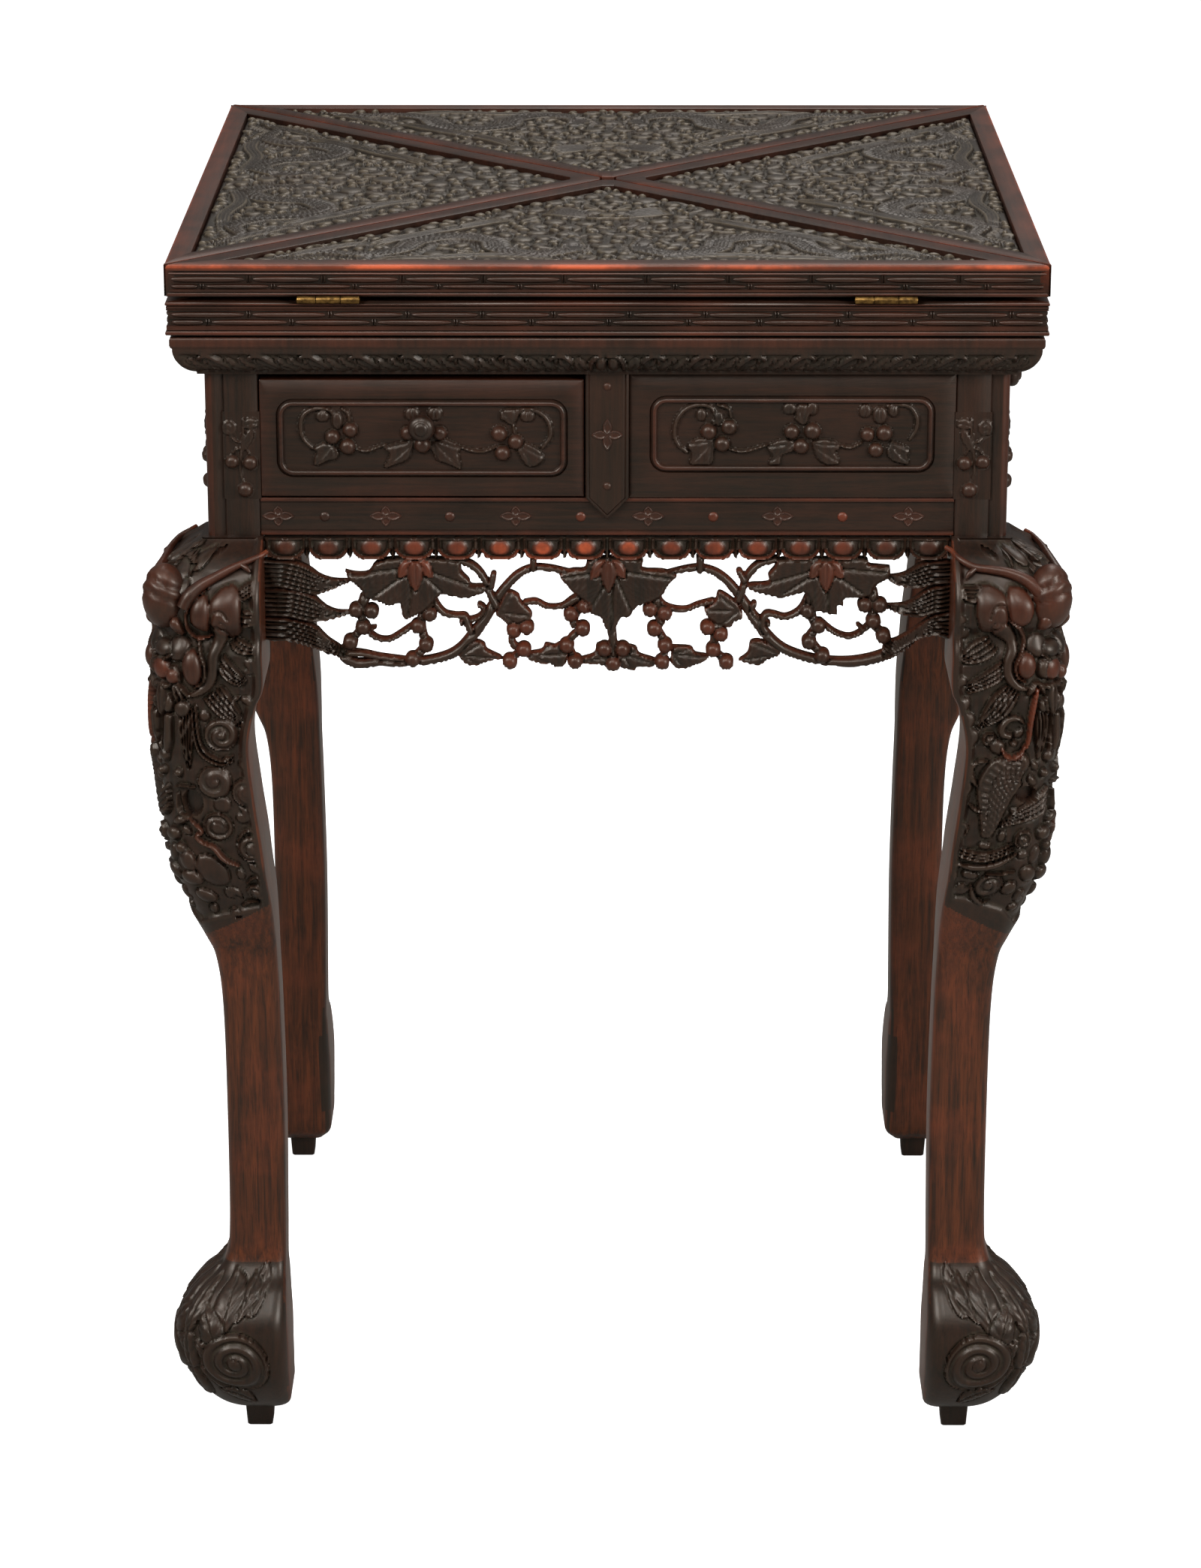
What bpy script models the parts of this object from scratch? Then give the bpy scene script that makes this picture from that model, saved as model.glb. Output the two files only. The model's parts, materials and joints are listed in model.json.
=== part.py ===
"""Handkerchief games table.

A square card table. Its top is a bed that swivels an eighth of a turn on a central bolt, under
four triangular leaves that hinge out from the bed's edges and then lie on the corners of the case.
The case holds a drawer on each side, set like the sails of a pinwheel, and stands on four carved
cabriole legs joined by pierced vine aprons.

Metres, +Z up. The origin is on the floor under the middle, and the front faces -Y.
"""

import math

import bmesh
import bpy
from mathutils import Matrix, Vector

# Whole table
TABLE_HEIGHT = 0.7930
TOP_SIDE = 0.5400
CLEARANCE = 0.0003
OVERRUN = 0.0100

# Leaves and bed
LEAF_THICK = 0.0204
LEAF_BORDER = 0.0140
LEAF_SPACING = 0.0018
LEAF_BLUNT = 0.0040
BED_THICK = 0.0210
BED_BORDER = 0.0260
LEAF_LIFT = 0.0032
BED_LIFT = 0.0014
PANEL_SINK = 0.0012
CARVED_SINK = 0.0033
RELIEF_SINK = 0.0010
REED_DEPTH = 0.0014

# Butt hinges, two to a leaf
HINGE_LENGTH = 0.0380
HINGE_PLACE = 0.1700
HINGE_OUTSET = 0.0006
HINGE_PLATE_WIDTH = 0.0105
HINGE_PLATE_THICK = 0.0009
KNUCKLE_RADIUS = 0.0024
KNUCKLE_BORE = 0.0015
PIN_RADIUS = 0.0011
KNUCKLE_SHARES = (-0.5, -0.2, 0.2, 0.5)
KNUCKLE_SIDES = 6

# Case
BOX_SETBACK = 0.0210
CASE_HEIGHT = 0.1040
CORNICE_HEIGHT = 0.0265
CORNICE_REACH = 0.0190
POST_SIDE = 0.0330
POST_BEAD = 0.0052
POST_QUIRK_SHARE = 1.25
BOTTOM_RAIL_HEIGHT = 0.0242
RAIL_BEAD = 0.0032
STILE_WIDTH = 0.0270
STILE_TIP_DROP = 0.0135
STILE_FACE = 0.0024
PIVOT_BOARD_THICK = 0.0180
BOTTOM_BOARD_THICK = 0.0090
PARTITION_THICK = 0.0100
JOINT_LAP = 0.0010

# Drawers and false fronts
DRAWER_TOP_GAP = 0.0045
DRAWER_GAP = 0.0009
FRONT_THICK = 0.0140
DRAWER_DEPTH = 0.2000
SIDE_THICK = 0.0080
SIDE_INSET = 0.0020
SIDE_DROP = 0.0030
DRAWER_BOTTOM_THICK = 0.0040
RUNNER_WIDTH = 0.0120
RUNNER_GUIDE_RISE = 0.0060
FRAME_INSET = 0.0110
FRAME_RISE = 0.0016
FRAME_BEAD = 0.0040
FRAME_CORNER = 0.0085
KNOB_RISE = 0.0095
KNOB_RADIUS = 0.0084
KNOB_LENGTH = 0.0185
KNOB_STEM = 0.0042

# Swivel
BOLT_RADIUS = 0.0050
BOLT_HEAD_RADIUS = 0.0125
BOLT_HEAD_THICK = 0.0025
BOLT_CLEARANCE = 0.0007
WASHER_RADIUS = 0.0130
WASHER_THICK = 0.0020
NUT_RADIUS = 0.0095
NUT_THICK = 0.0065
BOLT_TAIL = 0.0025
SWIVEL_WASHER_RADIUS = 0.0420
STOP_RADIUS = 0.1000
STOP_PIN_RADIUS = 0.0030
STOP_PIN_REACH = 0.0080
STOP_CLEARANCE = 0.0005
SWIVEL_ANGLE = math.radians(45)
NUT_WELL_WIDTH = 0.0360
NUT_WELL_SPARE = 0.0040

# Sides of round pieces
BOLT_SIDES = 16
PIN_SIDES = 12
KNOB_SIDES = 10
BOSS_SIDES = 8
BOSS_RINGS = 5

# Legs
LEG_BLOCK = 0.0345
KNEE_REACH = 0.0410
PEG_WIDTH = 0.0190
PEG_HEIGHT = 0.0150
PEG_TAPER = 0.0012
SCROLL_RADIUS = 0.0205
SCROLL_EYE = 0.0052
SCROLL_RIDGE = 0.0046
SCROLL_RISE = 0.0020
SCROLL_SUNK = 0.0040
SCROLL_HEIGHT_SHARE = 0.1040
SCROLL_INSET = 0.0138
SCROLL_TURNS_SHARE = 1.6
SCROLL_STEPS = 13

# Aprons
APRON_HEIGHT = 0.0850
APRON_DROP = 0.0015
APRON_SETBACK = 0.0030
APRON_THICK = 0.0110
APRON_STEP = 0.0007
EGG_COUNT = 16
EGG_BAND_SHARES = (0.93, 0.83)
EGG_SIDE_SHARE = 0.28
VINE_SHARE = 0.080
VINE_TAPER_SHARE = 0.35
BUNCH_SHARE = 0.1235
BUNCH_DIP_SHARE = 0.80

# Height share, outward share of the knee's reach past the case, inward share of the leg block, and
# the share of its width that the outer arris is rounded by
LEG_SHARES = (
    (1.000, 0.62, 1.00, 0.15),
    (0.978, 0.82, 1.00, 0.27),
    (0.947, 0.95, 1.00, 0.36),
    (0.920, 0.92, 1.00, 0.40),
    (0.909, 0.78, 1.00, 0.40),
    (0.889, 0.91, 1.00, 0.42),
    (0.854, 0.92, 1.00, 0.42),
    (0.834, 0.91, 0.86, 0.42),
    (0.792, 0.90, 0.72, 0.42),
    (0.732, 0.86, 0.81, 0.42),
    (0.680, 0.79, 0.92, 0.38),
    (0.648, 0.69, 0.97, 0.34),
    (0.609, 0.47, 1.04, 0.28),
    (0.570, 0.20, 1.07, 0.21),
    (0.542, 0.05, 1.08, 0.17),
    (0.484, -0.03, 1.11, 0.17),
    (0.364, -0.05, 1.14, 0.17),
    (0.243, -0.04, 1.12, 0.18),
    (0.206, 0.02, 1.11, 0.22),
    (0.188, 0.18, 1.11, 0.28),
    (0.175, 0.43, 1.13, 0.32),
    (0.149, 0.72, 1.15, 0.38),
    (0.122, 0.78, 1.17, 0.40),
    (0.089, 0.69, 1.17, 0.40),
    (0.062, 0.50, 1.17, 0.40),
    (0.040, 0.24, 1.15, 0.40),
    (0.0275, -0.08, 0.96, 0.40),
)
INNER_ROUND_SHARE = 0.17
BOSS_SINK_SHARE = 0.72
ARRIS_SINK_SHARE = 0.30

# Height share, place share from case face (0) to leg face (1), and radius share, of knee carving
KNEE_BOSS_SHARES = (
    (0.937, -0.22, 0.30),
    (0.940, 0.14, 0.22),
    (0.878, 0.34, 0.20),
)
ARRIS_BOSS_SHARES = (
    (0.955, 0.34),
    (0.872, 0.17),
    (0.683, 0.20),
)
# Face (0 front, 1 side), height share, place share and radius share of the knee's scrolls
KNEE_SCROLL_SHARES = (
    (0, 0.809, -0.04, 0.24),
    (0, 0.790, -0.58, 0.17),
    (0, 0.756, 0.09, 0.19),
    (0, 0.747, -0.49, 0.22),
    (0, 0.708, 0.10, 0.19),
    (0, 0.683, -0.57, 0.19),
    (0, 0.633, -0.69, 0.15),
    (1, 0.816, -0.35, 0.22),
    (1, 0.763, -0.60, 0.19),
    (1, 0.747, 0.03, 0.27),
    (1, 0.714, -0.60, 0.19),
    (1, 0.691, 0.04, 0.22),
    (1, 0.665, -0.57, 0.17),
    (1, 0.636, -0.42, 0.17),
)
# The branch over the knee's fruit: height share and place share, from the apron to the arris
BRANCH_SHARES = (
    (0.995, -1.27),
    (0.985, -0.71),
    (0.977, -0.27),
    (0.964, 0.22),
    (0.953, 0.40),
    (0.940, 0.52),
)
BRANCH_WIDTH_SHARE = 0.13
KNEE_FORM_SINK = 0.0060
KNEE_FORM_RISE = 0.0020

# Main forms of a leaf panel's carving, as shares of its half length and depth from the table's edge:
# a dragon's body from its neck to its tail, then bosses with a radius share of the half length
DRAGON_SHARES = ((0.094, 0.243), (0.102, 0.148), (0.188, 0.096), (0.282, 0.156), (0.307, 0.269),
                 (0.410, 0.321), (0.504, 0.261), (0.547, 0.148), (0.640, 0.087), (0.760, 0.113),
                 (0.871, 0.052))
DRAGON_WIDTH_SHARE = 0.062
DRAGON_TAPER_SHARE = 0.80
PANEL_BOSS_SHARES = (
    (0.100, 0.272, 0.042),
    (0.000, 0.130, 0.034),
    (0.000, 0.360, 0.034),
    (0.000, 0.625, 0.080),
    (0.000, 0.785, 0.034),
    (0.126, 0.045, 0.026),
    (0.196, 0.380, 0.034),
    (0.316, 0.470, 0.036),
    (0.120, 0.480, 0.030),
    (0.250, 0.570, 0.032),
    (0.386, 0.180, 0.030),
    (0.410, 0.060, 0.028),
    (0.480, 0.420, 0.032),
    (0.620, 0.240, 0.036),
    (0.770, 0.030, 0.022),
)
PANEL_BOSS_SIDES = 6

# Shares of the apron's half length and height; z is 0 at its lower edge and 1 at its upper edge
FLAME_SHARES = (
    ((-1.00, 0.84), (-0.90, 0.76), (-0.83, 0.72), (-0.765, 0.655), (-0.84, 0.64), (-1.00, 0.60)),
    ((-1.00, 0.62), (-0.92, 0.52), (-0.84, 0.47), (-0.760, 0.400), (-0.85, 0.38), (-1.00, 0.33)),
    ((-1.00, 0.36), (-0.93, 0.26), (-0.87, 0.21), (-0.790, 0.140), (-0.88, 0.11), (-1.00, 0.13)),
)
VINE_SHARES = (
    ((-0.90, 0.17), (-0.80, 0.08), (-0.62, 0.05), (-0.498, 0.09), (-0.417, 0.23), (-0.338, 0.48),
     (-0.241, 0.70), (-0.12, 0.75)),
    ((-0.43, 0.92), (-0.39, 0.74), (-0.338, 0.55), (-0.27, 0.32)),
    ((-0.20, 0.74), (-0.145, 0.62), (-0.105, 0.42)),
    ((-0.72, 0.68), (-0.70, 0.52), (-0.72, 0.40)),
)
LEAF_SHARES = (
    ((-0.66, 0.95), (-0.68, 0.82), (-0.77, 0.73), (-0.69, 0.66), (-0.66, 0.54), (-0.592, 0.36),
     (-0.53, 0.54), (-0.50, 0.66), (-0.43, 0.71), (-0.49, 0.82), (-0.50, 0.95)),
    ((-0.10, 0.95), (-0.11, 0.82), (-0.154, 0.70), (-0.08, 0.64), (-0.05, 0.50), (0.00, 0.24),
     (0.05, 0.50), (0.08, 0.64), (0.154, 0.70), (0.11, 0.82), (0.10, 0.95)),
)
BUNCH_SHARES = (
    (-0.725, 0.39, 1.00),
    (-0.750, 0.19, 0.90),
    (-0.552, 0.36, 0.95),
    (-0.560, 0.16, 0.95),
    (-0.268, 0.29, 1.00),
    (-0.280, 0.11, 0.95),
    (-0.100, 0.42, 1.00),
    (-0.112, 0.24, 0.90),
    (-0.118, 0.09, 0.85),
    (0.000, 0.15, 1.15),
)

# Cornice profile: share of its reach, share of its height, from the top down
CORNICE_SHARES = (
    (0.90, 1.00),
    (1.00, 0.93),
    (1.00, 0.76),
    (0.92, 0.70),
    (0.92, 0.62),
    (0.84, 0.45),
    (0.66, 0.26),
    (0.42, 0.12),
    (0.20, 0.06),
    (0.20, 0.00),
)

# Edge of bed and leaf, from the top down: height share and share of the reeds' depth
EDGE_SHARES = (
    (1.00, 0.50),
    (0.96, 0.00),
    (0.80, 0.00),
    (0.74, 1.00),
    (0.70, 0.35),
    (0.48, 0.35),
    (0.45, 1.00),
    (0.42, 0.35),
    (0.19, 0.35),
    (0.16, 1.00),
    (0.12, 0.00),
    (0.03, 0.00),
    (0.00, 0.40),
)

# Turned knob: share of its radius (0 is the stem) and share of its length, or of the front's
# thickness where it is negative
KNOB_SHARES = (
    (0.00, -0.90),
    (0.00, 0.06),
    (0.62, 0.10),
    (0.48, 0.26),
    (0.86, 0.44),
    (1.00, 0.64),
    (0.84, 0.84),
    (0.46, 0.93),
    (0.30, 1.00),
)

# Levels and half widths worked out from the sizes above
TOP_HALF = TOP_SIDE / 2
LEAF_TOP = TABLE_HEIGHT
LEAF_BOTTOM = LEAF_TOP - LEAF_THICK
BED_TOP = LEAF_BOTTOM - LEAF_LIFT
BED_BOTTOM = BED_TOP - BED_THICK
CORNICE_TOP = BED_BOTTOM - BED_LIFT
CORNICE_BOTTOM = CORNICE_TOP - CORNICE_HEIGHT
CASE_BOTTOM = CORNICE_BOTTOM - CASE_HEIGHT
BOX_HALF = TOP_HALF - BOX_SETBACK
POST_INNER = BOX_HALF - POST_SIDE
BOARD_HALF = POST_INNER - CLEARANCE
RAIL_TOP = CASE_BOTTOM + BOTTOM_RAIL_HEIGHT
PIVOT_BOARD_BOTTOM = CORNICE_TOP - PIVOT_BOARD_THICK
BOTTOM_BOARD_TOP = CASE_BOTTOM + CLEARANCE + BOTTOM_BOARD_THICK
STILE_HALF = STILE_WIDTH / 2
HINGE_AXIS_Y = -TOP_HALF - HINGE_OUTSET
HINGE_AXIS_Z = BED_TOP + LEAF_LIFT / 2
LEG_TOP = CASE_BOTTOM - CLEARANCE
LEG_INNER = BOX_HALF - LEG_BLOCK
APRON_TOP = CASE_BOTTOM - APRON_DROP
APRON_BOTTOM = APRON_TOP - APRON_HEIGHT
APRON_HALF = LEG_INNER - CLEARANCE
FRONT_FACE = BOX_HALF - CLEARANCE
FRONT_BACK = FRONT_FACE - FRONT_THICK
DRAWER_LEFT = -POST_INNER + DRAWER_GAP
DRAWER_RIGHT = -STILE_HALF - DRAWER_GAP
DRAWER_BOTTOM = RAIL_TOP + DRAWER_GAP
DRAWER_TOP = CORNICE_BOTTOM - DRAWER_TOP_GAP
DRAWER_MIDDLE = (DRAWER_LEFT + DRAWER_RIGHT) / 2
DRAWER_CENTRE_Z = (DRAWER_BOTTOM + DRAWER_TOP) / 2
SIDE_BOTTOM = DRAWER_BOTTOM + CLEARANCE
KNOB_PLACE = (DRAWER_MIDDLE, DRAWER_CENTRE_Z + KNOB_RISE)
BED_PANEL_HALF = TOP_HALF - BED_BORDER - CLEARANCE
BED_PANEL_TOP = BED_TOP - PANEL_SINK

SIDES = ("front", "right", "back", "left")
CORNERS = ("front_left", "front_right", "back_right", "back_left")
QUARTER = math.pi / 2


def clear_scene():
    """Remove whatever the scene holds."""
    for item in list(bpy.data.objects):
        bpy.data.objects.remove(item, do_unlink=True)


def linear(channel):
    """One sRGB channel, 0 to 255, as a linear value."""
    value = channel / 255
    return value / 12.92 if value <= 0.04045 else ((value + 0.055) / 1.055) ** 2.4


def finish(name, code, roughness, metallic=0.0):
    """A plain Principled finish of one hex colour."""
    made = bpy.data.materials.new(name)
    made.use_nodes = True
    shader = made.node_tree.nodes["Principled BSDF"]
    rgb = [linear(int(code[start:start + 2], 16)) for start in (0, 2, 4)]
    shader.inputs["Base Color"].default_value = (*rgb, 1.0)
    shader.inputs["Roughness"].default_value = roughness
    shader.inputs["Metallic"].default_value = metallic
    return made


def to_mesh(bm, name):
    """Close a bmesh into a mesh whose faces point outwards."""
    bmesh.ops.recalc_face_normals(bm, faces=bm.faces)
    mesh = bpy.data.meshes.new(name)
    bm.to_mesh(mesh)
    bm.free()
    return mesh


def add_object(name, mesh, material, turn=0, origin=(0, 0, 0)):
    """One named piece, modelled at the front and turned to its side, with its origin on its axis."""
    piece = bpy.data.objects.new(name, mesh)
    bpy.context.scene.collection.objects.link(piece)
    mesh.materials.append(material)
    mesh.transform(Matrix.Translation(-Vector(origin)))
    spin = Matrix.Rotation(turn * QUARTER, 4, "Z")
    piece.matrix_world = spin @ Matrix.Translation(origin)
    return piece


def prism(bm, outline, low, high, place):
    """Extrude a flat outline of pairs from low to high; place turns (a, b, depth) into a point."""
    base = [bm.verts.new(place(a, b, low)) for a, b in outline]
    face = bm.faces.new(base)
    made = bmesh.ops.extrude_face_region(bm, geom=[face])
    risen = [item for item in made["geom"] if isinstance(item, bmesh.types.BMVert)]
    step = Vector(place(0, 0, high)) - Vector(place(0, 0, low))
    bmesh.ops.translate(bm, verts=risen, vec=step)


def upright(a, b, depth):
    """Plan outline, extruded along Z."""
    return (a, b, depth)


def facing(a, b, depth):
    """Elevation outline seen from the front, extruded outwards along -Y."""
    return (a, -depth, b)


def endwise(a, b, depth):
    """Outline seen along X: a is y and b is z."""
    return (depth, a, b)


def box(bm, low, high):
    """A plain block between two corners."""
    outline = ((low[0], low[1]), (high[0], low[1]), (high[0], high[1]), (low[0], high[1]))
    prism(bm, outline, low[2], high[2], upright)


def square_ring(bm, profile):
    """Sweep a profile of (outward, z) round all four sides."""
    ring(bm, [[(-out, -out, z), (out, -out, z), (out, out, z), (-out, out, z)] for out, z in profile])


def four_turns(bm):
    """Repeat what a bmesh holds on all four sides."""
    base = list(bm.verts) + list(bm.edges) + list(bm.faces)
    for turn in range(1, 4):
        copied = bmesh.ops.duplicate(bm, geom=base)
        verts = [item for item in copied["geom"] if isinstance(item, bmesh.types.BMVert)]
        bmesh.ops.rotate(bm, verts=verts, matrix=Matrix.Rotation(turn * QUARTER, 3, "Z"))


def loft(bm, rings):
    """Skin closed rings of points and cap both ends."""
    made = [[bm.verts.new(point) for point in ring] for ring in rings]
    for lower, upper in zip(made, made[1:]):
        count = len(lower)
        for index in range(count):
            after = (index + 1) % count
            bm.faces.new((lower[index], lower[after], upper[after], upper[index]))
    bm.faces.new(made[0])
    bm.faces.new(made[-1])


def circle(radius, sides, centre=(0, 0), start=0.0):
    """Points of a regular polygon, as pairs."""
    step = 2 * math.pi / sides
    return [(centre[0] + radius * math.cos(start + step * index),
             centre[1] + radius * math.sin(start + step * index)) for index in range(sides)]


def turned(bm, profile, sides):
    """Turn a profile of (radius, z) about Z, each row a ring, with flat ends."""
    loft(bm, [[(x, y, z) for x, y in circle(radius, sides)] for radius, z in profile])


def ring(bm, rows):
    """Skin closed rows of points one after the other and back to the first, as a frame or a tube."""
    made = [[bm.verts.new(point) for point in row] for row in rows]
    for row, after in zip(made, made[1:] + made[:1]):
        count = len(row)
        for index in range(count):
            step = (index + 1) % count
            bm.faces.new((row[index], row[step], after[step], after[index]))


def tube(bm, outer, inner, sides, low, high, place):
    """A straight tube from low to high."""
    spots = ((outer, low), (outer, high), (inner, high), (inner, low))
    ring(bm, [[place(a, b, depth) for a, b in circle(radius, sides)] for radius, depth in spots])


def scratch(bm):
    """A temporary object for a Boolean, from a bmesh."""
    piece = bpy.data.objects.new("scratch", to_mesh(bm, "scratch"))
    bpy.context.scene.collection.objects.link(piece)
    return piece


def combine(base, tools, operation, name):
    """The mesh of base joined with, or cut by, every tool; all are bmeshes."""
    body = scratch(base)
    others = [scratch(tool) for tool in tools]
    for other in others:
        step = body.modifiers.new(operation.lower(), "BOOLEAN")
        step.operation = operation
        step.solver = "EXACT"
        step.object = other
    seen = body.evaluated_get(bpy.context.evaluated_depsgraph_get())
    mesh = bpy.data.meshes.new_from_object(seen)
    mesh.name = name
    for item in [body] + others:
        spare = item.data
        bpy.data.objects.remove(item, do_unlink=True)
        bpy.data.meshes.remove(spare)
    return mesh


def solid(maker, *values):
    """A bmesh that holds what one maker adds to it."""
    bm = bmesh.new()
    maker(bm, *values)
    return bm


def leg_reach(share):
    """The leg's outer and inner faces, as distances from the middle, and its outer arris's rounding."""
    rows = LEG_SHARES
    for upper, lower in zip(rows, rows[1:]):
        if share >= lower[0]:
            blend = (share - lower[0]) / (upper[0] - lower[0])
            out, back, soft = (low + (high - low) * blend for low, high in zip(lower[1:], upper[1:]))
            break
    else:
        out, back, soft = rows[-1][1:]
    outer, inner = BOX_HALF + KNEE_REACH * out, BOX_HALF - LEG_BLOCK * back
    return outer, inner, (outer - inner) * soft


def leg_ring(share):
    """A square section with rounded arrises, four points to the outer one and three to the others."""
    outer, inner, rounding = leg_reach(share)
    z = LEG_TOP * share
    ring = []
    spots = ((outer, outer, 0), (inner, outer, 1), (inner, inner, 2), (outer, inner, 3))
    for x, y, quarter in spots:
        radius = (outer - inner) * INNER_ROUND_SHARE if quarter else rounding
        middle_x = x + (radius if x == inner else -radius)
        middle_y = y + (radius if y == inner else -radius)
        for part in (0, 0.5, 1) if quarter else (0, 1 / 3, 2 / 3, 1):
            angle = (quarter + part) * QUARTER
            ring.append((-middle_x - radius * math.cos(angle), -middle_y - radius * math.sin(angle), z))
    return ring


def ball(bm, centre, radius):
    """A small carved boss."""
    bmesh.ops.create_uvsphere(bm, u_segments=BOSS_SIDES, v_segments=BOSS_RINGS, radius=radius,
                              matrix=Matrix.Translation(centre))


def scroll(bm, side):
    """The spiral on an outer face of the foot; side 0 is the front face and 1 the side face."""
    share = SCROLL_HEIGHT_SHARE
    face = leg_reach(share)[0]
    rings = []
    for index in range(SCROLL_STEPS + 1):
        part = index / SCROLL_STEPS
        reach = SCROLL_RADIUS + (SCROLL_EYE - SCROLL_RADIUS) * part
        angle = QUARTER + part * SCROLL_TURNS_SHARE * 2 * math.pi
        wide = SCROLL_RIDGE * (1 - part / 2) / 2
        ring = []
        for radius, depth in ((reach + wide, face - SCROLL_SUNK), (reach + wide / 2, face + SCROLL_RISE),
                              (reach - wide / 2, face + SCROLL_RISE), (reach - wide, face - SCROLL_SUNK)):
            across = BOX_HALF - SCROLL_INSET - radius * math.cos(angle)
            z = LEG_TOP * share + radius * math.sin(angle)
            ring.append((-across, -depth, z) if side == 0 else (-depth, -across, z))
        rings.append(ring)
    loft(bm, rings)


def knee_scroll(bm, side, share, place, size):
    """A low boss where a scroll of the carving stands, on the front face, 0, or the side face, 1."""
    outer = leg_reach(share)[0]
    across = -(BOX_HALF + (outer - BOX_HALF) * place)
    outline = circle(KNEE_REACH * size, BOSS_SIDES, (across, LEG_TOP * share))
    low, high = outer - KNEE_FORM_SINK, outer + KNEE_FORM_RISE
    if side == 0:
        prism(bm, outline, low, high, facing)
    else:
        prism(bm, outline, -high, -low, endwise)


def branch(bm, side):
    """The branch that runs over a knee's face; side 0 is the front face and 1 the side face."""
    half = KNEE_REACH * BRANCH_WIDTH_SHARE / 2
    rings = []
    for share, place in BRANCH_SHARES:
        outer = leg_reach(share)[0]
        across, z = BOX_HALF + (outer - BOX_HALF) * place, LEG_TOP * share
        ring = []
        for depth, up in ((outer - KNEE_FORM_SINK, half), (outer + KNEE_FORM_RISE, half / 2),
                          (outer + KNEE_FORM_RISE, -half / 2), (outer - KNEE_FORM_SINK, -half)):
            ring.append((-across, -depth, z + up) if side == 0 else (-depth, -across, z + up))
        rings.append(ring)
    loft(bm, rings)


def peg(bm):
    """The short block under the foot, tapered to the floor."""
    outer, inner = leg_reach(LEG_SHARES[-1][0])[:2]
    middle = -(outer + inner) / 2
    rings = []
    for half, z in ((PEG_WIDTH / 2 - PEG_TAPER, 0.0), (PEG_WIDTH / 2, PEG_HEIGHT * 2)):
        rings.append([(middle + a * half, middle + b * half, z)
                      for a, b in ((-1, -1), (1, -1), (1, 1), (-1, 1))])
    loft(bm, rings)


def leg_mesh():
    """The front left cabriole leg: knee with its fruit and mask bosses, stem, scroll foot and peg."""
    body = bmesh.new()
    loft(body, [leg_ring(row[0]) for row in LEG_SHARES])
    post = bmesh.new()
    prism(post, post_outline(), LEG_TOP - JOINT_LAP, CORNICE_BOTTOM - CLEARANCE, upright)
    extras = [post, solid(peg)]
    extras += [solid(form, side) for form in (scroll, branch) for side in (0, 1)]
    extras += [solid(knee_scroll, *row) for row in KNEE_SCROLL_SHARES]
    for share, place, size in KNEE_BOSS_SHARES:
        outer = leg_reach(share)[0]
        radius = KNEE_REACH * size
        across = BOX_HALF + (outer - BOX_HALF) * place
        depth = outer - radius * BOSS_SINK_SHARE
        for point in ((-across, -depth), (-depth, -across)):
            extras.append(solid(ball, (*point, LEG_TOP * share), radius))
    for share, size in ARRIS_BOSS_SHARES:
        outer, _, rounding = leg_reach(share)
        radius = KNEE_REACH * size
        place = -(outer - rounding * (1 - math.sqrt(0.5)) - radius * ARRIS_SINK_SHARE)
        extras.append(solid(ball, (place, place, LEG_TOP * share), radius))
    return combine(body, extras, "UNION", "leg")


def apron_point(pair):
    """A pair of shares as a place on the apron's face."""
    return (pair[0] * APRON_HALF, APRON_BOTTOM + pair[1] * APRON_HEIGHT)


def ribbon(points, width, taper):
    """The outline of a stem that follows a line of points and narrows to its far end."""
    line = [Vector(point) for point in points]
    left, right = [], []
    for index, point in enumerate(line):
        ahead = line[min(index + 1, len(line) - 1)]
        behind = line[max(index - 1, 0)]
        along = (ahead - behind).normalized()
        across = Vector((-along.y, along.x)) * width * (1 - taper * index / len(line)) / 2
        left.append(tuple(point + across))
        right.append(tuple(point - across))
    return left + right[::-1]


def bunch(centre, radius):
    """A bunch of berries as one lobed outline."""
    points = []
    for index in range(8):
        angle = index * math.pi / 4
        reach = radius * (BUNCH_DIP_SHARE if index % 2 else 1)
        points.append((centre[0] + reach * math.cos(angle), centre[1] + reach * math.sin(angle)))
    return points


def mirrored(outline):
    """The same outline on the other half."""
    return [(-a, b) for a, b in outline[::-1]]


def egg_band():
    """The straight top edge of the apron over a row of hanging lobes."""
    lobe = 2 * APRON_HALF / EGG_COUNT
    high = APRON_BOTTOM + EGG_BAND_SHARES[0] * APRON_HEIGHT
    low = APRON_BOTTOM + EGG_BAND_SHARES[1] * APRON_HEIGHT
    outline = [(-APRON_HALF, APRON_TOP), (-APRON_HALF, high)]
    for index in range(EGG_COUNT):
        left = -APRON_HALF + index * lobe
        outline += [(left + lobe * EGG_SIDE_SHARE, low), (left + lobe * (1 - EGG_SIDE_SHARE), low)]
        outline.append((left + lobe, high))
    outline.append((APRON_HALF, APRON_TOP))
    return outline


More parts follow.
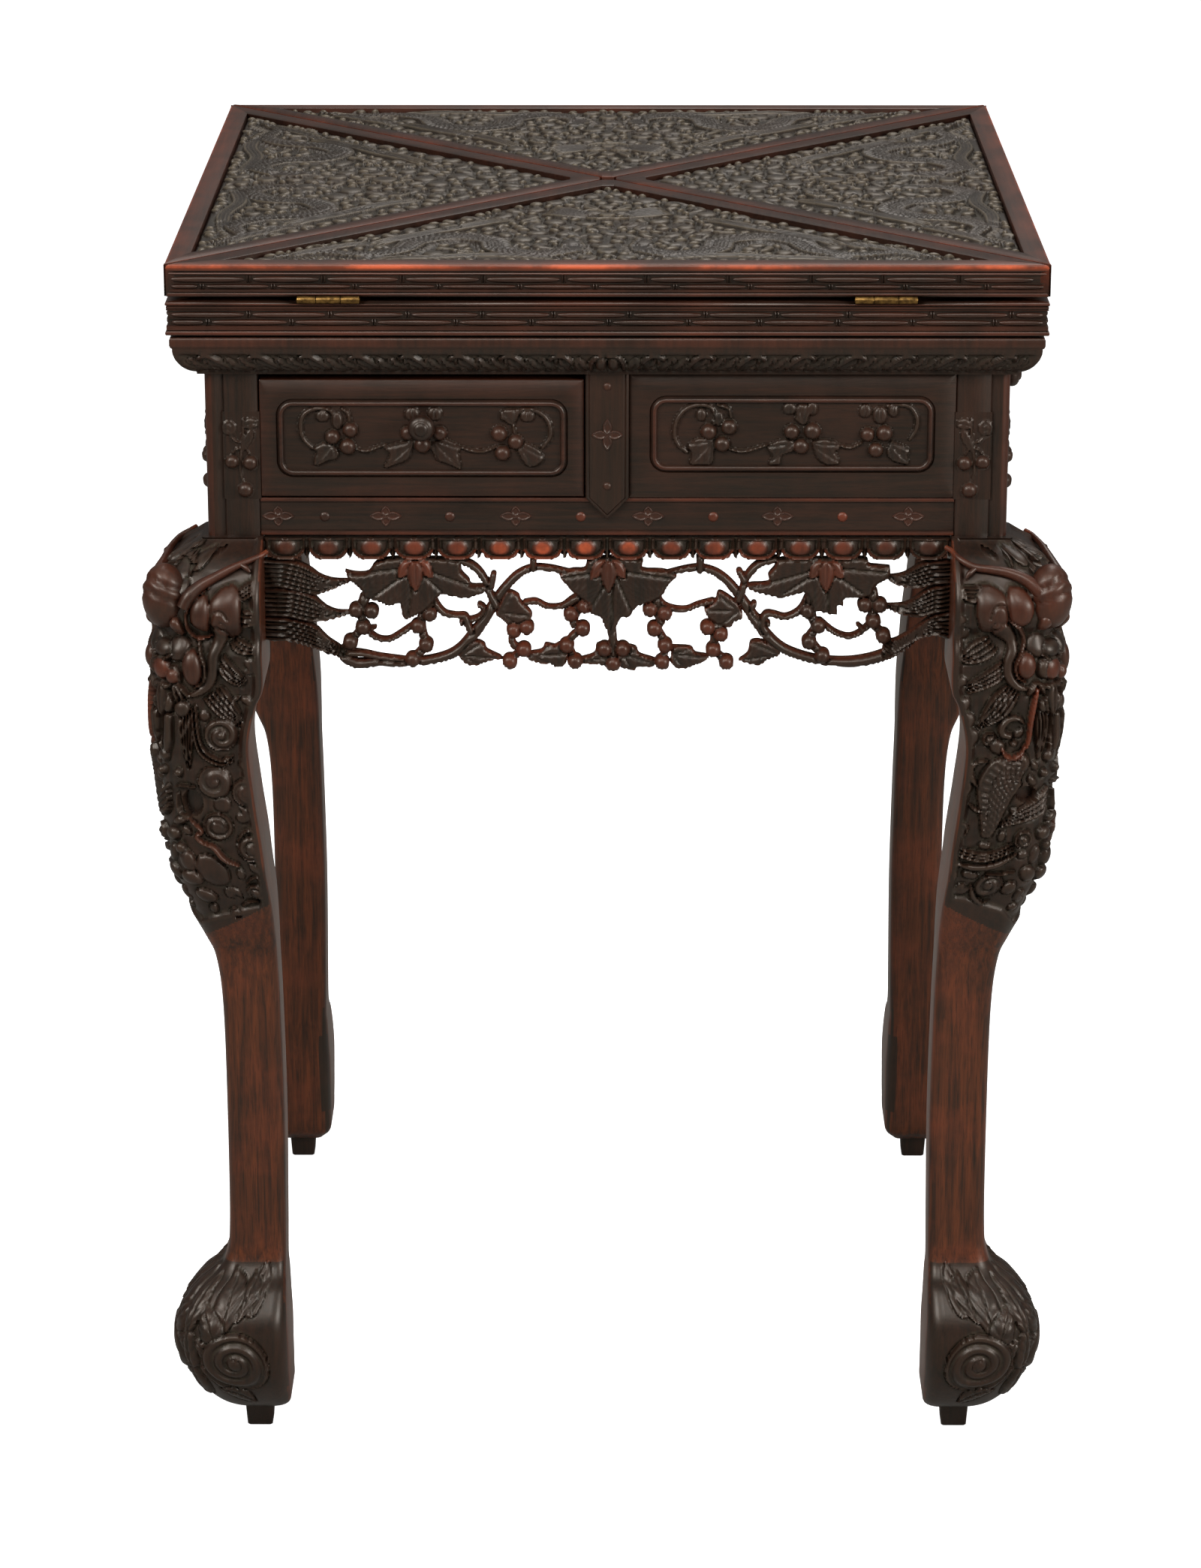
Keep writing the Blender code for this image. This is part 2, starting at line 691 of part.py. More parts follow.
def apron_mesh():
    """One apron: a board pierced into vines, leaves and berries under a band of lobes."""
    front = BOX_HALF + APRON_SETBACK
    back = front - APRON_THICK

    def relief(outlines, step):
        bm = bmesh.new()
        for outline in outlines:
            prism(bm, outline, back, front - step * APRON_STEP, facing)
        return bm

    band = relief([egg_band()], 0)
    tools = []
    for shapes, step in ((FLAME_SHARES, 1), (LEAF_SHARES, 2)):
        for row in shapes:
            outline = [apron_point(pair) for pair in row]
            tools.append(relief([outline], step))
            if row[-1][0] <= 0:
                tools.append(relief([mirrored(outline)], step))
    for row in VINE_SHARES:
        outline = ribbon([apron_point(pair) for pair in row], APRON_HEIGHT * VINE_SHARE, VINE_TAPER_SHARE)
        tools.append(relief([outline], 3))
        tools.append(relief([mirrored(outline)], 3.5))
    for across, up, size in BUNCH_SHARES:
        outline = bunch(apron_point((across, up)), APRON_HEIGHT * BUNCH_SHARE * size)
        tools.append(relief([outline], 1.5))
        if across:
            tools.append(relief([mirrored(outline)], 1.5))
    return combine(band, tools, "UNION", "apron")


def post_outline():
    """Plan of the front left post: a square with a round bead standing on its outer arris."""
    middle = BOX_HALF - POST_BEAD
    quirk = middle - POST_BEAD * POST_QUIRK_SHARE
    outline = [(-POST_INNER, -POST_INNER), (-POST_INNER, -BOX_HALF), (-quirk, -BOX_HALF)]
    for index in range(8):
        angle = math.radians(330 - 30 * index)
        outline.append((-middle + POST_BEAD * math.cos(angle), -middle + POST_BEAD * math.sin(angle)))
    return outline + [(-BOX_HALF, -quirk), (-BOX_HALF, -POST_INNER)]


def case_side_mesh():
    """One side of the case: bottom rail, centre stile and false front, sawn from a single board."""
    face = BOX_HALF - RAIL_BEAD / 2
    outline = [(-POST_INNER, CASE_BOTTOM), (-POST_INNER, RAIL_TOP)]
    for middle in (RAIL_TOP - RAIL_BEAD / 2, CASE_BOTTOM + RAIL_BEAD / 2):
        for part in range(5):
            angle = QUARTER * (1 + part / 2)
            outline.append((-face + RAIL_BEAD / 2 * math.cos(angle),
                            middle + RAIL_BEAD / 2 * math.sin(angle)))
    rail = bmesh.new()
    prism(rail, outline, -BOARD_HALF, BOARD_HALF, endwise)
    top = CORNICE_BOTTOM - CLEARANCE
    strip = ((-STILE_HALF, top), (-STILE_HALF, RAIL_TOP), (0, RAIL_TOP - STILE_TIP_DROP),
             (STILE_HALF, RAIL_TOP), (STILE_HALF, top))
    pointed = bmesh.new()
    prism(pointed, strip, face, BOX_HALF + STILE_FACE, facing)
    block = solid(box, (-STILE_HALF, -BOX_HALF, RAIL_TOP - JOINT_LAP), (STILE_HALF, -POST_INNER, top))
    false = bmesh.new()
    false.from_mesh(front_mesh(STILE_HALF - JOINT_LAP, BOARD_HALF, RAIL_TOP - JOINT_LAP, top, False))
    return combine(rail, [block, pointed, false], "UNION", "case_side")


def cornice(bm):
    """The moulding round the case: a rounded top edge, a fillet and a deep hollow back to the box."""
    profile = [(BOX_HALF, CORNICE_BOTTOM), (BOX_HALF, CORNICE_TOP)]
    for out, up in CORNICE_SHARES:
        profile.append((BOX_HALF + CORNICE_REACH * out, CORNICE_BOTTOM + CORNICE_HEIGHT * up))
    square_ring(bm, profile)


def arc_slot(bm):
    """The slot that the stop pin travels in, with round ends."""
    wide = STOP_PIN_RADIUS + STOP_CLEARANCE
    outline = []
    for index in range(9):
        angle = SWIVEL_ANGLE * index / 8
        outline.append(((STOP_RADIUS + wide) * math.cos(angle), (STOP_RADIUS + wide) * math.sin(angle)))
    for part in (1, 2, 3):
        angle = SWIVEL_ANGLE + part * math.pi / 4
        outline.append((STOP_RADIUS * math.cos(SWIVEL_ANGLE) + wide * math.cos(angle),
                        STOP_RADIUS * math.sin(SWIVEL_ANGLE) + wide * math.sin(angle)))
    for index in range(8, -1, -1):
        angle = SWIVEL_ANGLE * index / 8
        outline.append(((STOP_RADIUS - wide) * math.cos(angle), (STOP_RADIUS - wide) * math.sin(angle)))
    for part in (1, 2, 3):
        angle = math.pi + part * math.pi / 4
        outline.append((STOP_RADIUS + wide * math.cos(angle), wide * math.sin(angle)))
    prism(bm, outline, PIVOT_BOARD_BOTTOM - OVERRUN, CORNICE_TOP + OVERRUN, upright)


def rod(bm, radius, sides, low, high, centre=(0, 0)):
    """An upright round bar."""
    prism(bm, circle(radius, sides, centre), low, high, upright)


def case_top_mesh():
    """The board that carries the top: a lip round its edge, a bore for the bolt, a slot for the pin."""
    half = FRONT_FACE
    board = solid(box, (-half, -half, CORNICE_BOTTOM), (half, half, CORNICE_TOP))
    inner = BOARD_HALF
    under = solid(box, (-inner, -inner, CORNICE_BOTTOM - OVERRUN), (inner, inner, PIVOT_BOARD_BOTTOM))
    bore = solid(rod, BOLT_RADIUS + BOLT_CLEARANCE, BOLT_SIDES, PIVOT_BOARD_BOTTOM - OVERRUN,
                 CORNICE_TOP + OVERRUN)
    return combine(board, [under, bore, solid(arc_slot)], "DIFFERENCE", "case_top")


def partition(bm, crossing):
    """One of two boards, half lapped in the middle, with a well at the top for the bolt's nut."""
    low = BOTTOM_BOARD_TOP + CLEARANCE
    high = PIVOT_BOARD_BOTTOM - CLEARANCE
    middle = (low + high) / 2
    well = high - WASHER_THICK - NUT_THICK - BOLT_TAIL - NUT_WELL_SPARE
    wide = NUT_WELL_WIDTH / 2
    lap = PARTITION_THICK / 2 + CLEARANCE
    half = BOARD_HALF
    top = [(half, low), (half, high), (wide, high), (wide, well)]
    if crossing:
        notch = middle + CLEARANCE / 2
        right = [(lap, notch), (lap, low)] + top
    else:
        notch = middle - CLEARANCE / 2
        right = top + [(lap, well), (lap, notch)]
    outline = right + [(-a, b) for a, b in right[::-1]]
    prism(bm, outline, -PARTITION_THICK / 2, PARTITION_THICK / 2, endwise if crossing else facing)


def case_bottom_mesh():
    """The floor of the case, with two runners for each drawer and a guide beside each drawer's side."""
    board = solid(box, (-BOARD_HALF, -BOARD_HALF, CASE_BOTTOM + CLEARANCE),
                  (BOARD_HALF, BOARD_HALF, BOTTOM_BOARD_TOP))
    low = BOTTOM_BOARD_TOP - JOINT_LAP
    high = SIDE_BOTTOM - CLEARANCE
    guide = high + RUNNER_GUIDE_RISE
    tools = []
    for edge, inward in ((DRAWER_LEFT + SIDE_INSET, 1), (DRAWER_RIGHT - SIDE_INSET, -1)):
        wall = edge - inward * CLEARANCE
        outer = edge - inward * (SIDE_INSET + DRAWER_GAP - CLEARANCE)
        tread = edge + inward * RUNNER_WIDTH
        outline = ((outer, low), (tread, low), (tread, high), (wall, high), (wall, guide), (outer, guide))
        tool = bmesh.new()
        prism(tool, outline, PARTITION_THICK / 2 + CLEARANCE, BOARD_HALF, facing)
        four_turns(tool)
        tools.append(tool)
    return combine(board, tools, "UNION", "case_bottom")


def rounded_frame(left, right, low, high, radius, inset, out):
    """The points of a rectangle with round corners, three to a corner, drawn in by an inset."""
    points = []
    spots = ((right, high, 0), (left, high, 1), (left, low, 2), (right, low, 3))
    for x, z, quarter in spots:
        middle_x = x + (-radius if x == right else radius)
        middle_z = z + (-radius if z == high else radius)
        for part in (0, 0.5, 1):
            angle = (quarter + part) * QUARTER
            reach = radius - inset
            points.append((middle_x + reach * math.cos(angle), -out, middle_z + reach * math.sin(angle)))
    return points


def front_mesh(left, right, low, high, bored):
    """A drawer front, or a false one, with a raised bead frame on its face."""
    board = solid(box, (left, -FRONT_FACE, low), (right, -FRONT_BACK, high))
    bead = bmesh.new()
    sides = (left + FRAME_INSET, right - FRAME_INSET, low + FRAME_INSET, high - FRAME_INSET, FRAME_CORNER)
    rows = ((0, -FRAME_RISE), (FRAME_BEAD / 4, FRAME_RISE), (FRAME_BEAD * 3 / 4, FRAME_RISE),
            (FRAME_BEAD, -FRAME_RISE))
    ring(bead, [rounded_frame(*sides, inset, FRONT_FACE + rise) for inset, rise in rows])
    mesh = combine(board, [bead], "UNION", "front")
    if not bored:
        return mesh
    whole = bmesh.new()
    whole.from_mesh(mesh)
    hole = bmesh.new()
    prism(hole, circle(KNOB_STEM + CLEARANCE, KNOB_SIDES, KNOB_PLACE), FRONT_BACK - OVERRUN,
          FRONT_FACE + OVERRUN, facing)
    return combine(whole, [hole], "DIFFERENCE", "front")


def knob(bm):
    """A turned knob: a tenon through the front, a neck and a flattened ball with a button."""
    x, z = KNOB_PLACE
    rings = []
    for radius, reach in KNOB_SHARES:
        out = FRONT_FACE + KNOB_LENGTH * reach if reach > 0 else FRONT_FACE + FRONT_THICK * reach
        size = KNOB_STEM if radius == 0 else KNOB_RADIUS * radius
        rings.append([(a, -out, b) for a, b in circle(size, KNOB_SIDES, (x, z))])
    loft(bm, rings)


def drawer_box(bm):
    """The drawer behind its front: sides, back and bottom, open at the top."""
    left = DRAWER_LEFT + SIDE_INSET
    right = DRAWER_RIGHT - SIDE_INSET
    front = -FRONT_BACK + CLEARANCE
    back = -FRONT_FACE + DRAWER_DEPTH
    top = DRAWER_TOP - SIDE_DROP
    box(bm, (left, front, SIDE_BOTTOM), (right, back, top))
    lid = [face for face in bm.faces if all(vert.co.z > top - CLEARANCE for vert in face.verts)]
    bmesh.ops.recalc_face_normals(bm, faces=bm.faces)
    bmesh.ops.inset_region(bm, faces=lid, thickness=SIDE_THICK)
    sunk = bmesh.ops.extrude_face_region(bm, geom=lid)
    verts = [item for item in sunk["geom"] if isinstance(item, bmesh.types.BMVert)]
    bmesh.ops.translate(bm, verts=verts, vec=(0, 0, SIDE_BOTTOM + DRAWER_BOTTOM_THICK - top))
    bmesh.ops.delete(bm, geom=lid, context="FACES")


def bolt(bm):
    """The pivot bolt, its flat head let into the bed's panel under the baize."""
    head = BED_PANEL_TOP - CLEARANCE
    tail = PIVOT_BOARD_BOTTOM - CLEARANCE - WASHER_THICK - CLEARANCE - NUT_THICK - BOLT_TAIL
    turned(bm, ((BOLT_RADIUS, tail), (BOLT_RADIUS, head - BOLT_HEAD_THICK),
                (BOLT_HEAD_RADIUS, head - BOLT_HEAD_THICK), (BOLT_HEAD_RADIUS, head)), BOLT_SIDES)


def washer(bm):
    """The washer under the case top."""
    high = PIVOT_BOARD_BOTTOM - CLEARANCE
    tube(bm, WASHER_RADIUS, BOLT_RADIUS + CLEARANCE, BOLT_SIDES, high - WASHER_THICK, high, upright)


def nut(bm):
    """A hexagon nut, bored clear of the bolt's thread."""
    top = PIVOT_BOARD_BOTTOM - CLEARANCE - WASHER_THICK - CLEARANCE
    bore = circle(BOLT_RADIUS + CLEARANCE, PIN_SIDES)
    hexagon = []
    corners = circle(NUT_RADIUS, 6)
    for index in range(6):
        first, second = corners[index], corners[(index + 1) % 6]
        hexagon += [first, ((first[0] + second[0]) / 2, (first[1] + second[1]) / 2)]
    spots = ((hexagon, top - NUT_THICK), (hexagon, top), (bore, top), (bore, top - NUT_THICK))
    ring(bm, [[(x, y, z) for x, y in points] for points, z in spots])


def swivel_washer(bm):
    """The thin leather ring that the bed turns on."""
    tube(bm, SWIVEL_WASHER_RADIUS, BOLT_RADIUS + BOLT_CLEARANCE, BOLT_SIDES, CORNICE_TOP + CLEARANCE,
         BED_BOTTOM - CLEARANCE, upright)


def stop_pin(bm):
    """The pin in the bed's under side that stops the swivel at either end."""
    rod(bm, STOP_PIN_RADIUS, PIN_SIDES, CORNICE_TOP - STOP_PIN_REACH, BED_BOTTOM + STOP_PIN_REACH,
        (STOP_RADIUS, 0))


def edge_profile(low, high, inner):
    """Section of a bed or leaf rail as (inset from the edge, z): a nosing, two reeds and a bead."""
    profile = [(inner, low), (inner, high)]
    for up, sink in EDGE_SHARES:
        profile.append((REED_DEPTH * sink, low + (high - low) * up))
    return profile


def hinge_notches(bm, low, high, spin):
    """Cutters that let the hinge knuckles into an edge."""
    inner = HINGE_AXIS_Y + KNUCKLE_RADIUS + CLEARANCE
    half = HINGE_LENGTH / 2 + CLEARANCE
    for place in (-HINGE_PLACE, HINGE_PLACE):
        cutter = solid(box, (place - half, HINGE_AXIS_Y - OVERRUN, low), (place + half, inner, high))
        cutter.transform(spin)
        made = to_mesh(cutter, "notch")
        bm.from_mesh(made)
        bpy.data.meshes.remove(made)


def bed_frame_mesh():
    """The mitred frame round the bed, reeded along its edges and let in for the hinges."""
    frame = bmesh.new()
    profile = edge_profile(BED_BOTTOM, BED_TOP, BED_BORDER)
    square_ring(frame, [(TOP_HALF - inset, z) for inset, z in profile])
    notches = bmesh.new()
    for turn in range(4):
        spin = Matrix.Rotation(turn * QUARTER, 4, "Z")
        hinge_notches(notches, HINGE_AXIS_Z - KNUCKLE_RADIUS - CLEARANCE, BED_TOP + OVERRUN, spin)
    return combine(frame, [notches], "DIFFERENCE", "bed_frame")


def bed_panel_mesh():
    """The bed's panel, counterbored for the bolt and bored from below for the stop pin."""
    panel = solid(box, (-BED_PANEL_HALF, -BED_PANEL_HALF, BED_BOTTOM),
                  (BED_PANEL_HALF, BED_PANEL_HALF, BED_PANEL_TOP))
    seat = BED_PANEL_TOP - BOLT_HEAD_THICK - 2 * CLEARANCE
    tools = [solid(rod, BOLT_HEAD_RADIUS + CLEARANCE, BOLT_SIDES, seat, BED_PANEL_TOP + OVERRUN),
             solid(rod, BOLT_RADIUS + BOLT_CLEARANCE, BOLT_SIDES, BED_BOTTOM - OVERRUN, BED_PANEL_TOP),
             solid(rod, STOP_PIN_RADIUS + CLEARANCE, PIN_SIDES, BED_BOTTOM - OVERRUN,
                   BED_BOTTOM + STOP_PIN_REACH + CLEARANCE, (STOP_RADIUS, 0))]
    return combine(panel, tools, "DIFFERENCE", "bed_panel")


def leaf_triangle(inset, border):
    """A leaf's outline in plan: its edge drawn in by an inset, its diagonals by a border."""
    base = -TOP_HALF + inset
    slant = LEAF_SPACING / math.sqrt(2) + border * math.sqrt(2)
    half = -base - slant
    tip = -slant - LEAF_BLUNT
    return [(-half, base), (half, base), (LEAF_BLUNT, tip), (-LEAF_BLUNT, tip)]


def leaf_frame_mesh():
    """A leaf's mitred frame, reeded along the table's edge and let in for the hinges."""
    rows = []
    for inset, z in edge_profile(LEAF_BOTTOM, LEAF_TOP, LEAF_BORDER):
        border = LEAF_BORDER if inset == LEAF_BORDER else 0
        rows.append([(x, y, z) for x, y in leaf_triangle(inset, border)])
    frame = solid(ring, rows)
    notches = bmesh.new()
    hinge_notches(notches, LEAF_BOTTOM - OVERRUN, HINGE_AXIS_Z + KNUCKLE_RADIUS + CLEARANCE, Matrix())
    return combine(frame, [notches], "DIFFERENCE", "leaf_frame")


def leaf_panel_mesh():
    """The panel let into the leaf's frame: a sunk ground with the main forms of its carving."""
    border = LEAF_BORDER + CLEARANCE
    outline = leaf_triangle(border, border)
    half, edge = outline[1]
    depth = outline[2][1] - edge
    ground = LEAF_TOP - CARVED_SINK

    def form(points):
        """One carved form, standing on the ground."""
        return solid(prism, points, ground - JOINT_LAP, LEAF_TOP - RELIEF_SINK, upright)

    spine = [(a * half, edge + b * depth) for a, b in DRAGON_SHARES]
    body = ribbon(spine, half * DRAGON_WIDTH_SHARE, DRAGON_TAPER_SHARE)
    tools = [form(body), form(mirrored(body))]
    for a, b, size in PANEL_BOSS_SHARES:
        boss = circle(half * size, PANEL_BOSS_SIDES, (half * a, edge + depth * b))
        tools.append(form(boss))
        if a:
            tools.append(form(mirrored(boss)))
    panel = solid(prism, outline, LEAF_BOTTOM + PANEL_SINK, ground, upright)
    return combine(panel, tools, "UNION", "leaf_panel")


def at_hinge(a, b, depth):
    """A section across the hinge's axis, extruded along it."""
    return (depth, HINGE_AXIS_Y + a, HINGE_AXIS_Z + b)


def hinge_half_mesh(spans, low, high, pinned):
    """A hinge plate with its knuckles, at the middle of the edge; the leaf's half holds the pin."""
    start = HINGE_AXIS_Y + KNUCKLE_RADIUS + CLEARANCE
    plate = solid(box, (-HINGE_LENGTH / 2, start, low), (HINGE_LENGTH / 2, start + HINGE_PLATE_WIDTH, high))
    wall = HINGE_AXIS_Y + (KNUCKLE_RADIUS + KNUCKLE_BORE) / 2
    tools = []
    for left, right in spans:
        tools.append(solid(box, (left, wall, low), (right, start + HINGE_PLATE_WIDTH / 4, high)))
        knuckle = bmesh.new()
        if pinned:
            prism(knuckle, circle(KNUCKLE_RADIUS, KNUCKLE_SIDES), left, right, at_hinge)
            pin = bmesh.new()
            prism(pin, circle(PIN_RADIUS, KNUCKLE_SIDES), -HINGE_LENGTH / 2, HINGE_LENGTH / 2, at_hinge)
            tools.append(pin)
        else:
            tube(knuckle, KNUCKLE_RADIUS, KNUCKLE_BORE, KNUCKLE_SIDES, left, right, at_hinge)
        tools.append(knuckle)
    return combine(plate, tools, "UNION", "hinge")


def add_hinges(name, mesh, material, turn, origin):
    """The left and right hinge halves of one side."""
    for word, place in (("left", -HINGE_PLACE), ("right", HINGE_PLACE)):
        moved = mesh.copy()
        moved.transform(Matrix.Translation((place, 0, 0)))
        add_object(name + "_" + word, moved, material, turn, origin)


def build_stand(wood):
    """Legs, which run up as the corner posts of the case, and the aprons between them."""
    leg = leg_mesh()
    apron = apron_mesh()
    for turn, (corner, side) in enumerate(zip(CORNERS, SIDES)):
        add_object("leg_" + corner, leg.copy(), wood, turn)
        add_object("apron_" + side, apron.copy(), wood, turn)


def build_case(wood, inside, leather):
    """The box that holds the drawers and carries the top."""
    side_board = case_side_mesh()
    for turn, side in enumerate(SIDES):
        add_object("case_side_" + side, side_board.copy(), wood, turn)
    add_object("cornice", to_mesh(solid(cornice), "cornice"), wood)
    add_object("case_top", case_top_mesh(), inside)
    add_object("case_bottom", case_bottom_mesh(), inside)
    add_object("partition_across", to_mesh(solid(partition, False), "partition_across"), inside)
    add_object("partition_along", to_mesh(solid(partition, True), "partition_along"), inside)
    add_object("swivel_washer", to_mesh(solid(swivel_washer), "swivel_washer"), leather)


def build_drawers(wood, inside):
    """Four drawers, each sliding out of its own side."""
    origin = (DRAWER_MIDDLE, -FRONT_FACE, DRAWER_CENTRE_Z)
    front = front_mesh(DRAWER_LEFT, DRAWER_RIGHT, DRAWER_BOTTOM, DRAWER_TOP, True)
    tray = to_mesh(solid(drawer_box), "drawer_box")
    pull = to_mesh(solid(knob), "knob")
    for turn, side in enumerate(SIDES):
        add_object("drawer_face_" + side, front.copy(), wood, turn, origin)
        add_object("drawer_box_" + side, tray.copy(), inside, turn, origin)
        add_object("drawer_knob_" + side, pull.copy(), wood, turn, origin)


def build_bed(wood, inside, brass, steel):
    """The swivelling bed with its bolt, stop pin and fixed hinge halves."""
    add_object("bed_frame", bed_frame_mesh(), wood)
    add_object("bed_panel", bed_panel_mesh(), inside)
    add_object("pivot_bolt", to_mesh(solid(bolt), "pivot_bolt"), steel)
    add_object("pivot_washer", to_mesh(solid(washer), "pivot_washer"), steel)
    add_object("pivot_nut", to_mesh(solid(nut), "pivot_nut"), steel)
    add_object("stop_pin", to_mesh(solid(stop_pin), "stop_pin"), steel)
    ends = [share * HINGE_LENGTH for share in KNUCKLE_SHARES]
    low = BED_TOP + CLEARANCE
    half = hinge_half_mesh(((ends[0], ends[1]), (ends[2], ends[3])), low, low + HINGE_PLATE_THICK, False)
    for turn, side in enumerate(SIDES):
        add_hinges("bed_hinge_" + side, half, brass, turn, (0, HINGE_AXIS_Y, HINGE_AXIS_Z))


def build_leaves(wood, brass):
    """Four triangular leaves, each hinged to one edge of the bed."""
    origin = (0, HINGE_AXIS_Y, HINGE_AXIS_Z)
    frame = leaf_frame_mesh()
    panel = leaf_panel_mesh()
    ends = [share * HINGE_LENGTH for share in KNUCKLE_SHARES]
    high = LEAF_BOTTOM - CLEARANCE
    span = (ends[1] + CLEARANCE, ends[2] - CLEARANCE)
    half = hinge_half_mesh((span,), high - HINGE_PLATE_THICK, high, True)
    for turn, side in enumerate(SIDES):
        add_object("leaf_frame_" + side, frame.copy(), wood, turn, origin)
        add_object("leaf_panel_" + side, panel.copy(), wood, turn, origin)
        add_hinges("leaf_hinge_" + side, half, brass, turn, origin)


def main():
    """Build the whole table."""
    clear_scene()
    wood = finish("ebonised_hardwood", "2E1F1A", 0.32)
    inside = finish("plain_hardwood", "6A4A34", 0.55)
    brass = finish("aged_brass", "8A6A3A", 0.38, 1.0)
    steel = finish("dull_steel", "6E6C68", 0.45, 1.0)
    leather = finish("waxed_leather", "5A3C28", 0.70)
    build_stand(wood)
    build_case(wood, inside, leather)
    build_drawers(wood, inside)
    build_bed(wood, inside, brass, steel)
    build_leaves(wood, brass)


main()
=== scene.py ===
"""Looks of the handkerchief games table: its carving, its finishes, and the studio it stands in.

Metres, +Z up, the front faces -Y. Carved fields are worked in millimetres and set in place at the end.
"""

import json
import math

import bpy
import numpy as np
from mathutils import Matrix, Vector

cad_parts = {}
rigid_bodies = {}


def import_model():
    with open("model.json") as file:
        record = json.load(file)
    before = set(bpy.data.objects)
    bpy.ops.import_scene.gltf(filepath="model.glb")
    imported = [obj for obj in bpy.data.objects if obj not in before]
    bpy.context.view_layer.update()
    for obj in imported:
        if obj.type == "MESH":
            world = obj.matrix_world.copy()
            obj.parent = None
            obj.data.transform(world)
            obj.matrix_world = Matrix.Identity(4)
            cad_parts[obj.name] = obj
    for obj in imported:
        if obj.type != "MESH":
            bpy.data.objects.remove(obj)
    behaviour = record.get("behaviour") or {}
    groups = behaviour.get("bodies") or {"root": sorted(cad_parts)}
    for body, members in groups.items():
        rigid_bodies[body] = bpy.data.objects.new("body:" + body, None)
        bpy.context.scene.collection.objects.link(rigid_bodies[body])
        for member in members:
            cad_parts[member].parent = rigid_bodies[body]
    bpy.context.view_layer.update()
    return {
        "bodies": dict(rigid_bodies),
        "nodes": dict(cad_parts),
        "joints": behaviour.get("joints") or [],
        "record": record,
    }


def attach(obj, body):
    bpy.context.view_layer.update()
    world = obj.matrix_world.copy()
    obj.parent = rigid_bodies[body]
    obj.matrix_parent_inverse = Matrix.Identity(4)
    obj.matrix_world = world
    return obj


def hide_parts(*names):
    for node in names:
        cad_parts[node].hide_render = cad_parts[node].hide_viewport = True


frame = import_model()

# Levels and half widths of the table, as its parts are made
MM = 0.001
QUARTER = math.pi / 2
TOP_HALF = 0.2700
LEAF_TOP = 0.7930
LEAF_BOTTOM = 0.7726
BED_TOP = 0.7694
BED_BOTTOM = 0.7484
CORNICE_TOP = 0.7470
CORNICE_BOTTOM = 0.7205
CASE_BOTTOM = 0.6165
RAIL_TOP = 0.6407
BOX_HALF = 0.2490
POST_INNER = 0.2160
STILE_HALF = 0.0135
FRONT_FACE = 0.2487
DRAWER_LEFT, DRAWER_RIGHT = -0.2151, -0.0144
DRAWER_BOTTOM, DRAWER_TOP = 0.6416, 0.7160
LEG_TOP = 0.6162
APRON_TOP = 0.6150
APRON_BOTTOM = 0.5300
APRON_HALF = 0.2142
APRON_FACE = 0.2520
APRON_BACK = 0.2410
LEAF_BORDER = 0.0140
BED_BORDER = 0.0260
LEAF_SPACING = 0.0018
LEAF_BLUNT = 0.0040
PANEL_SINK = 0.0012
HINGE_AXIS_Y = -0.2706
HINGE_AXIS_Z = 0.7710
HINGE_PLACE = 0.1700
HINGE_LENGTH = 0.0380
KNUCKLE_RADIUS = 0.0024
KNOB_PLACE = (-0.11475, 0.6883)
GAP = 0.0003

SIDES = ("front", "right", "back", "left")
CORNERS = ("front_left", "front_right", "back_right", "back_left")


# Finishes

def linear(code):
    """An sRGB hex colour as linear RGBA."""
    channels = [int(code[start:start + 2], 16) / 255 for start in (0, 2, 4)]
    return (*[c / 12.92 if c <= 0.04045 else ((c + 0.055) / 1.055) ** 2.4 for c in channels], 1.0)


def add(tree, kind, inputs=(), **settings):
    """Add one node with its settings; inputs pairs each socket with a value or with what feeds it."""
    made = tree.nodes.new("ShaderNode" + kind)
    for name, value in settings.items():
        setattr(made, name, value)
    for spot, value in inputs:
        if isinstance(value, bpy.types.NodeSocket):
            tree.links.new(value, made.inputs[spot])
        else:
            made.inputs[spot].default_value = value
    return made


def new_finish(name):
    """An empty finish: its material, its node tree and its shader."""
    made = bpy.data.materials.new(name)
    made.use_nodes = True
    return made, made.node_tree, made.node_tree.nodes["Principled BSDF"]


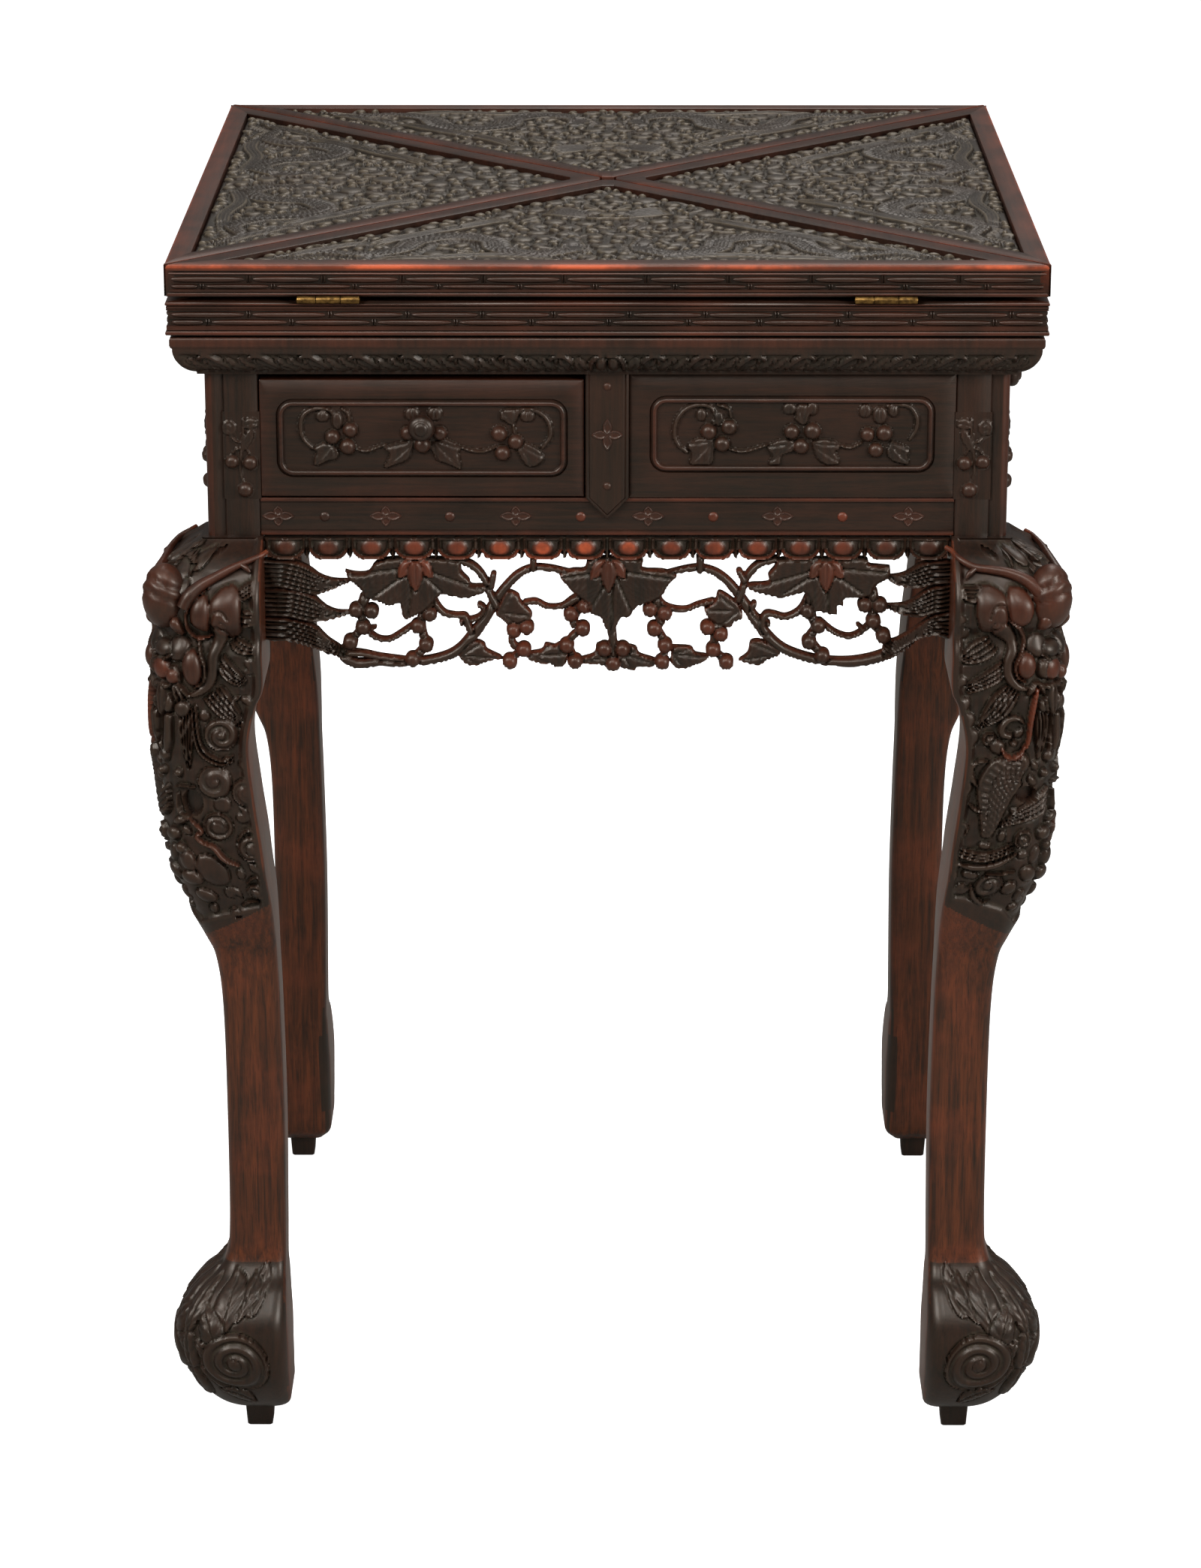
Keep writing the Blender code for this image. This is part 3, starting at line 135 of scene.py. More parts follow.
def ebonised(name, grain, carved=False, planed=False, dusty=False):
    """Ebonised hardwood: a close-grained red-brown timber stained black, shellacked and worn by hands.

    The red shows where the stain has rubbed off, and a grey-green dust lies in what is carved. Carved tops
    that stand proud are painted lighter, a painted highlight.
    """
    made, tree, shader = new_finish(name)
    place = add(tree, "TexCoord").outputs["Object"]
    # Grain runs long: figure about 70 mm by 3 mm, pores 14 mm by 0.8 mm, drawn coarser than the real 0.2
    figure = add(tree, "Mapping", [("Vector", place), ("Scale", [14 if a == grain else 330 for a in "xyz"])])
    pores = add(tree, "Mapping", [("Vector", place), ("Scale", [70 if a == grain else 1250 for a in "xyz"])])
    bands = add(tree, "TexNoise", [("Vector", figure.outputs[0]), ("Scale", 1.0), ("Detail", 4.0),
                                   ("Roughness", 0.6), ("Distortion", 0.6)])
    lines = add(tree, "TexNoise", [("Vector", pores.outputs[0]), ("Scale", 1.0), ("Detail", 2.0)])
    clouds = add(tree, "TexNoise", [("Vector", place), ("Scale", 22.0), ("Detail", 5.0),
                                    ("Roughness", 0.62)])
    dark, brown, warm_brown = ("26120A", "542813", "6A301B") if planed else ("110A06", "25140C", "3A1C10")
    if dusty:
        dark, brown, warm_brown = "100B08", "1C140E", "281710"
    # The first colour is a painted highlight for carved tops, brighter on dusty work; the second is the dust
    # in the cuts
    painted_highlight_brown, dust_grey = ("564C3D", "2B281F") if dusty else ("33241A", "353024")
    stain = add(tree, "MapRange", [("Value", bands.outputs["Fac"]), ("From Min", 0.36), ("From Max", 0.68)])
    tone = add(tree, "Mix", [("Factor", stain.outputs[0]), (6, linear(dark)), (7, linear(brown))],
               data_type="RGBA")
    warm = add(tree, "MapRange", [("Value", clouds.outputs["Fac"]), ("From Min", 0.46), ("From Max", 0.78),
                                  ("To Max", 0.40 if not planed else 0.65)])
    tone = add(tree, "Mix", [("Factor", warm.outputs[0]), (6, tone.outputs[2]), (7, linear(warm_brown))],
               data_type="RGBA")
    fleck = add(tree, "MapRange", [("Value", lines.outputs["Fac"]), ("From Min", 0.30), ("From Max", 0.46),
                                   ("To Min", 0.55), ("To Max", 0.0)])
    tone = add(tree, "Mix", [("Factor", fleck.outputs[0]), (6, tone.outputs[2]), (7, linear("0C0806"))],
               data_type="RGBA")
    rough = add(tree, "MapRange", [("Value", clouds.outputs["Fac"]), ("To Min", 0.34),
                                   ("To Max", 0.50)])
    rough_out, height = rough.outputs[0], lines.outputs["Fac"]
    rubbed = add(tree, "Attribute", attribute_name="rubbed")
    if carved:
        proud = add(tree, "Attribute", attribute_name="proud")
        # Points that stand proud of the work round them are painted lighter: a painted highlight on the
        # carving's tops
        painted_highlight = add(tree, "MapRange", [("Value", proud.outputs["Fac"]), ("From Min", 0.55), ("From Max", 0.95),
                                     ("To Max", 0.55)])
        tone = add(tree, "Mix", [("Factor", painted_highlight.outputs[0]), (6, tone.outputs[2]), (7, linear(painted_highlight_brown))],
                   data_type="RGBA")
        # Dust lies in the cuts, in specks about 3 mm across
        specks = add(tree, "TexNoise", [("Vector", place), ("Scale", 330.0), ("Detail", 3.0)])
        deep = add(tree, "MapRange", [("Value", proud.outputs["Fac"]), ("From Min", 0.46),
                                      ("From Max", 0.10)])
        patch = add(tree, "MapRange", [("Value", specks.outputs["Fac"]), ("From Min", 0.30),
                                       ("From Max", 0.62), ("To Min", 0.35), ("To Max", 1.0)])
        dust = add(tree, "Math", [(0, deep.outputs[0]), (1, patch.outputs[0])], operation="MULTIPLY")
        dust = add(tree, "Math", [(0, dust.outputs[0]), (1, 0.55 if not dusty else 0.80)],
                   operation="MULTIPLY")
        tone = add(tree, "Mix", [("Factor", dust.outputs[0]), (6, tone.outputs[2]), (7, linear(dust_grey))],
                   data_type="RGBA")
        rough = add(tree, "Mix", [("Factor", deep.outputs[0]), ("A", rough.outputs[0]), ("B", 0.68)],
                    data_type="FLOAT")
        rough_out, height = rough.outputs[0], specks.outputs["Fac"]
    # Red wood bared by wear, broken up so that it isn't a painted stripe
    broken = add(tree, "MapRange", [("Value", clouds.outputs["Fac"]), ("From Min", 0.34), ("From Max", 0.60),
                                    ("To Min", 0.35), ("To Max", 1.0)])
    wear = add(tree, "Math", [(0, rubbed.outputs["Fac"]), (1, broken.outputs[0])], operation="MULTIPLY")
    bare = add(tree, "Mix", [("Factor", bands.outputs["Fac"]), (6, linear("5A2214")), (7, linear("8E3E22"))],
               data_type="RGBA")
    # Most worn of all, the wood is a clear orange red
    clear = add(tree, "MapRange", [("Value", wear.outputs[0]), ("From Min", 0.60), ("From Max", 1.0)])
    bare = add(tree, "Mix", [("Factor", clear.outputs[0]), (6, bare.outputs[2]), (7, linear("B24E2C"))],
               data_type="RGBA")
    tone = add(tree, "Mix", [("Factor", wear.outputs[0]), (6, tone.outputs[2]), (7, bare.outputs[2])],
               data_type="RGBA")
    relief = add(tree, "Bump", [("Height", height), ("Strength", 0.22 if carved else 0.16),
                                ("Distance", 0.0004)])
    tree.links.new(tone.outputs[2], shader.inputs["Base Color"])
    tree.links.new(rough_out, shader.inputs["Roughness"])
    tree.links.new(relief.outputs[0], shader.inputs["Normal"])
    # The flat rails of the top are handled and dusted most, so they shine least
    gloss, coat = (1.45, 0.12) if not dusty else (1.42, 0.06) if carved else (1.34, 0.0)
    shader.inputs["IOR"].default_value = gloss
    shader.inputs["Specular Tint"].default_value = (1.0, 0.87, 0.74, 1.0)
    shader.inputs["Coat Weight"].default_value = coat
    shader.inputs["Coat Roughness"].default_value = 0.26
    return made


def plain_hardwood():
    """Unstained inside wood, sawn and planed: dull, with long grain and dark pores."""
    made, tree, shader = new_finish("planed_inside_hardwood")
    place = add(tree, "TexCoord").outputs["Object"]
    along = add(tree, "Mapping", [("Vector", place), ("Scale", (14, 240, 240))])
    bands = add(tree, "TexNoise", [("Vector", along.outputs[0]), ("Scale", 1.0), ("Detail", 5.0),
                                   ("Distortion", 0.8)])
    pores = add(tree, "TexNoise", [("Vector", along.outputs[0]), ("Scale", 4.5), ("Detail", 2.0)])
    tone = add(tree, "Mix", [("Factor", bands.outputs["Fac"]), (6, linear("4E3322")), (7, linear("86603F"))],
               data_type="RGBA")
    fleck = add(tree, "MapRange", [("Value", pores.outputs["Fac"]), ("From Min", 0.3), ("From Max", 0.45),
                                   ("To Min", 0.5), ("To Max", 0.0)])
    tone = add(tree, "Mix", [("Factor", fleck.outputs[0]), (6, tone.outputs[2]), (7, linear("33200F"))],
               data_type="RGBA")
    relief = add(tree, "Bump", [("Height", pores.outputs["Fac"]), ("Strength", 0.2), ("Distance", 0.0004)])
    tree.links.new(tone.outputs[2], shader.inputs["Base Color"])
    tree.links.new(relief.outputs[0], shader.inputs["Normal"])
    shader.inputs["Roughness"].default_value = 0.62
    return made


def metal(name, bright, dull, roughness):
    """Cast and filed metal that has tarnished: bright where it is handled, dull and spotted elsewhere."""
    made, tree, shader = new_finish(name)
    place = add(tree, "TexCoord").outputs["Object"]
    spots = add(tree, "TexNoise", [("Vector", place), ("Scale", 260.0), ("Detail", 5.0),
                                   ("Roughness", 0.65)])
    files = add(tree, "Mapping", [("Vector", place), ("Scale", (160, 2400, 2400))])
    marks = add(tree, "TexNoise", [("Vector", files.outputs[0]), ("Scale", 1.0), ("Detail", 2.0)])
    spread = add(tree, "MapRange", [("Value", spots.outputs["Fac"]), ("From Min", 0.38), ("From Max", 0.62)])
    tone = add(tree, "Mix", [("Factor", spread.outputs[0]), (6, linear(bright)), (7, linear(dull))],
               data_type="RGBA")
    rough = add(tree, "MapRange", [("Value", spots.outputs["Fac"]), ("To Min", roughness - 0.10),
                                   ("To Max", roughness + 0.22)])
    relief = add(tree, "Bump", [("Height", marks.outputs["Fac"]), ("Strength", 0.25), ("Distance", 0.0002)])
    tree.links.new(tone.outputs[2], shader.inputs["Base Color"])
    tree.links.new(rough.outputs[0], shader.inputs["Roughness"])
    tree.links.new(relief.outputs[0], shader.inputs["Normal"])
    shader.inputs["Metallic"].default_value = 1.0
    return made


def green_baize():
    """Felted wool baize: a soft nap with no shine, faded in patches."""
    made, tree, shader = new_finish("felted_wool_baize")
    place = add(tree, "TexCoord").outputs["Object"]
    # The nap's tufts are about 1.5 mm, drawn coarser than the real fibres
    nap = add(tree, "TexNoise", [("Vector", place), ("Scale", 650.0), ("Detail", 4.0), ("Roughness", 0.7)])
    fade = add(tree, "TexNoise", [("Vector", place), ("Scale", 9.0), ("Detail", 4.0)])
    tone = add(tree, "Mix", [("Factor", fade.outputs["Fac"]), (6, linear("27452C")), (7, linear("3E5E3A"))],
               data_type="RGBA")
    shade = add(tree, "MapRange", [("Value", nap.outputs["Fac"]), ("To Min", 0.4), ("To Max", 0.0)])
    tone = add(tree, "Mix", [("Factor", shade.outputs[0]), (6, tone.outputs[2]), (7, linear("16281A"))],
               data_type="RGBA")
    relief = add(tree, "Bump", [("Height", nap.outputs["Fac"]), ("Strength", 0.5), ("Distance", 0.0006)])
    tree.links.new(tone.outputs[2], shader.inputs["Base Color"])
    tree.links.new(relief.outputs[0], shader.inputs["Normal"])
    shader.inputs["Roughness"].default_value = 0.95
    shader.inputs["Sheen Weight"].default_value = 0.35
    shader.inputs["Sheen Roughness"].default_value = 0.6
    return made


def waxed_leather():
    """Waxed hide: a fine pebbled grain, darker where it has been pressed."""
    made, tree, shader = new_finish("waxed_hide")
    place = add(tree, "TexCoord").outputs["Object"]
    pebble = add(tree, "TexVoronoi", [("Vector", place), ("Scale", 900.0)])
    stain = add(tree, "TexNoise", [("Vector", place), ("Scale", 60.0), ("Detail", 4.0)])
    tone = add(tree, "Mix", [("Factor", stain.outputs["Fac"]), (6, linear("3E281A")), (7, linear("6B4A32"))],
               data_type="RGBA")
    relief = add(tree, "Bump", [("Height", pebble.outputs["Distance"]), ("Strength", 0.3),
                                ("Distance", 0.0003)])
    tree.links.new(tone.outputs[2], shader.inputs["Base Color"])
    tree.links.new(relief.outputs[0], shader.inputs["Normal"])
    shader.inputs["Roughness"].default_value = 0.7
    return made


CARVED = ebonised("ebonised_carved_hardwood", "z", carved=True)
CARVED_TOP = ebonised("ebonised_carved_panel", "x", carved=True, dusty=True)
EBONY = {axis: ebonised("ebonised_hardwood_along_" + axis, axis) for axis in "xyz"}
TOP_RAIL = {axis: ebonised("ebonised_top_rail_along_" + axis, axis, dusty=True) for axis in "xy"}
RUBBED = {axis: ebonised("rubbed_hardwood_along_" + axis, axis, planed=True) for axis in "xyz"}
INSIDE = plain_hardwood()
BRASS = metal("tarnished_cast_brass", "8A6A3A", "4E3A20", 0.36)
STEEL = metal("dull_turned_steel", "7A7873", "4A4845", 0.46)
BAIZE = green_baize()
LEATHER = waxed_leather()


# Carver's tools

def smooth(points, steps=6):
    """A curve through points, with as many steps to each span."""
    line = np.asarray(points, float)
    line = np.vstack((2 * line[0] - line[1], line, 2 * line[-1] - line[-2]))
    part = np.linspace(0, 1, steps, endpoint=False)[:, None]
    spans = []
    for a, b, c, d in zip(line, line[1:], line[2:], line[3:]):
        spans.append(0.5 * (2 * b + (c - a) * part + (2 * a - 5 * b + 4 * c - d) * part ** 2
                            + (3 * b - a - 3 * c + d) * part ** 3))
    return np.vstack(spans + [line[-2:-1]])


def resample(points, count):
    """The same line cut into equal steps."""
    line = np.asarray(points, float)
    run = np.concatenate(([0], np.cumsum(np.linalg.norm(np.diff(line, axis=0), axis=1))))
    spots = np.linspace(0, run[-1], count)
    return np.stack([np.interp(spots, run, line[:, axis]) for axis in range(line.shape[1])], 1)


def quads(rows, columns):
    """The faces of a skin of points whose last column joins its first."""
    row, column = np.mgrid[0:rows - 1, 0:columns]
    after = (column + 1) % columns
    corners = (row * columns + column, row * columns + after,
               (row + 1) * columns + after, (row + 1) * columns + column)
    return np.stack(corners, -1).reshape(-1, 4)


def blur(field, reach):
    """The mean of a field over a square patch."""
    for axis in (0, 1):
        edges = [(reach + 1, reach) if axis == other else (0, 0) for other in (0, 1)]
        total = np.cumsum(np.pad(field, edges, mode="edge"), axis)
        wide = 2 * reach + 1
        size = field.shape[axis]
        ahead = np.take(total, np.arange(wide, wide + size), axis)
        field = (ahead - np.take(total, np.arange(size), axis)) / wide
    return field


def to_line(line, x, y):
    """How far points are from a line, how far along it they lie, and on which side."""
    best = np.full(x.shape, 1e9)
    along = np.zeros(x.shape)
    side = np.zeros(x.shape)
    run = 0.0
    for (ax, ay), (bx, by) in zip(line, line[1:]):
        dx, dy = bx - ax, by - ay
        length = max(math.hypot(dx, dy), 1e-9)
        part = np.clip(((x - ax) * dx + (y - ay) * dy) / length ** 2, 0, 1)
        off_x, off_y = x - ax - part * dx, y - ay - part * dy
        far = np.hypot(off_x, off_y)
        closer = far < best
        best = np.where(closer, far, best)
        along = np.where(closer, run + part * length, along)
        side = np.where(closer, np.sign(dx * off_y - dy * off_x), side)
        run += length
    return best, along, side, run


# How wide the cut is that sets a shape off from its ground, in millimetres
CUT_WIDTH = 1.3


class Ground:
    """A carved surface in millimetres: u runs across it, v up it, and height stands out of it."""

    def __init__(self, u, v, level=0.0):
        self.u, self.v = u, v
        self.height = np.full(u.shape, float(level))
        self.rubbed = np.zeros(u.shape)
        self.taken = np.zeros(u.shape, bool)
        self.edge = np.full(u.shape, 1e3)
        self.net = np.zeros(u.shape, bool)

    def near(self, low, high):
        """The points within a box."""
        return np.nonzero((self.u > low[0]) & (self.u < high[0]) & (self.v > low[1]) & (self.v < high[1]))

    def lay(self, pick, outside, top, cut, rub=None, over=True):
        """Lay a shape on the surface where outside is below nought, with a cut line round it."""
        held = self.height[pick]
        ring = np.clip(1 - outside / CUT_WIDTH, 0, 1)
        raised = np.where(outside > 0, held - cut * ring ** 1.5, top if over else np.maximum(held, top))
        self.height[pick] = np.where(outside < CUT_WIDTH, raised, held)
        self.taken[pick] |= outside < 0.4
        self.edge[pick] = np.minimum(self.edge[pick], outside)
        if rub is not None:
            self.rubbed[pick] = np.where(outside <= 0, rub, self.rubbed[pick])

    def mound(self, centre, radii, level, high, angle=0.0, cut=0.9, rub=None, over=True):
        """A rounded boss: a bean, a pearl or a swelling."""
        wide = max(radii) + 2
        pick = self.near((centre[0] - wide, centre[1] - wide), (centre[0] + wide, centre[1] + wide))
        x, y = self.u[pick] - centre[0], self.v[pick] - centre[1]
        c, s = math.cos(angle), math.sin(angle)
        reach = np.hypot((x * c + y * s) / radii[0], (y * c - x * s) / radii[1])
        top = level + high * np.clip(1 - reach ** 2, 0, 1) ** 0.5
        self.lay(pick, (reach - 1) * min(radii), top, cut, rub=rub, over=over)

    def stroke(self, points, widths, level, high, cut=0.7, rub=None, curved=True):
        """A rounded strand along a line; widths are its half widths from start to end."""
        line = smooth(points, 5) if curved else np.asarray(points, float)
        wide = max(widths) + 1.6
        pick = self.near(line.min(0) - wide, line.max(0) + wide)
        if not len(pick[0]):
            return
        far, along, _, run = to_line(line, self.u[pick], self.v[pick])
        half = np.interp(along / run, np.linspace(0, 1, len(widths)), widths)
        reach = far / np.maximum(half, 0.05)
        top = level + high * np.clip(1 - reach ** 2, 0, 1) ** 0.5 * np.clip(half / max(widths), 0.25, 1)
        self.lay(pick, far - half, top, cut, rub=rub)

    def leaf(self, outline, base, tips, level, high, cut=1.3, swell=6.0):
        """A leaf with a drawn outline: rounded off at its edge, and creased along a vein to each tip."""
        line = smooth([*outline, outline[0]], 3)
        pick = self.near(line.min(0) - 2, line.max(0) + 2)
        x, y = self.u[pick], self.v[pick]
        far = to_line(line, x, y)[0]
        inside = np.zeros(x.shape, bool)
        for (ax, ay), (bx, by) in zip(line, line[1:]):
            crosses = (ay > y) != (by > y)
            inside ^= crosses & (x < (bx - ax) * (y - ay) / (by - ay + 1e-12) + ax)
        outside = np.where(inside, -far, far)
        top = 0.45 + 0.55 * np.clip(far / 2.2, 0, 1) ** 0.6
        if base:
            off, ribs = np.full(x.shape, 1e9), np.zeros(x.shape)
            for tip in tips:
                gap, along, _, _ = to_line((base, tip), x, y)
                nearer = gap < off
                off = np.where(nearer, gap, off)
                ribs = np.where(nearer, np.cos((along - gap * 1.3) / 4.6 * 2 * math.pi), ribs)
            top = top * (0.66 + 0.34 * np.clip(off / swell, 0, 1) ** 0.8) - 0.20 * np.exp(-(off / 0.7) ** 2)
            top += 0.045 * ribs * np.clip(off / 2, 0, 1) - 0.12 * np.exp(-(np.abs(off - swell) / 2.0) ** 2)
        self.lay(pick, outside, level + high * top, cut)

    def cut_out(self, made, back, held=False):
        """Add the work to a piece, cut off at its outline: front, walls and a flat back.

        Held work is one board, so whatever doesn't reach its top row falls away.
        """
        edge = self.edge
        cells = edge[:-1, :-1] + edge[:-1, 1:] + edge[1:, :-1] + edge[1:, 1:] < 0
        if held:
            kept = np.zeros_like(cells)
            kept[-1] = cells[-1]
            count = -1
            while kept.sum() != count:
                count = kept.sum()
                for _ in range(8):
                    kept[:-1] |= kept[1:]
                    kept[1:] |= kept[:-1]
                    kept[:, 1:] |= kept[:, :-1]
                    kept[:, :-1] |= kept[:, 1:]
                    kept &= cells
            cells = kept
        for _ in range(6):
            a, b, c, d = cells[:-1, :-1], cells[:-1, 1:], cells[1:, :-1], cells[1:, 1:]
            cells[:-1, 1:] |= a & d & ~b & ~c
            cells[:-1, :-1] |= b & c & ~a & ~d
        wide = np.pad(cells, 1)
        around = np.stack((wide[:-1, :-1], wide[:-1, 1:], wide[1:, :-1], wide[1:, 1:]))
        used, whole = around.any(0), around.all(0)
        step = self.u[0, 1] - self.u[0, 0]
        slope_v, slope_u = np.gradient(np.clip(edge, -4, 4), step)
        steep = np.maximum(slope_u ** 2 + slope_v ** 2, 0.2)
        move = np.where(used & ~whole & (np.abs(edge) < 1.6 * step), -edge / steep, 0)
        limit = 0.8 * step
        u = self.u + np.clip(move * slope_u, -limit, limit)
        v = self.v + np.clip(move * slope_v, -limit, limit)
        number = np.full(used.shape, -1)
        number[used] = np.arange(used.sum())
        count = int(used.sum())
        a, b, c, d = number[:-1, :-1], number[:-1, 1:], number[1:, 1:], number[1:, :-1]
        faces = np.stack((a, b, c, d), -1)[cells]
        walls = []
        for start, end, beyond in ((a, b, wide[:-2, 1:-1]), (b, c, wide[1:-1, 2:]),
                                   (c, d, wide[2:, 1:-1]), (d, a, wide[1:-1, :-2])):
            side = cells & ~beyond
            walls.append(np.stack((end[side], start[side], start[side] + count, end[side] + count), -1))
        faces = np.vstack([faces, faces[:, ::-1] + count] + walls)
        front = np.stack((u, v, self.height), -1)[used]
        behind = front.copy()
        behind[:, 2] = back
        shade = self.proud(2, 1.2)[used]
        made.add(np.vstack((front, behind)), faces, np.concatenate((shade, np.full(count, 0.35))),
                 np.concatenate((self.rubbed[used], np.zeros(count))))

    def groove(self, points, wide, deep, steps=5):
        """A cut along a line."""
        line = smooth(points, steps)
        pick = self.near(line.min(0) - wide - 1, line.max(0) + wide + 1)
        far = to_line(line, self.u[pick], self.v[pick])[0]
        self.height[pick] -= deep * np.exp(-(far / wide) ** 2)

    def strands(self, first, last, count, level, high, fill=0.62, cut=0.8, tip=0.15):
        """Locks of hair, flame or feather that run side by side between two lines."""
        first, last = resample(smooth(first), 14), resample(smooth(last), 14)
        gap = np.linalg.norm(last - first, axis=1).max() / count
        for index in range(count):
            part = (index + 0.5) / count
            line = first * (1 - part) + last * part
            local = np.linalg.norm(last - first, axis=1) / count
            widths = np.maximum(local * fill, gap * tip)
            widths = widths * np.interp(np.linspace(0, 1, 14), (0, 0.15, 0.8, 1), (0.55, 1, 0.9, 0.3))
            self.stroke(line, widths, level, high, cut, curved=False)

    def spiral(self, centre, radius, turns, hand, start, level, high, cut, eye):
        """A scroll: a disc with a groove that winds in to a round eye."""
        wide = radius + 2
        pick = self.near((centre[0] - wide, centre[1] - wide), (centre[0] + wide, centre[1] + wide))
        x, y = self.u[pick] - centre[0], self.v[pick] - centre[1]
        far = np.hypot(x, y)
        angle = np.arctan2(y, x)
        pitch = radius * (1 - eye) / turns
        phase = far / pitch - hand * (angle - start) / (2 * math.pi)
        gap = np.abs(phase - np.round(phase)) * pitch
        top = level + high * (0.55 + 0.45 * np.sqrt(np.clip(1 - (far / radius) ** 2, 0, 1)))
        top = top - high * 0.62 * np.exp(-(gap / (pitch * 0.24)) ** 2) * (far > radius * eye)
        bead = np.sqrt(np.clip(1 - (far / (radius * eye)) ** 2, 0, 1))
        top = np.where(far < radius * eye, level + high * (0.55 + 0.65 * bead), top)
        self.lay(pick, far - radius, top, cut)

    def cloud(self, centre, radius, angle, hand, level, high):
        """A comma cloud: a round head that narrows to a tail curling away, with a line cut along it."""
        turn = np.linspace(0, 1, 8)
        swing = angle + hand * 2.2 * turn
        reach = radius * (0.05 + 1.15 * turn)
        line = np.column_stack((centre[0] + reach * np.cos(swing), centre[1] + reach * np.sin(swing)))
        self.stroke(line, [radius * wide for wide in (0.60, 0.66, 0.52, 0.32, 0.10)], level, high, cut=1.1,
                    curved=False)
        self.groove(line[1:6] * 0.86 + np.array(centre) * 0.14, 0.5, 0.45, steps=2)

    def scales(self, spine, widths, pitch, level, high, cut, hand=1):
        """A dragon's body: net scales along its back, plates along its belly, and a rim at each edge."""
        line = smooth(spine, 8)
        wide = max(widths) + 2
        pick = self.near(line.min(0) - wide, line.max(0) + wide)
        far, along, side, run = to_line(line, self.u[pick], self.v[pick])
        half = np.interp(along / run, np.linspace(0, 1, len(widths)), widths)
        reach = side * hand * far / np.maximum(half, 0.1)
        beat = math.pi / pitch
        net = np.abs(np.cos((along + side * far) * beat) * np.cos((along - side * far) * beat))
        plates = np.cos(along * 2 * beat * 1.15)
        relief = np.where(reach > 0.34, 0.6 * plates, 1.6 * (net - 0.45)) * (np.abs(reach) < 0.80)
        top = level + high * np.sqrt(np.clip(1 - reach ** 2, 0, 1)) + relief
        top += 0.75 * np.exp(-((np.abs(reach) - 0.90) / 0.08) ** 2)
        top -= 0.7 * np.exp(-((reach - 0.34) / 0.06) ** 2)
        self.lay(pick, far - half, top, cut)
        self.net[pick] |= far < half * 0.82

    def comb(self, spine, offset, length, count, level, high, lean):
        """A comb fin: short teeth along one side of a spine."""
        line = resample(smooth(spine, 8), count + 2)
        for index in range(1, count + 1):
            along = line[index + 1] - line[index - 1]
            along /= max(np.linalg.norm(along), 1e-9)
            across = np.array([-along[1], along[0]])
            root = line[index] + across * offset
            tip = root + across * length + along * lean * abs(length)
            self.stroke([root, (root + tip) / 2, tip], (1.0, 0.9, 0.3), level, high, 0.5, curved=False)

    def blade(self, base, tip, wide, level, high, bend=0.0, veins=0, cut=1.0, rub=None, crease=0.6):
        """A leaf with a creased midrib and side veins."""
        base, tip = np.array(base, float), np.array(tip, float)
        length = np.linalg.norm(tip - base)
        along = (tip - base) / length
        across = np.array([-along[1], along[0]])
        pad = wide + abs(bend) + 2
        pick = self.near(np.minimum(base, tip) - pad, np.maximum(base, tip) + pad)
        x, y = self.u[pick] - base[0], self.v[pick] - base[1]
        run = (x * along[0] + y * along[1]) / length
        bow = np.clip(run, 0, 1)
        off = x * across[0] + y * across[1] - 4 * bend * bow * (1 - bow)
        half = wide * np.sin(math.pi * np.clip(bow, 0, 1) ** 0.75) ** 0.8 + 0.05
        reach = np.abs(off) / half
        outside = np.maximum(np.abs(off) - half, np.maximum(-run, run - 1) * length)
        top = level + high * np.clip(1 - reach ** 2, 0, 1) ** 0.6 - crease * high * np.exp(-(off / 0.7) ** 2)
        if veins:
            lines = np.abs(((run * veins - np.abs(off) / wide * 0.8) % 1) - 0.5) * 2
            top -= 0.22 * high * np.exp(-(lines / 0.35) ** 2) * (reach > 0.12)
        self.lay(pick, outside, top, cut, rub=rub)

    def hole(self, centre, radii, deep):
        """A pit bored or undercut into the work."""
        self.mound(centre, radii, -deep, 0.0, cut=0.2)

    def fill(self, seed, sizes, level, high):
        """Crowd what is left with clouds, beans and pearls, the largest first."""
        dice = np.random.default_rng(seed)
        open_u, open_v = self.u[~self.taken], self.v[~self.taken]
        for radius, tries in sizes:
            for _ in range(tries):
                pick = dice.integers(len(open_u))
                spot = np.array((open_u[pick], open_v[pick]))
                close = self.near(spot - radius * 0.92, spot + radius * 0.92)
                if self.taken[close].any():
                    continue
                turn = dice.uniform(0, 2 * math.pi)
                lift = level + dice.uniform(-0.25, 0.25)
                # The first of this pair is left unread: it keeps the later draws where they fall
                _, kind = dice.uniform(size=2)
                if radius > 4.0 and kind < 0.8:
                    self.cloud(spot, radius, turn, dice.choice((-1, 1)), lift, high)
                elif kind < 0.85:
                    self.mound(spot, (radius * 1.15, radius * 0.72), lift, high, turn, cut=1.1)
                else:
                    self.mound(spot, (radius, radius), lift, high)

    def proud(self, reach, span):
        """How far each point stands above the work round it, from 0, deep in a cut, to 1."""
        rise = self.height - blur(self.height, reach)
        return np.clip(0.5 + rise / (2 * span), 0, 1)


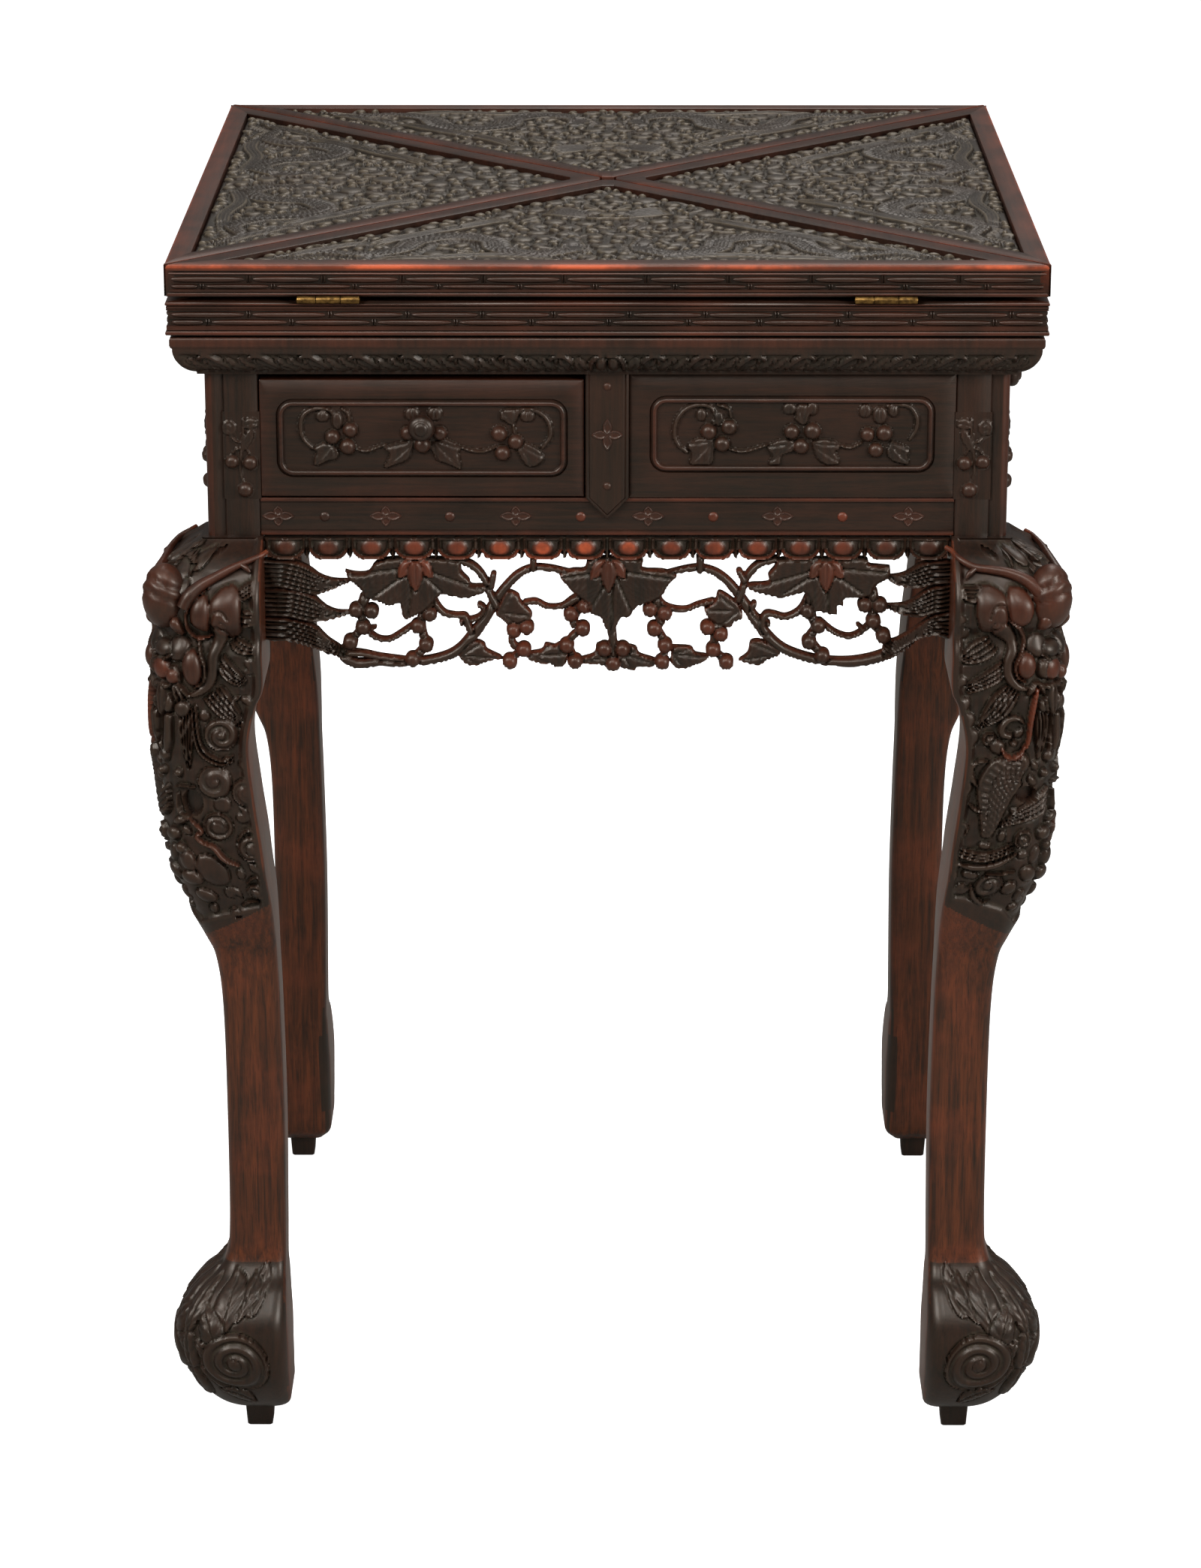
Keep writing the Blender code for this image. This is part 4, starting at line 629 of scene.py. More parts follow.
class Carving:
    """The points and faces of one piece, in metres; each point knows how proud and how rubbed it is."""

    def __init__(self):
        self.points, self.faces, self.marks, self.count = [], [], [], 0

    def add(self, points, faces, proud=0.6, rubbed=0.0):
        """Add points with the faces between them."""
        points = np.asarray(points, float).reshape(-1, 3)
        marks = np.empty((len(points), 2))
        marks[:, 0], marks[:, 1] = np.ravel(proud), np.ravel(rubbed)
        self.points.append(points)
        self.marks.append(marks)
        self.faces += [[corner + self.count for corner in face] for face in
                       (faces.tolist() if isinstance(faces, np.ndarray) else faces)]
        self.count += len(points)

    def loft(self, rings, proud=0.6, rubbed=0.0):
        """Skin closed rings one after another and cap both ends."""
        rings = np.asarray(rings, float)
        rows, sides = rings.shape[:2]
        faces = quads(rows, sides).tolist()
        faces += [list(range(sides))[::-1], list(range((rows - 1) * sides, rows * sides))]
        self.add(rings, faces, proud, rubbed)

    def ball(self, centre, radii, sides, rows, proud=0.7, rubbed=0.0):
        """A stud, or a knot between two bars."""
        lat = np.linspace(0.06, math.pi - 0.06, rows)[:, None]
        lon = np.linspace(0, 2 * math.pi, sides, endpoint=False)[None, :]
        shape = np.stack((np.sin(lat) * np.cos(lon), np.sin(lat) * np.sin(lon), np.cos(lat) + 0 * lon), -1)
        self.loft(np.asarray(centre) + shape * np.asarray(radii), proud, rubbed)

    def tube(self, path, radii, sides, out, rubbed):
        """A stem along a path; out points away from the work that it lies on."""
        line = smooth(path, 5)
        reach = np.interp(np.linspace(0, 1, len(line)), np.linspace(0, 1, len(radii)), radii)
        along = np.gradient(line, axis=0)
        along /= np.linalg.norm(along, axis=1)[:, None]
        side = np.cross(along, np.asarray(out, float))
        side /= np.linalg.norm(side, axis=1)[:, None]
        up = np.cross(side, along)
        turn = np.linspace(0, 2 * math.pi, sides, endpoint=False)
        rings = line[:, None] + reach[:, None, None] * (np.cos(turn)[None, :, None] * side[:, None]
                                                        + np.sin(turn)[None, :, None] * up[:, None])
        self.loft(rings, 0.6, rubbed)

    def build(self, name, angle=0.9):
        """Make the piece, with its faces outwards and its marks as attributes."""
        piece = new_piece(name, np.vstack(self.points).tolist(), [], self.faces)
        marks = np.vstack(self.marks)
        mark(piece, marks[:, 0], marks[:, 1])
        bpy.ops.object.mode_set(mode="EDIT")
        bpy.ops.mesh.select_all(action="SELECT")
        bpy.ops.mesh.normals_make_consistent(inside=False)
        bpy.ops.object.mode_set(mode="OBJECT")
        bpy.ops.object.shade_smooth_by_angle(angle=angle)
        return piece


# Workshop helpers

def take(*pieces):
    """Select just these pieces; the first is the one worked on."""
    bpy.ops.object.select_all(action="DESELECT")
    for piece in pieces:
        piece.select_set(True)
    bpy.context.view_layer.objects.active = pieces[0]


def new_piece(name, points, edges, faces):
    """A piece from its points, edges and faces, ready to be worked on."""
    mesh = bpy.data.meshes.new(name)
    mesh.from_pydata(points, edges, faces)
    piece = bpy.data.objects.new(name, mesh)
    bpy.context.scene.collection.objects.link(piece)
    take(piece)
    return piece


def settle(piece):
    """Put a piece's place into its mesh."""
    take(piece)
    bpy.ops.object.transform_apply(location=True, rotation=True, scale=True)
    return piece


def joined(name, pieces):
    """Several pieces as one."""
    take(*pieces)
    bpy.ops.object.join()
    made = bpy.context.object
    made.name = made.data.name = name
    return made


def block(low, high, round_edge):
    """A sawn block between two corners, its edges eased."""
    low, high = Vector(low), Vector(high)
    bpy.ops.mesh.primitive_cube_add(size=1, location=(low + high) / 2)
    piece = bpy.context.object
    piece.dimensions = high - low
    settle(piece)
    if round_edge:
        ease = piece.modifiers.new("ease", "BEVEL")
        ease.width, ease.segments, ease.limit_method = round_edge, 2, "NONE"
        bpy.ops.object.modifier_apply(modifier=ease.name)
    bpy.ops.object.shade_smooth_by_angle(angle=0.7)
    return piece


def rod(start, end, radius, sides=20, ease=0.0):
    """A round bar from one point to another."""
    start, end = Vector(start), Vector(end)
    bpy.ops.mesh.primitive_cylinder_add(vertices=sides, radius=radius, depth=(end - start).length,
                                        location=(start + end) / 2,
                                        rotation=(end - start).to_track_quat("Z", "Y").to_euler())
    piece = settle(bpy.context.object)
    if ease:
        soften = piece.modifiers.new("ease", "BEVEL")
        soften.width, soften.segments, soften.angle_limit = ease, 2, 0.9
        bpy.ops.object.modifier_apply(modifier=soften.name)
    bpy.ops.object.shade_smooth_by_angle(angle=0.7)
    return piece


def mark(piece, proud, rubbed):
    """Give a piece the marks that its finish reads: a number for the whole piece, or one for each point."""
    for word, value in (("proud", proud), ("rubbed", rubbed)):
        layer = piece.data.attributes.new(word, "FLOAT", "POINT")
        layer.data.foreach_set("value", np.broadcast_to(value, len(piece.data.vertices)).astype(np.float32))


def face_centres(piece):
    """The middle of each face, as three rows of x, y and z."""
    centres = np.empty(len(piece.data.polygons) * 3)
    piece.data.polygons.foreach_get("center", centres)
    return centres.reshape(-1, 3).T


def cut_away(piece, cutter):
    """Cut a cutter's shape out of a piece, and clear the cutter away."""
    take(piece)
    step = piece.modifiers.new("cut", "BOOLEAN")
    step.operation, step.solver, step.object = "DIFFERENCE", "EXACT", cutter
    bpy.ops.object.modifier_apply(modifier=step.name)
    bpy.data.objects.remove(cutter, do_unlink=True)


def close_back(piece):
    """Fill the open back of a carved field."""
    take(piece)
    bpy.ops.object.mode_set(mode="EDIT")
    bpy.ops.mesh.select_mode(type="EDGE")
    bpy.ops.mesh.select_all(action="DESELECT")
    bpy.ops.mesh.select_non_manifold()
    bpy.ops.mesh.edge_face_add()
    bpy.ops.mesh.select_all(action="SELECT")
    bpy.ops.mesh.normals_make_consistent(inside=False)
    bpy.ops.mesh.select_mode(type="VERT")
    bpy.ops.object.mode_set(mode="OBJECT")
    return piece


def dress(piece, body, slot, *nodes, finishes=()):
    """Finish a piece, hang it on its body and hide the parts of the frame that it stands for."""
    if finishes:
        piece.data.materials.clear()
        for finish in finishes:
            piece.data.materials.append(finish)
    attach(piece, body)
    if nodes:
        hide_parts(*nodes)


def turned_copy(piece, name, turn):
    """The same piece on another side of the table, with its own mesh."""
    made = piece.copy()
    made.data = piece.data.copy()
    made.name = made.data.name = name
    made.data.transform(Matrix.Rotation(turn * QUARTER, 4, "Z"))
    bpy.context.scene.collection.objects.link(made)
    return made


def four(piece, stem, names, bodies, slot, nodes=None, finishes=None):
    """Set a piece modelled at the front on all four sides; finishes gives each side its own grain."""
    for turn, (side, body) in enumerate(zip(names, bodies)):
        made = turned_copy(piece, stem + "_" + side, turn)
        stood = [node + "_" + side for node in (nodes or ())]
        dress(made, body, slot, *stood, finishes=(finishes or ((),) * 4)[turn])
    bpy.data.objects.remove(piece, do_unlink=True)


def on_face(made, face, rest=None):
    """Stand a carving laid out as across, up and out on a face to the front; rest goes with it."""
    if rest:
        points, marks = np.vstack(rest.points), np.vstack(rest.marks)
    else:
        points = np.vstack(made.points)
    spots = np.column_stack((points[:, 0], -(face + points[:, 2]), points[:, 1])) * MM
    if rest:
        made.add(spots, rest.faces, marks[:, 0], marks[:, 1])
    else:
        made.points = [spots]


# Legs

# Legs: height share, outward share of the knee's reach, inward share of the block, arris rounding share
LEG_SHARES = (
    (1.000, 0.10, 1.00, 0.10), (0.993, 0.28, 1.00, 0.14), (0.987, 0.46, 1.00, 0.20),
    (0.979, 0.61, 1.00, 0.27), (0.969, 0.74, 1.00, 0.32), (0.957, 0.86, 1.00, 0.35),
    (0.944, 0.93, 1.00, 0.37), (0.925, 0.94, 1.00, 0.39), (0.909, 0.84, 1.00, 0.40),
    (0.889, 0.92, 1.00, 0.42), (0.854, 0.93, 1.00, 0.42), (0.834, 0.92, 0.86, 0.42),
    (0.792, 0.91, 0.72, 0.42), (0.732, 0.87, 0.81, 0.42), (0.680, 0.80, 0.92, 0.38),
    (0.648, 0.70, 0.97, 0.34), (0.609, 0.47, 1.04, 0.28), (0.570, 0.20, 1.07, 0.21),
    (0.542, 0.05, 1.08, 0.17), (0.484, -0.03, 1.11, 0.17), (0.364, -0.05, 1.14, 0.17),
    (0.243, -0.04, 1.12, 0.18), (0.206, 0.02, 1.11, 0.22), (0.188, 0.18, 1.11, 0.28),
    (0.175, 0.43, 1.13, 0.32), (0.149, 0.72, 1.15, 0.38), (0.122, 0.78, 1.17, 0.40),
    (0.089, 0.69, 1.17, 0.40), (0.062, 0.50, 1.17, 0.40), (0.040, 0.24, 1.15, 0.40),
    (0.0275, -0.08, 0.96, 0.40),
)
KNEE_REACH = 0.041
LEG_BLOCK = 0.0345
# Points across the two outer faces, and the heights of their rows: fine where they are carved
OUTER_COLUMNS = 137
FOOT_BASE = 17.0
LEG_LEVELS = np.concatenate((np.arange(FOOT_BASE, 30, 0.9), np.arange(30, 128, 1.1),
                             np.arange(128, 340, 6.0), np.arange(340, LEG_TOP / MM - 0.2, 1.1),
                             [LEG_TOP / MM]))
# How deep the knee's ground is cut, and how deep a pit lies that keeps no dust
KNEE_SINK = 3.4
PIT_DEEP = -5.5
SCROLL_HEIGHT = 64.0
# The gourd's middle, how far it sits in from the arris, and its half width and half height
GOURD_MIDDLE = 585.0
GOURD_IN = 13.2
GOURD_HALF = (14.0, 20.6)
# Where the carving ends below, by the place round the leg: the front face is below nought
KNEE_EDGE = ((-70, -40, -12, 0, 14, 40, 70), (378, 373, 366, 362, 372, 381, 386))


def leg_section(z):
    """The leg's outer and inner faces and its arris rounding at a height, in millimetres."""
    rows = smooth(LEG_SHARES, 6)[::-1]
    share = z * MM / LEG_TOP
    outer = (BOX_HALF + KNEE_REACH * np.interp(share, rows[:, 0], rows[:, 1])) / MM
    inner = (BOX_HALF - LEG_BLOCK * np.interp(share, rows[:, 0], rows[:, 2])) / MM
    return outer, inner, (outer - inner) * np.interp(share, rows[:, 0], rows[:, 3])


def arc_place(z, inward):
    """How far round from the arris a point lies that is so far in from the knee's widest reach."""
    outer, _, radius = (float(value[0]) for value in leg_section(np.array([float(z)])))
    inward -= BOX_HALF / MM + 0.94 * KNEE_REACH / MM - outer
    if inward >= radius:
        return radius * math.pi / 4 + inward - radius
    return radius * (math.acos(max(-1, min(1, 1 - inward / radius))) - math.pi / 4)


# Knee carving on the front face and on the side face: each place is (inward, height) in millimetres
BRANCHES = (
    ((76, 610), (72.4, 608.4), (62.4, 605.3), (55, 602.5), (43.9, 597.4), (35.8, 593.2), (29.1, 587.4),
     (24.7, 580)),
    ((77, 612), (73.3, 610.5), (68.9, 607.4), (60, 603.4), (49.7, 602.1), (38.6, 600.3), (28.2, 596.5),
     (20.1, 590), (14.9, 582.4)),
)
FORKS = (((60.2, 604.6), (66.5, 600.4)), ((59.3, 603), (65.5, 597.6)))
# Mounds: inward, height, half width, half height, base level, rise, tilt, rub
KNEE_MOUNDS = (
    ((50.6, 576.5, 10.6, 16.6, -2.4, 5.0, 0.0, 0.10), (35.4, 575.8, 6.4, 12.0, -2.4, 4.8, 0.0, 0.16),
     (20.3, 567.4, 4.0, 6.4, -1.6, 4.0, 0.0, 0.2), (35.8, 605.9, 4.6, 6.0, -2.6, 3.4, 0.3, 0.0),
     (27.5, 612.2, 2.4, 2.2, -1.6, 2.8, 0.0, 0.0), (33.5, 613, 2.0, 1.6, -1.6, 2.6, 0.0, 0.0),
     (23.8, 609.5, 2.2, 2.0, -1.6, 3.0, 0.0, 0.0), (20.3, 552.5, 8.5, 8.0, -3.0, 4.4, 0.0, 0.0),
     (29.5, 541.1, 6.6, 11.6, -2.2, 4.8, 0.1, 0.12), (17.0, 535.3, 5.9, 6.6, -1.6, 3.4, 0.0, 0.0),
     (17.0, 535.3, 4.2, 4.8, -0.4, 3.6, 0.0, 0.25), (13.1, 516.8, 3.7, 6.4, -1.6, 3.4, 0.0, 0.0),
     (22.0, 514.1, 5.6, 5.4, -2.4, 3.2, 0.2, 0.0), (18.0, 471.5, 2.7, 2.9, -2.2, 2.8, 0.0, 0.0),
     (66.0, 448.4, 4.6, 4.6, -2.8, 3.0, 0.0, 0.0), (19.0, 440.2, 6.6, 3.0, -2.0, 3.4, 0.5, 0.0),
     (13.1, 429.5, 5.4, 4.6, -2.0, 3.8, 0.2, 0.0), (22.5, 411.5, 5.6, 8.0, -2.2, 3.8, 0.2, 0.0),
     (24.5, 399.5, 7.6, 5.4, -2.0, 3.8, -0.2, 0.0), (38.0, 404.5, 9.6, 12.0, -3.0, 3.8, 0.5, 0.0),
     (18.0, 420.1, 3.7, 3.7, -1.6, 3.2, 0.0, 0.0), (33.0, 385.5, 7.0, 5.0, -2.8, 3.2, -0.4, 0.0),
     (56.5, 520.5, 2.6, 1.4, -2.8, 1.2, 0.6, 0.0), (49.3, 480.6, 1.6, 1.6, -1.6, 2.2, 0.0, 0.0)),
    ((48.4, 578.5, 10.8, 15.0, -2.4, 4.8, 0.0, 0.10), (31.5, 580.4, 8.4, 12.6, -2.2, 4.8, 0.0, 0.18),
     (15.0, 570.4, 4.2, 6.0, -1.6, 4.0, 0.0, 0.2), (32.6, 608.0, 4.6, 5.0, -2.6, 3.2, 0.2, 0.0),
     (25.0, 611.8, 2.4, 2.0, -1.6, 2.8, 0.0, 0.0), (30.0, 613.4, 2.2, 1.6, -1.6, 2.6, 0.0, 0.0),
     (20.0, 555.0, 9.0, 7.6, -3.0, 4.4, 0.0, 0.0), (26.7, 542.8, 6.4, 8.6, -2.2, 4.8, 0.0, 0.20),
     (13.8, 540.1, 6.3, 6.7, -1.4, 4.0, 0.0, 0.0), (9.0, 524.0, 4.6, 7.6, -1.6, 3.0, 0.0, 0.0),
     (14.5, 516.0, 4.4, 4.6, -2.0, 3.0, 0.0, 0.0), (33.7, 492.0, 2.3, 2.3, -1.6, 3.2, 0.0, 0.0),
     (43.8, 489.8, 5.4, 4.6, -2.6, 3.4, 0.7, 0.0), (63.0, 507.0, 5.0, 5.6, -3.0, 2.4, 0.0, 0.0),
     (61.0, 496.0, 5.6, 6.4, -3.0, 2.2, 0.0, 0.0), (12.6, 471.0, 2.8, 2.8, -1.8, 3.2, 0.0, 0.0),
     (9.5, 482.0, 4.4, 4.0, -2.4, 3.2, 0.0, 0.0), (29.7, 444.9, 6.0, 2.4, -3.4, 1.4, 0.5, 0.0),
     (70.0, 401.5, 4.0, 4.4, -2.8, 2.8, 0.0, 0.0), (58.0, 402.0, 5.6, 3.0, -2.8, 2.4, 0.3, 0.0),
     (20.0, 402.0, 7.0, 5.0, -2.8, 3.2, 0.6, 0.0), (33.0, 392.0, 5.0, 5.0, -2.8, 3.0, 0.0, 0.0)),
)
# Strokes: places, half widths, base level, rise, rub
KNEE_STROKES = (
    ((((48, 563), (46.9, 556.9), (43.2, 548.5), (42.5, 538.6), (38.8, 529.4), (31.4, 524), (26.9, 523.1)),
      (4.4, 4.0, 3.4, 3.4, 3.4, 2.6, 1.2), -1.8, 3.4, 0.0),
     (((33.5, 560), (35.1, 550), (37.6, 541), (36.2, 531.9), (30, 527.6)), (0.8, 1.1, 1.2, 1.1, 0.5), -1.2,
      2.6, 0.0),
     (((40.2, 590.5), (33.6, 587), (28.0, 580), (26.6, 570.7), (29.2, 562.6), (35.1, 559.2), (42.5, 561)),
      (0.5, 0.9, 1.0, 1.0, 1.0, 0.9, 0.5), -1.8, 3.0, 0.2),
     (((33.5, 602), (31.5, 606), (28, 609), (24, 608)), (0.8, 1.2, 1.2, 0.6), -1.4, 2.8, 0.0),
     (((29.5, 599), (31.5, 604), (33, 610)), (0.6, 0.9, 0.5), -1.4, 2.4, 0.0),
     (((20, 530), (24, 526), (27.4, 521.6)), (1.0, 1.5, 0.7), -1.0, 3.0, 0.0),
     (((18.6, 529), (21.4, 525), (23.4, 520.2)), (1.0, 1.4, 0.7), -1.0, 3.0, 0.0),
     (((17.4, 528.4), (18.6, 524), (19.4, 519.6)), (1.0, 1.3, 0.6), -1.0, 2.8, 0.0),
     (((30.9, 516), (32.0, 498), (36.2, 486.2), (46.7, 479.8), (53, 482.9)), (0.7, 1.0, 1.1, 1.1, 0.6), -2.4,
      3.0, 0.0),
     (((28.6, 514), (29.6, 497), (33.6, 484), (45.0, 477.2), (53, 479.2)), (0.7, 1.0, 1.1, 1.1, 0.6), -2.6,
      2.8, 0.0),
     (((12.8, 508), (12.2, 492.7), (9.2, 477.6)), (2.6, 3.0, 0.8), -1.6, 3.4, 0.0),
     (((24, 441.5), (29.6, 436), (32.6, 432), (28.9, 429), (32.9, 424.6), (39.8, 421.2), (44.8, 414.3),
       (49.7, 410.7), (55.7, 407.8)), (0.7, 1.2, 1.3, 1.4, 1.6, 1.8, 1.9, 1.7, 0.6), -1.0, 3.2, 0.15),
     (((55, 425), (58.5, 431), (64, 433), (70, 430)), (0.5, 0.9, 0.9, 0.4), -2.4, 2.4, 0.0),
     (((60, 395), (64, 399), (70, 398)), (0.5, 0.9, 0.4), -2.4, 2.2, 0.0),
     (((56, 377), (61, 380.5), (68, 380)), (0.5, 1.1, 0.5), -2.6, 2.2, 0.0),
     (((17, 458), (18, 446), (24, 440)), (0.6, 1.4, 0.6), -1.6, 2.6, 0.0),
     (((16, 462), (22, 463), (29, 462)), (0.5, 1.0, 0.4), -1.8, 2.4, 0.0)),
    ((((43.5, 566), (37.8, 560), (36, 553), (38.4, 545), (38, 537), (33, 529.8), (26, 527.3)),
      (4.6, 3.8, 3.2, 3.0, 3.0, 2.6, 1.2), -1.8, 3.4, 0.0),
     (((38.6, 572), (31.4, 565.5), (28.8, 559), (30.6, 550.5), (33.6, 543), (32.2, 535.5), (26.5, 532)),
      (0.6, 1.0, 1.1, 1.1, 1.1, 1.0, 0.5), -1.2, 2.6, 0.1),
     (((24, 601), (19.5, 606.5), (15.5, 603)), (0.9, 1.3, 0.7), -1.2, 3.0, 0.0),
     (((36.5, 600.5), (37.6, 607), (42, 611)), (0.5, 0.9, 0.5), -1.6, 2.4, 0.0),
     (((20.6, 531), (23, 527.5), (25, 523.6)), (1.2, 1.9, 0.7), -1.0, 3.0, 0.0),
     (((18.4, 531), (16.6, 527.6), (14.6, 524)), (1.2, 1.9, 0.7), -1.0, 3.0, 0.0),
     (((19.8, 527), (21.2, 519), (23.2, 506), (24.7, 492), (28, 487.5)), (1.2, 1.5, 1.5, 1.4, 0.9), -0.6,
      3.0, 0.5),
     (((27.5, 505), (31, 508.5), (37, 508), (41, 503.5), (40.6, 498.5), (36.6, 497)),
      (0.7, 1.7, 2.3, 2.5, 2.4, 2.2), -1.8, 3.8, 0.0),
     (((41, 489), (38.4, 483.8), (33, 482.6), (28.4, 486), (27, 491)), (0.7, 1.3, 1.6, 1.3, 0.6), -1.2, 3.2,
      0.3),
     (((50, 480), (56, 479.4), (60, 474.6), (58.6, 468), (55, 462.6)), (0.7, 1.4, 1.9, 1.7, 0.6), -1.8, 3.4,
      0.0),
     (((60, 451), (56, 447.6), (51.8, 446.4)), (0.5, 1.4, 0.9), -1.8, 3.0, 0.0),
     (((12, 511), (13.6, 519.5), (8, 519.5)), (0.7, 1.2, 0.6), -0.8, 2.6, 0.0),
     (((68.9, 410.5), (55, 407.5), (42, 409.5), (30, 416.5)), (0.6, 2.2, 2.4, 1.0), -1.8, 3.2, 0.0),
     (((57, 394), (55.6, 386), (50.8, 380.6), (46, 382)), (0.7, 1.5, 1.7, 0.7), -2.2, 3.0, 0.0),
     (((30, 404), (40, 402.6), (48, 403)), (0.5, 1.1, 0.6), -1.8, 2.8, 0.0)),
)
# Locks: first line, last line, count
KNEE_LOCKS = (
    ((((57.2, 590), (65.4, 594.5), (74.6, 599.5)), ((61.7, 583.7), (66.9, 586.7), (74.6, 592)), 4),
     (((62.8, 579), (66.9, 577.6), (74.8, 576.2)), ((62.4, 566.2), (66.9, 568), (74, 573)), 4),
     (((58.2, 559.6), (64.4, 556.6), (71.6, 553.6)), ((52.8, 555.3), (58.7, 550.1), (70.2, 548.9)), 3),
     (((50.4, 549.8), (55.8, 542), (63.4, 533)), ((45.4, 540.3), (50.6, 532.8), (60, 527.6)), 4),
     (((48.7, 529), (56.5, 517), (61.9, 502.3)), ((36.3, 519.5), (46.2, 508.6), (60.4, 501)), 5),
     (((20, 509.5), (21, 492.7), (24.4, 474.6)), ((30, 510.5), (29, 492.7), (26.4, 474.6)), 5)),
    ((((52.6, 593.6), (60, 592.6), (72.6, 592.6)), ((57.1, 585.2), (63, 583.6), (71.4, 588.6)), 4),
     (((52.6, 561), (62.2, 556.8), (71, 546.7)), ((44.5, 551.7), (53.4, 545.4), (68, 543.2)), 4),
     (((43, 545.9), (52.4, 538.8), (63.4, 531.4)), ((40.8, 535), (47.4, 529.6), (63.8, 523.2)), 4),
     (((40, 529.9), (49, 521), (56.8, 503.5)), ((30.6, 523.5), (38.8, 509.6), (54.4, 501)), 5),
     (((20.8, 512.4), (19.6, 497), (17.4, 480.6)), ((12.4, 512.4), (12.4, 498), (15.4, 480.6)), 4),
     (((9.6, 512.4), (9.4, 500), (12, 483)), ((4.4, 512.4), (3.6, 498), (4.6, 480)), 3),
     (((6, 463), (17, 455.5), (30, 447), (42, 436.8)), ((4.6, 446), (15, 441.6), (29, 437.8), (42, 434.4)),
      4),
     (((63, 421), (48, 418.4), (32, 425)), ((66, 414.6), (50, 411.6), (31, 418.4)), 3)),
)
# Scrolls: inward, height, radius, turns, way they wind, share of the radius in the eye, rise
KNEE_SCROLLS = (
    ((46.7, 497.0, 10.6, 1.25, 1, 0.26, 4.2), (41.8, 465.5, 10.6, 1.0, -1, 0.26, 3.0),
     (62.0, 458.4, 9.6, 1.0, 1, 0.36, 3.2), (42.8, 435.2, 9.6, 1.4, 1, 0.44, 3.2),
     (63.6, 419.6, 9.2, 1.2, -1, 0.42, 3.4), (65.6, 387.6, 5.8, 1.0, 1, 0.4, 3.0),
     (51.5, 371.8, 3.6, 1.0, -1, 0.4, 2.0)),
    ((48.8, 494.4, 4.8, 1.0, 1, 0.42, 3.6), (63.6, 462.5, 5.4, 1.2, -1, 0.34, 3.2),
     (66.6, 433.8, 6.2, 1.3, 1, 0.34, 3.4), (24.6, 427.0, 6.6, 1.2, -1, 0.30, 3.8),
     (46.2, 393.6, 8.6, 1.2, 1, 0.30, 3.4)),
)
# Pits: inward, height, half width, half height, depth
KNEE_HOLES = (
    ((46.5, 609.6, 2.5, 2.3, 7.0), (26.9, 451.3, 6.9, 8.6, 9.0), (30.5, 602.5, 1.6, 2.6, 5.0)),
    ((50.0, 609.4, 3.0, 2.4, 7.0), (38.8, 604.6, 1.6, 1.5, 5.0), (20.8, 604.2, 2.8, 2.4, 6.0),
     (23.7, 457.4, 7.4, 5.0, 9.0)),
)


def carve_knee(ground):
    """Fruit, beast mask, mane, scales and scrolls on the knee's two outer faces."""
    for face, hand in ((0, -1), (1, 1)):
        def at(spot, hand=hand):
            """A place on this face, from how far it is in and how high."""
            return (hand * max(arc_place(spot[1], spot[0]), 0.0), spot[1])

        for first, last, count in KNEE_LOCKS[face]:
            ground.strands([at(spot) for spot in first], [at(spot) for spot in last], count, -2.6, 4.0,
                           fill=0.54, cut=1.4)
        for inward, z, radius, turns, way, eye, high in KNEE_SCROLLS[face]:
            ground.spiral(at((inward, z)), radius, turns, way * hand, 0.9, -2.8, high, cut=1.2, eye=eye)
        if face:
            ground.scales([at(spot) for spot in ((30, 479), (37, 473), (43, 463), (45.5, 451), (47, 440),
                                                 (48.5, 432))], (7, 13, 13, 10, 7, 4), 4.4, -2.2, 4.2,
                          cut=1.5)
        for inward, z, wide, tall, level, high, tilt, rub in KNEE_MOUNDS[face]:
            ground.mound(at((inward, z)), (wide, tall), level, high, tilt * hand, cut=1.3, rub=rub or None,
                         over=level > -2.9)
        for points, widths, level, high, rub in KNEE_STROKES[face]:
            ground.stroke([at(spot) for spot in points], widths, level, high, cut=1.3, rub=rub or None)
        for inward, z, wide, tall, deep in KNEE_HOLES[face]:
            ground.hole(at((inward, z)), (wide, tall), deep)
    # Curled navel where the two-lobed fruit folds in
    for hand, curl, eye in ((-1, ((41.6, 562), (41.9, 572), (44.7, 577.6), (49.6, 577.6), (52.6, 573)),
                             (49, 568.6)),
                            (1, ((38.6, 571), (39.9, 579.4), (43.4, 582.4), (48, 580.6), (50.4, 574)),
                             (46.4, 569))):
        places = [(hand * arc_place(z, inward), z) for inward, z in curl]
        ground.groove(places, 0.9, 2.0)
        ground.mound((hand * arc_place(eye[1], eye[0]), eye[1]), (2.6, 2.4), 0.6, 1.6, cut=1.2)
    # On the arris: the brow over the beast's nose, its nose and lip, and the tip of its beard
    ground.mound((0, 552), (8.0, 5.6), -1.6, 3.6, cut=1.4)
    ground.stroke([(-9, 549), (-4, 545.6), (0, 544.8), (4, 545.6), (9, 549)], (0.7, 1.1, 1.2, 1.1, 0.7), 0.2,
                  2.4)
    ground.mound((0, 539), (6.6, 6.6), -0.4, 2.8, cut=1.6, rub=0.30)
    ground.stroke([(-8, 529.6), (-3, 527.4), (0, 528.4), (3, 527.4), (8, 529.6)], (0.8, 1.8, 2.0, 1.8, 0.8),
                  -0.4, 2.4)
    ground.blade((0, 529), (0, 508), 4.6, -1.0, 3.2, cut=1.3)


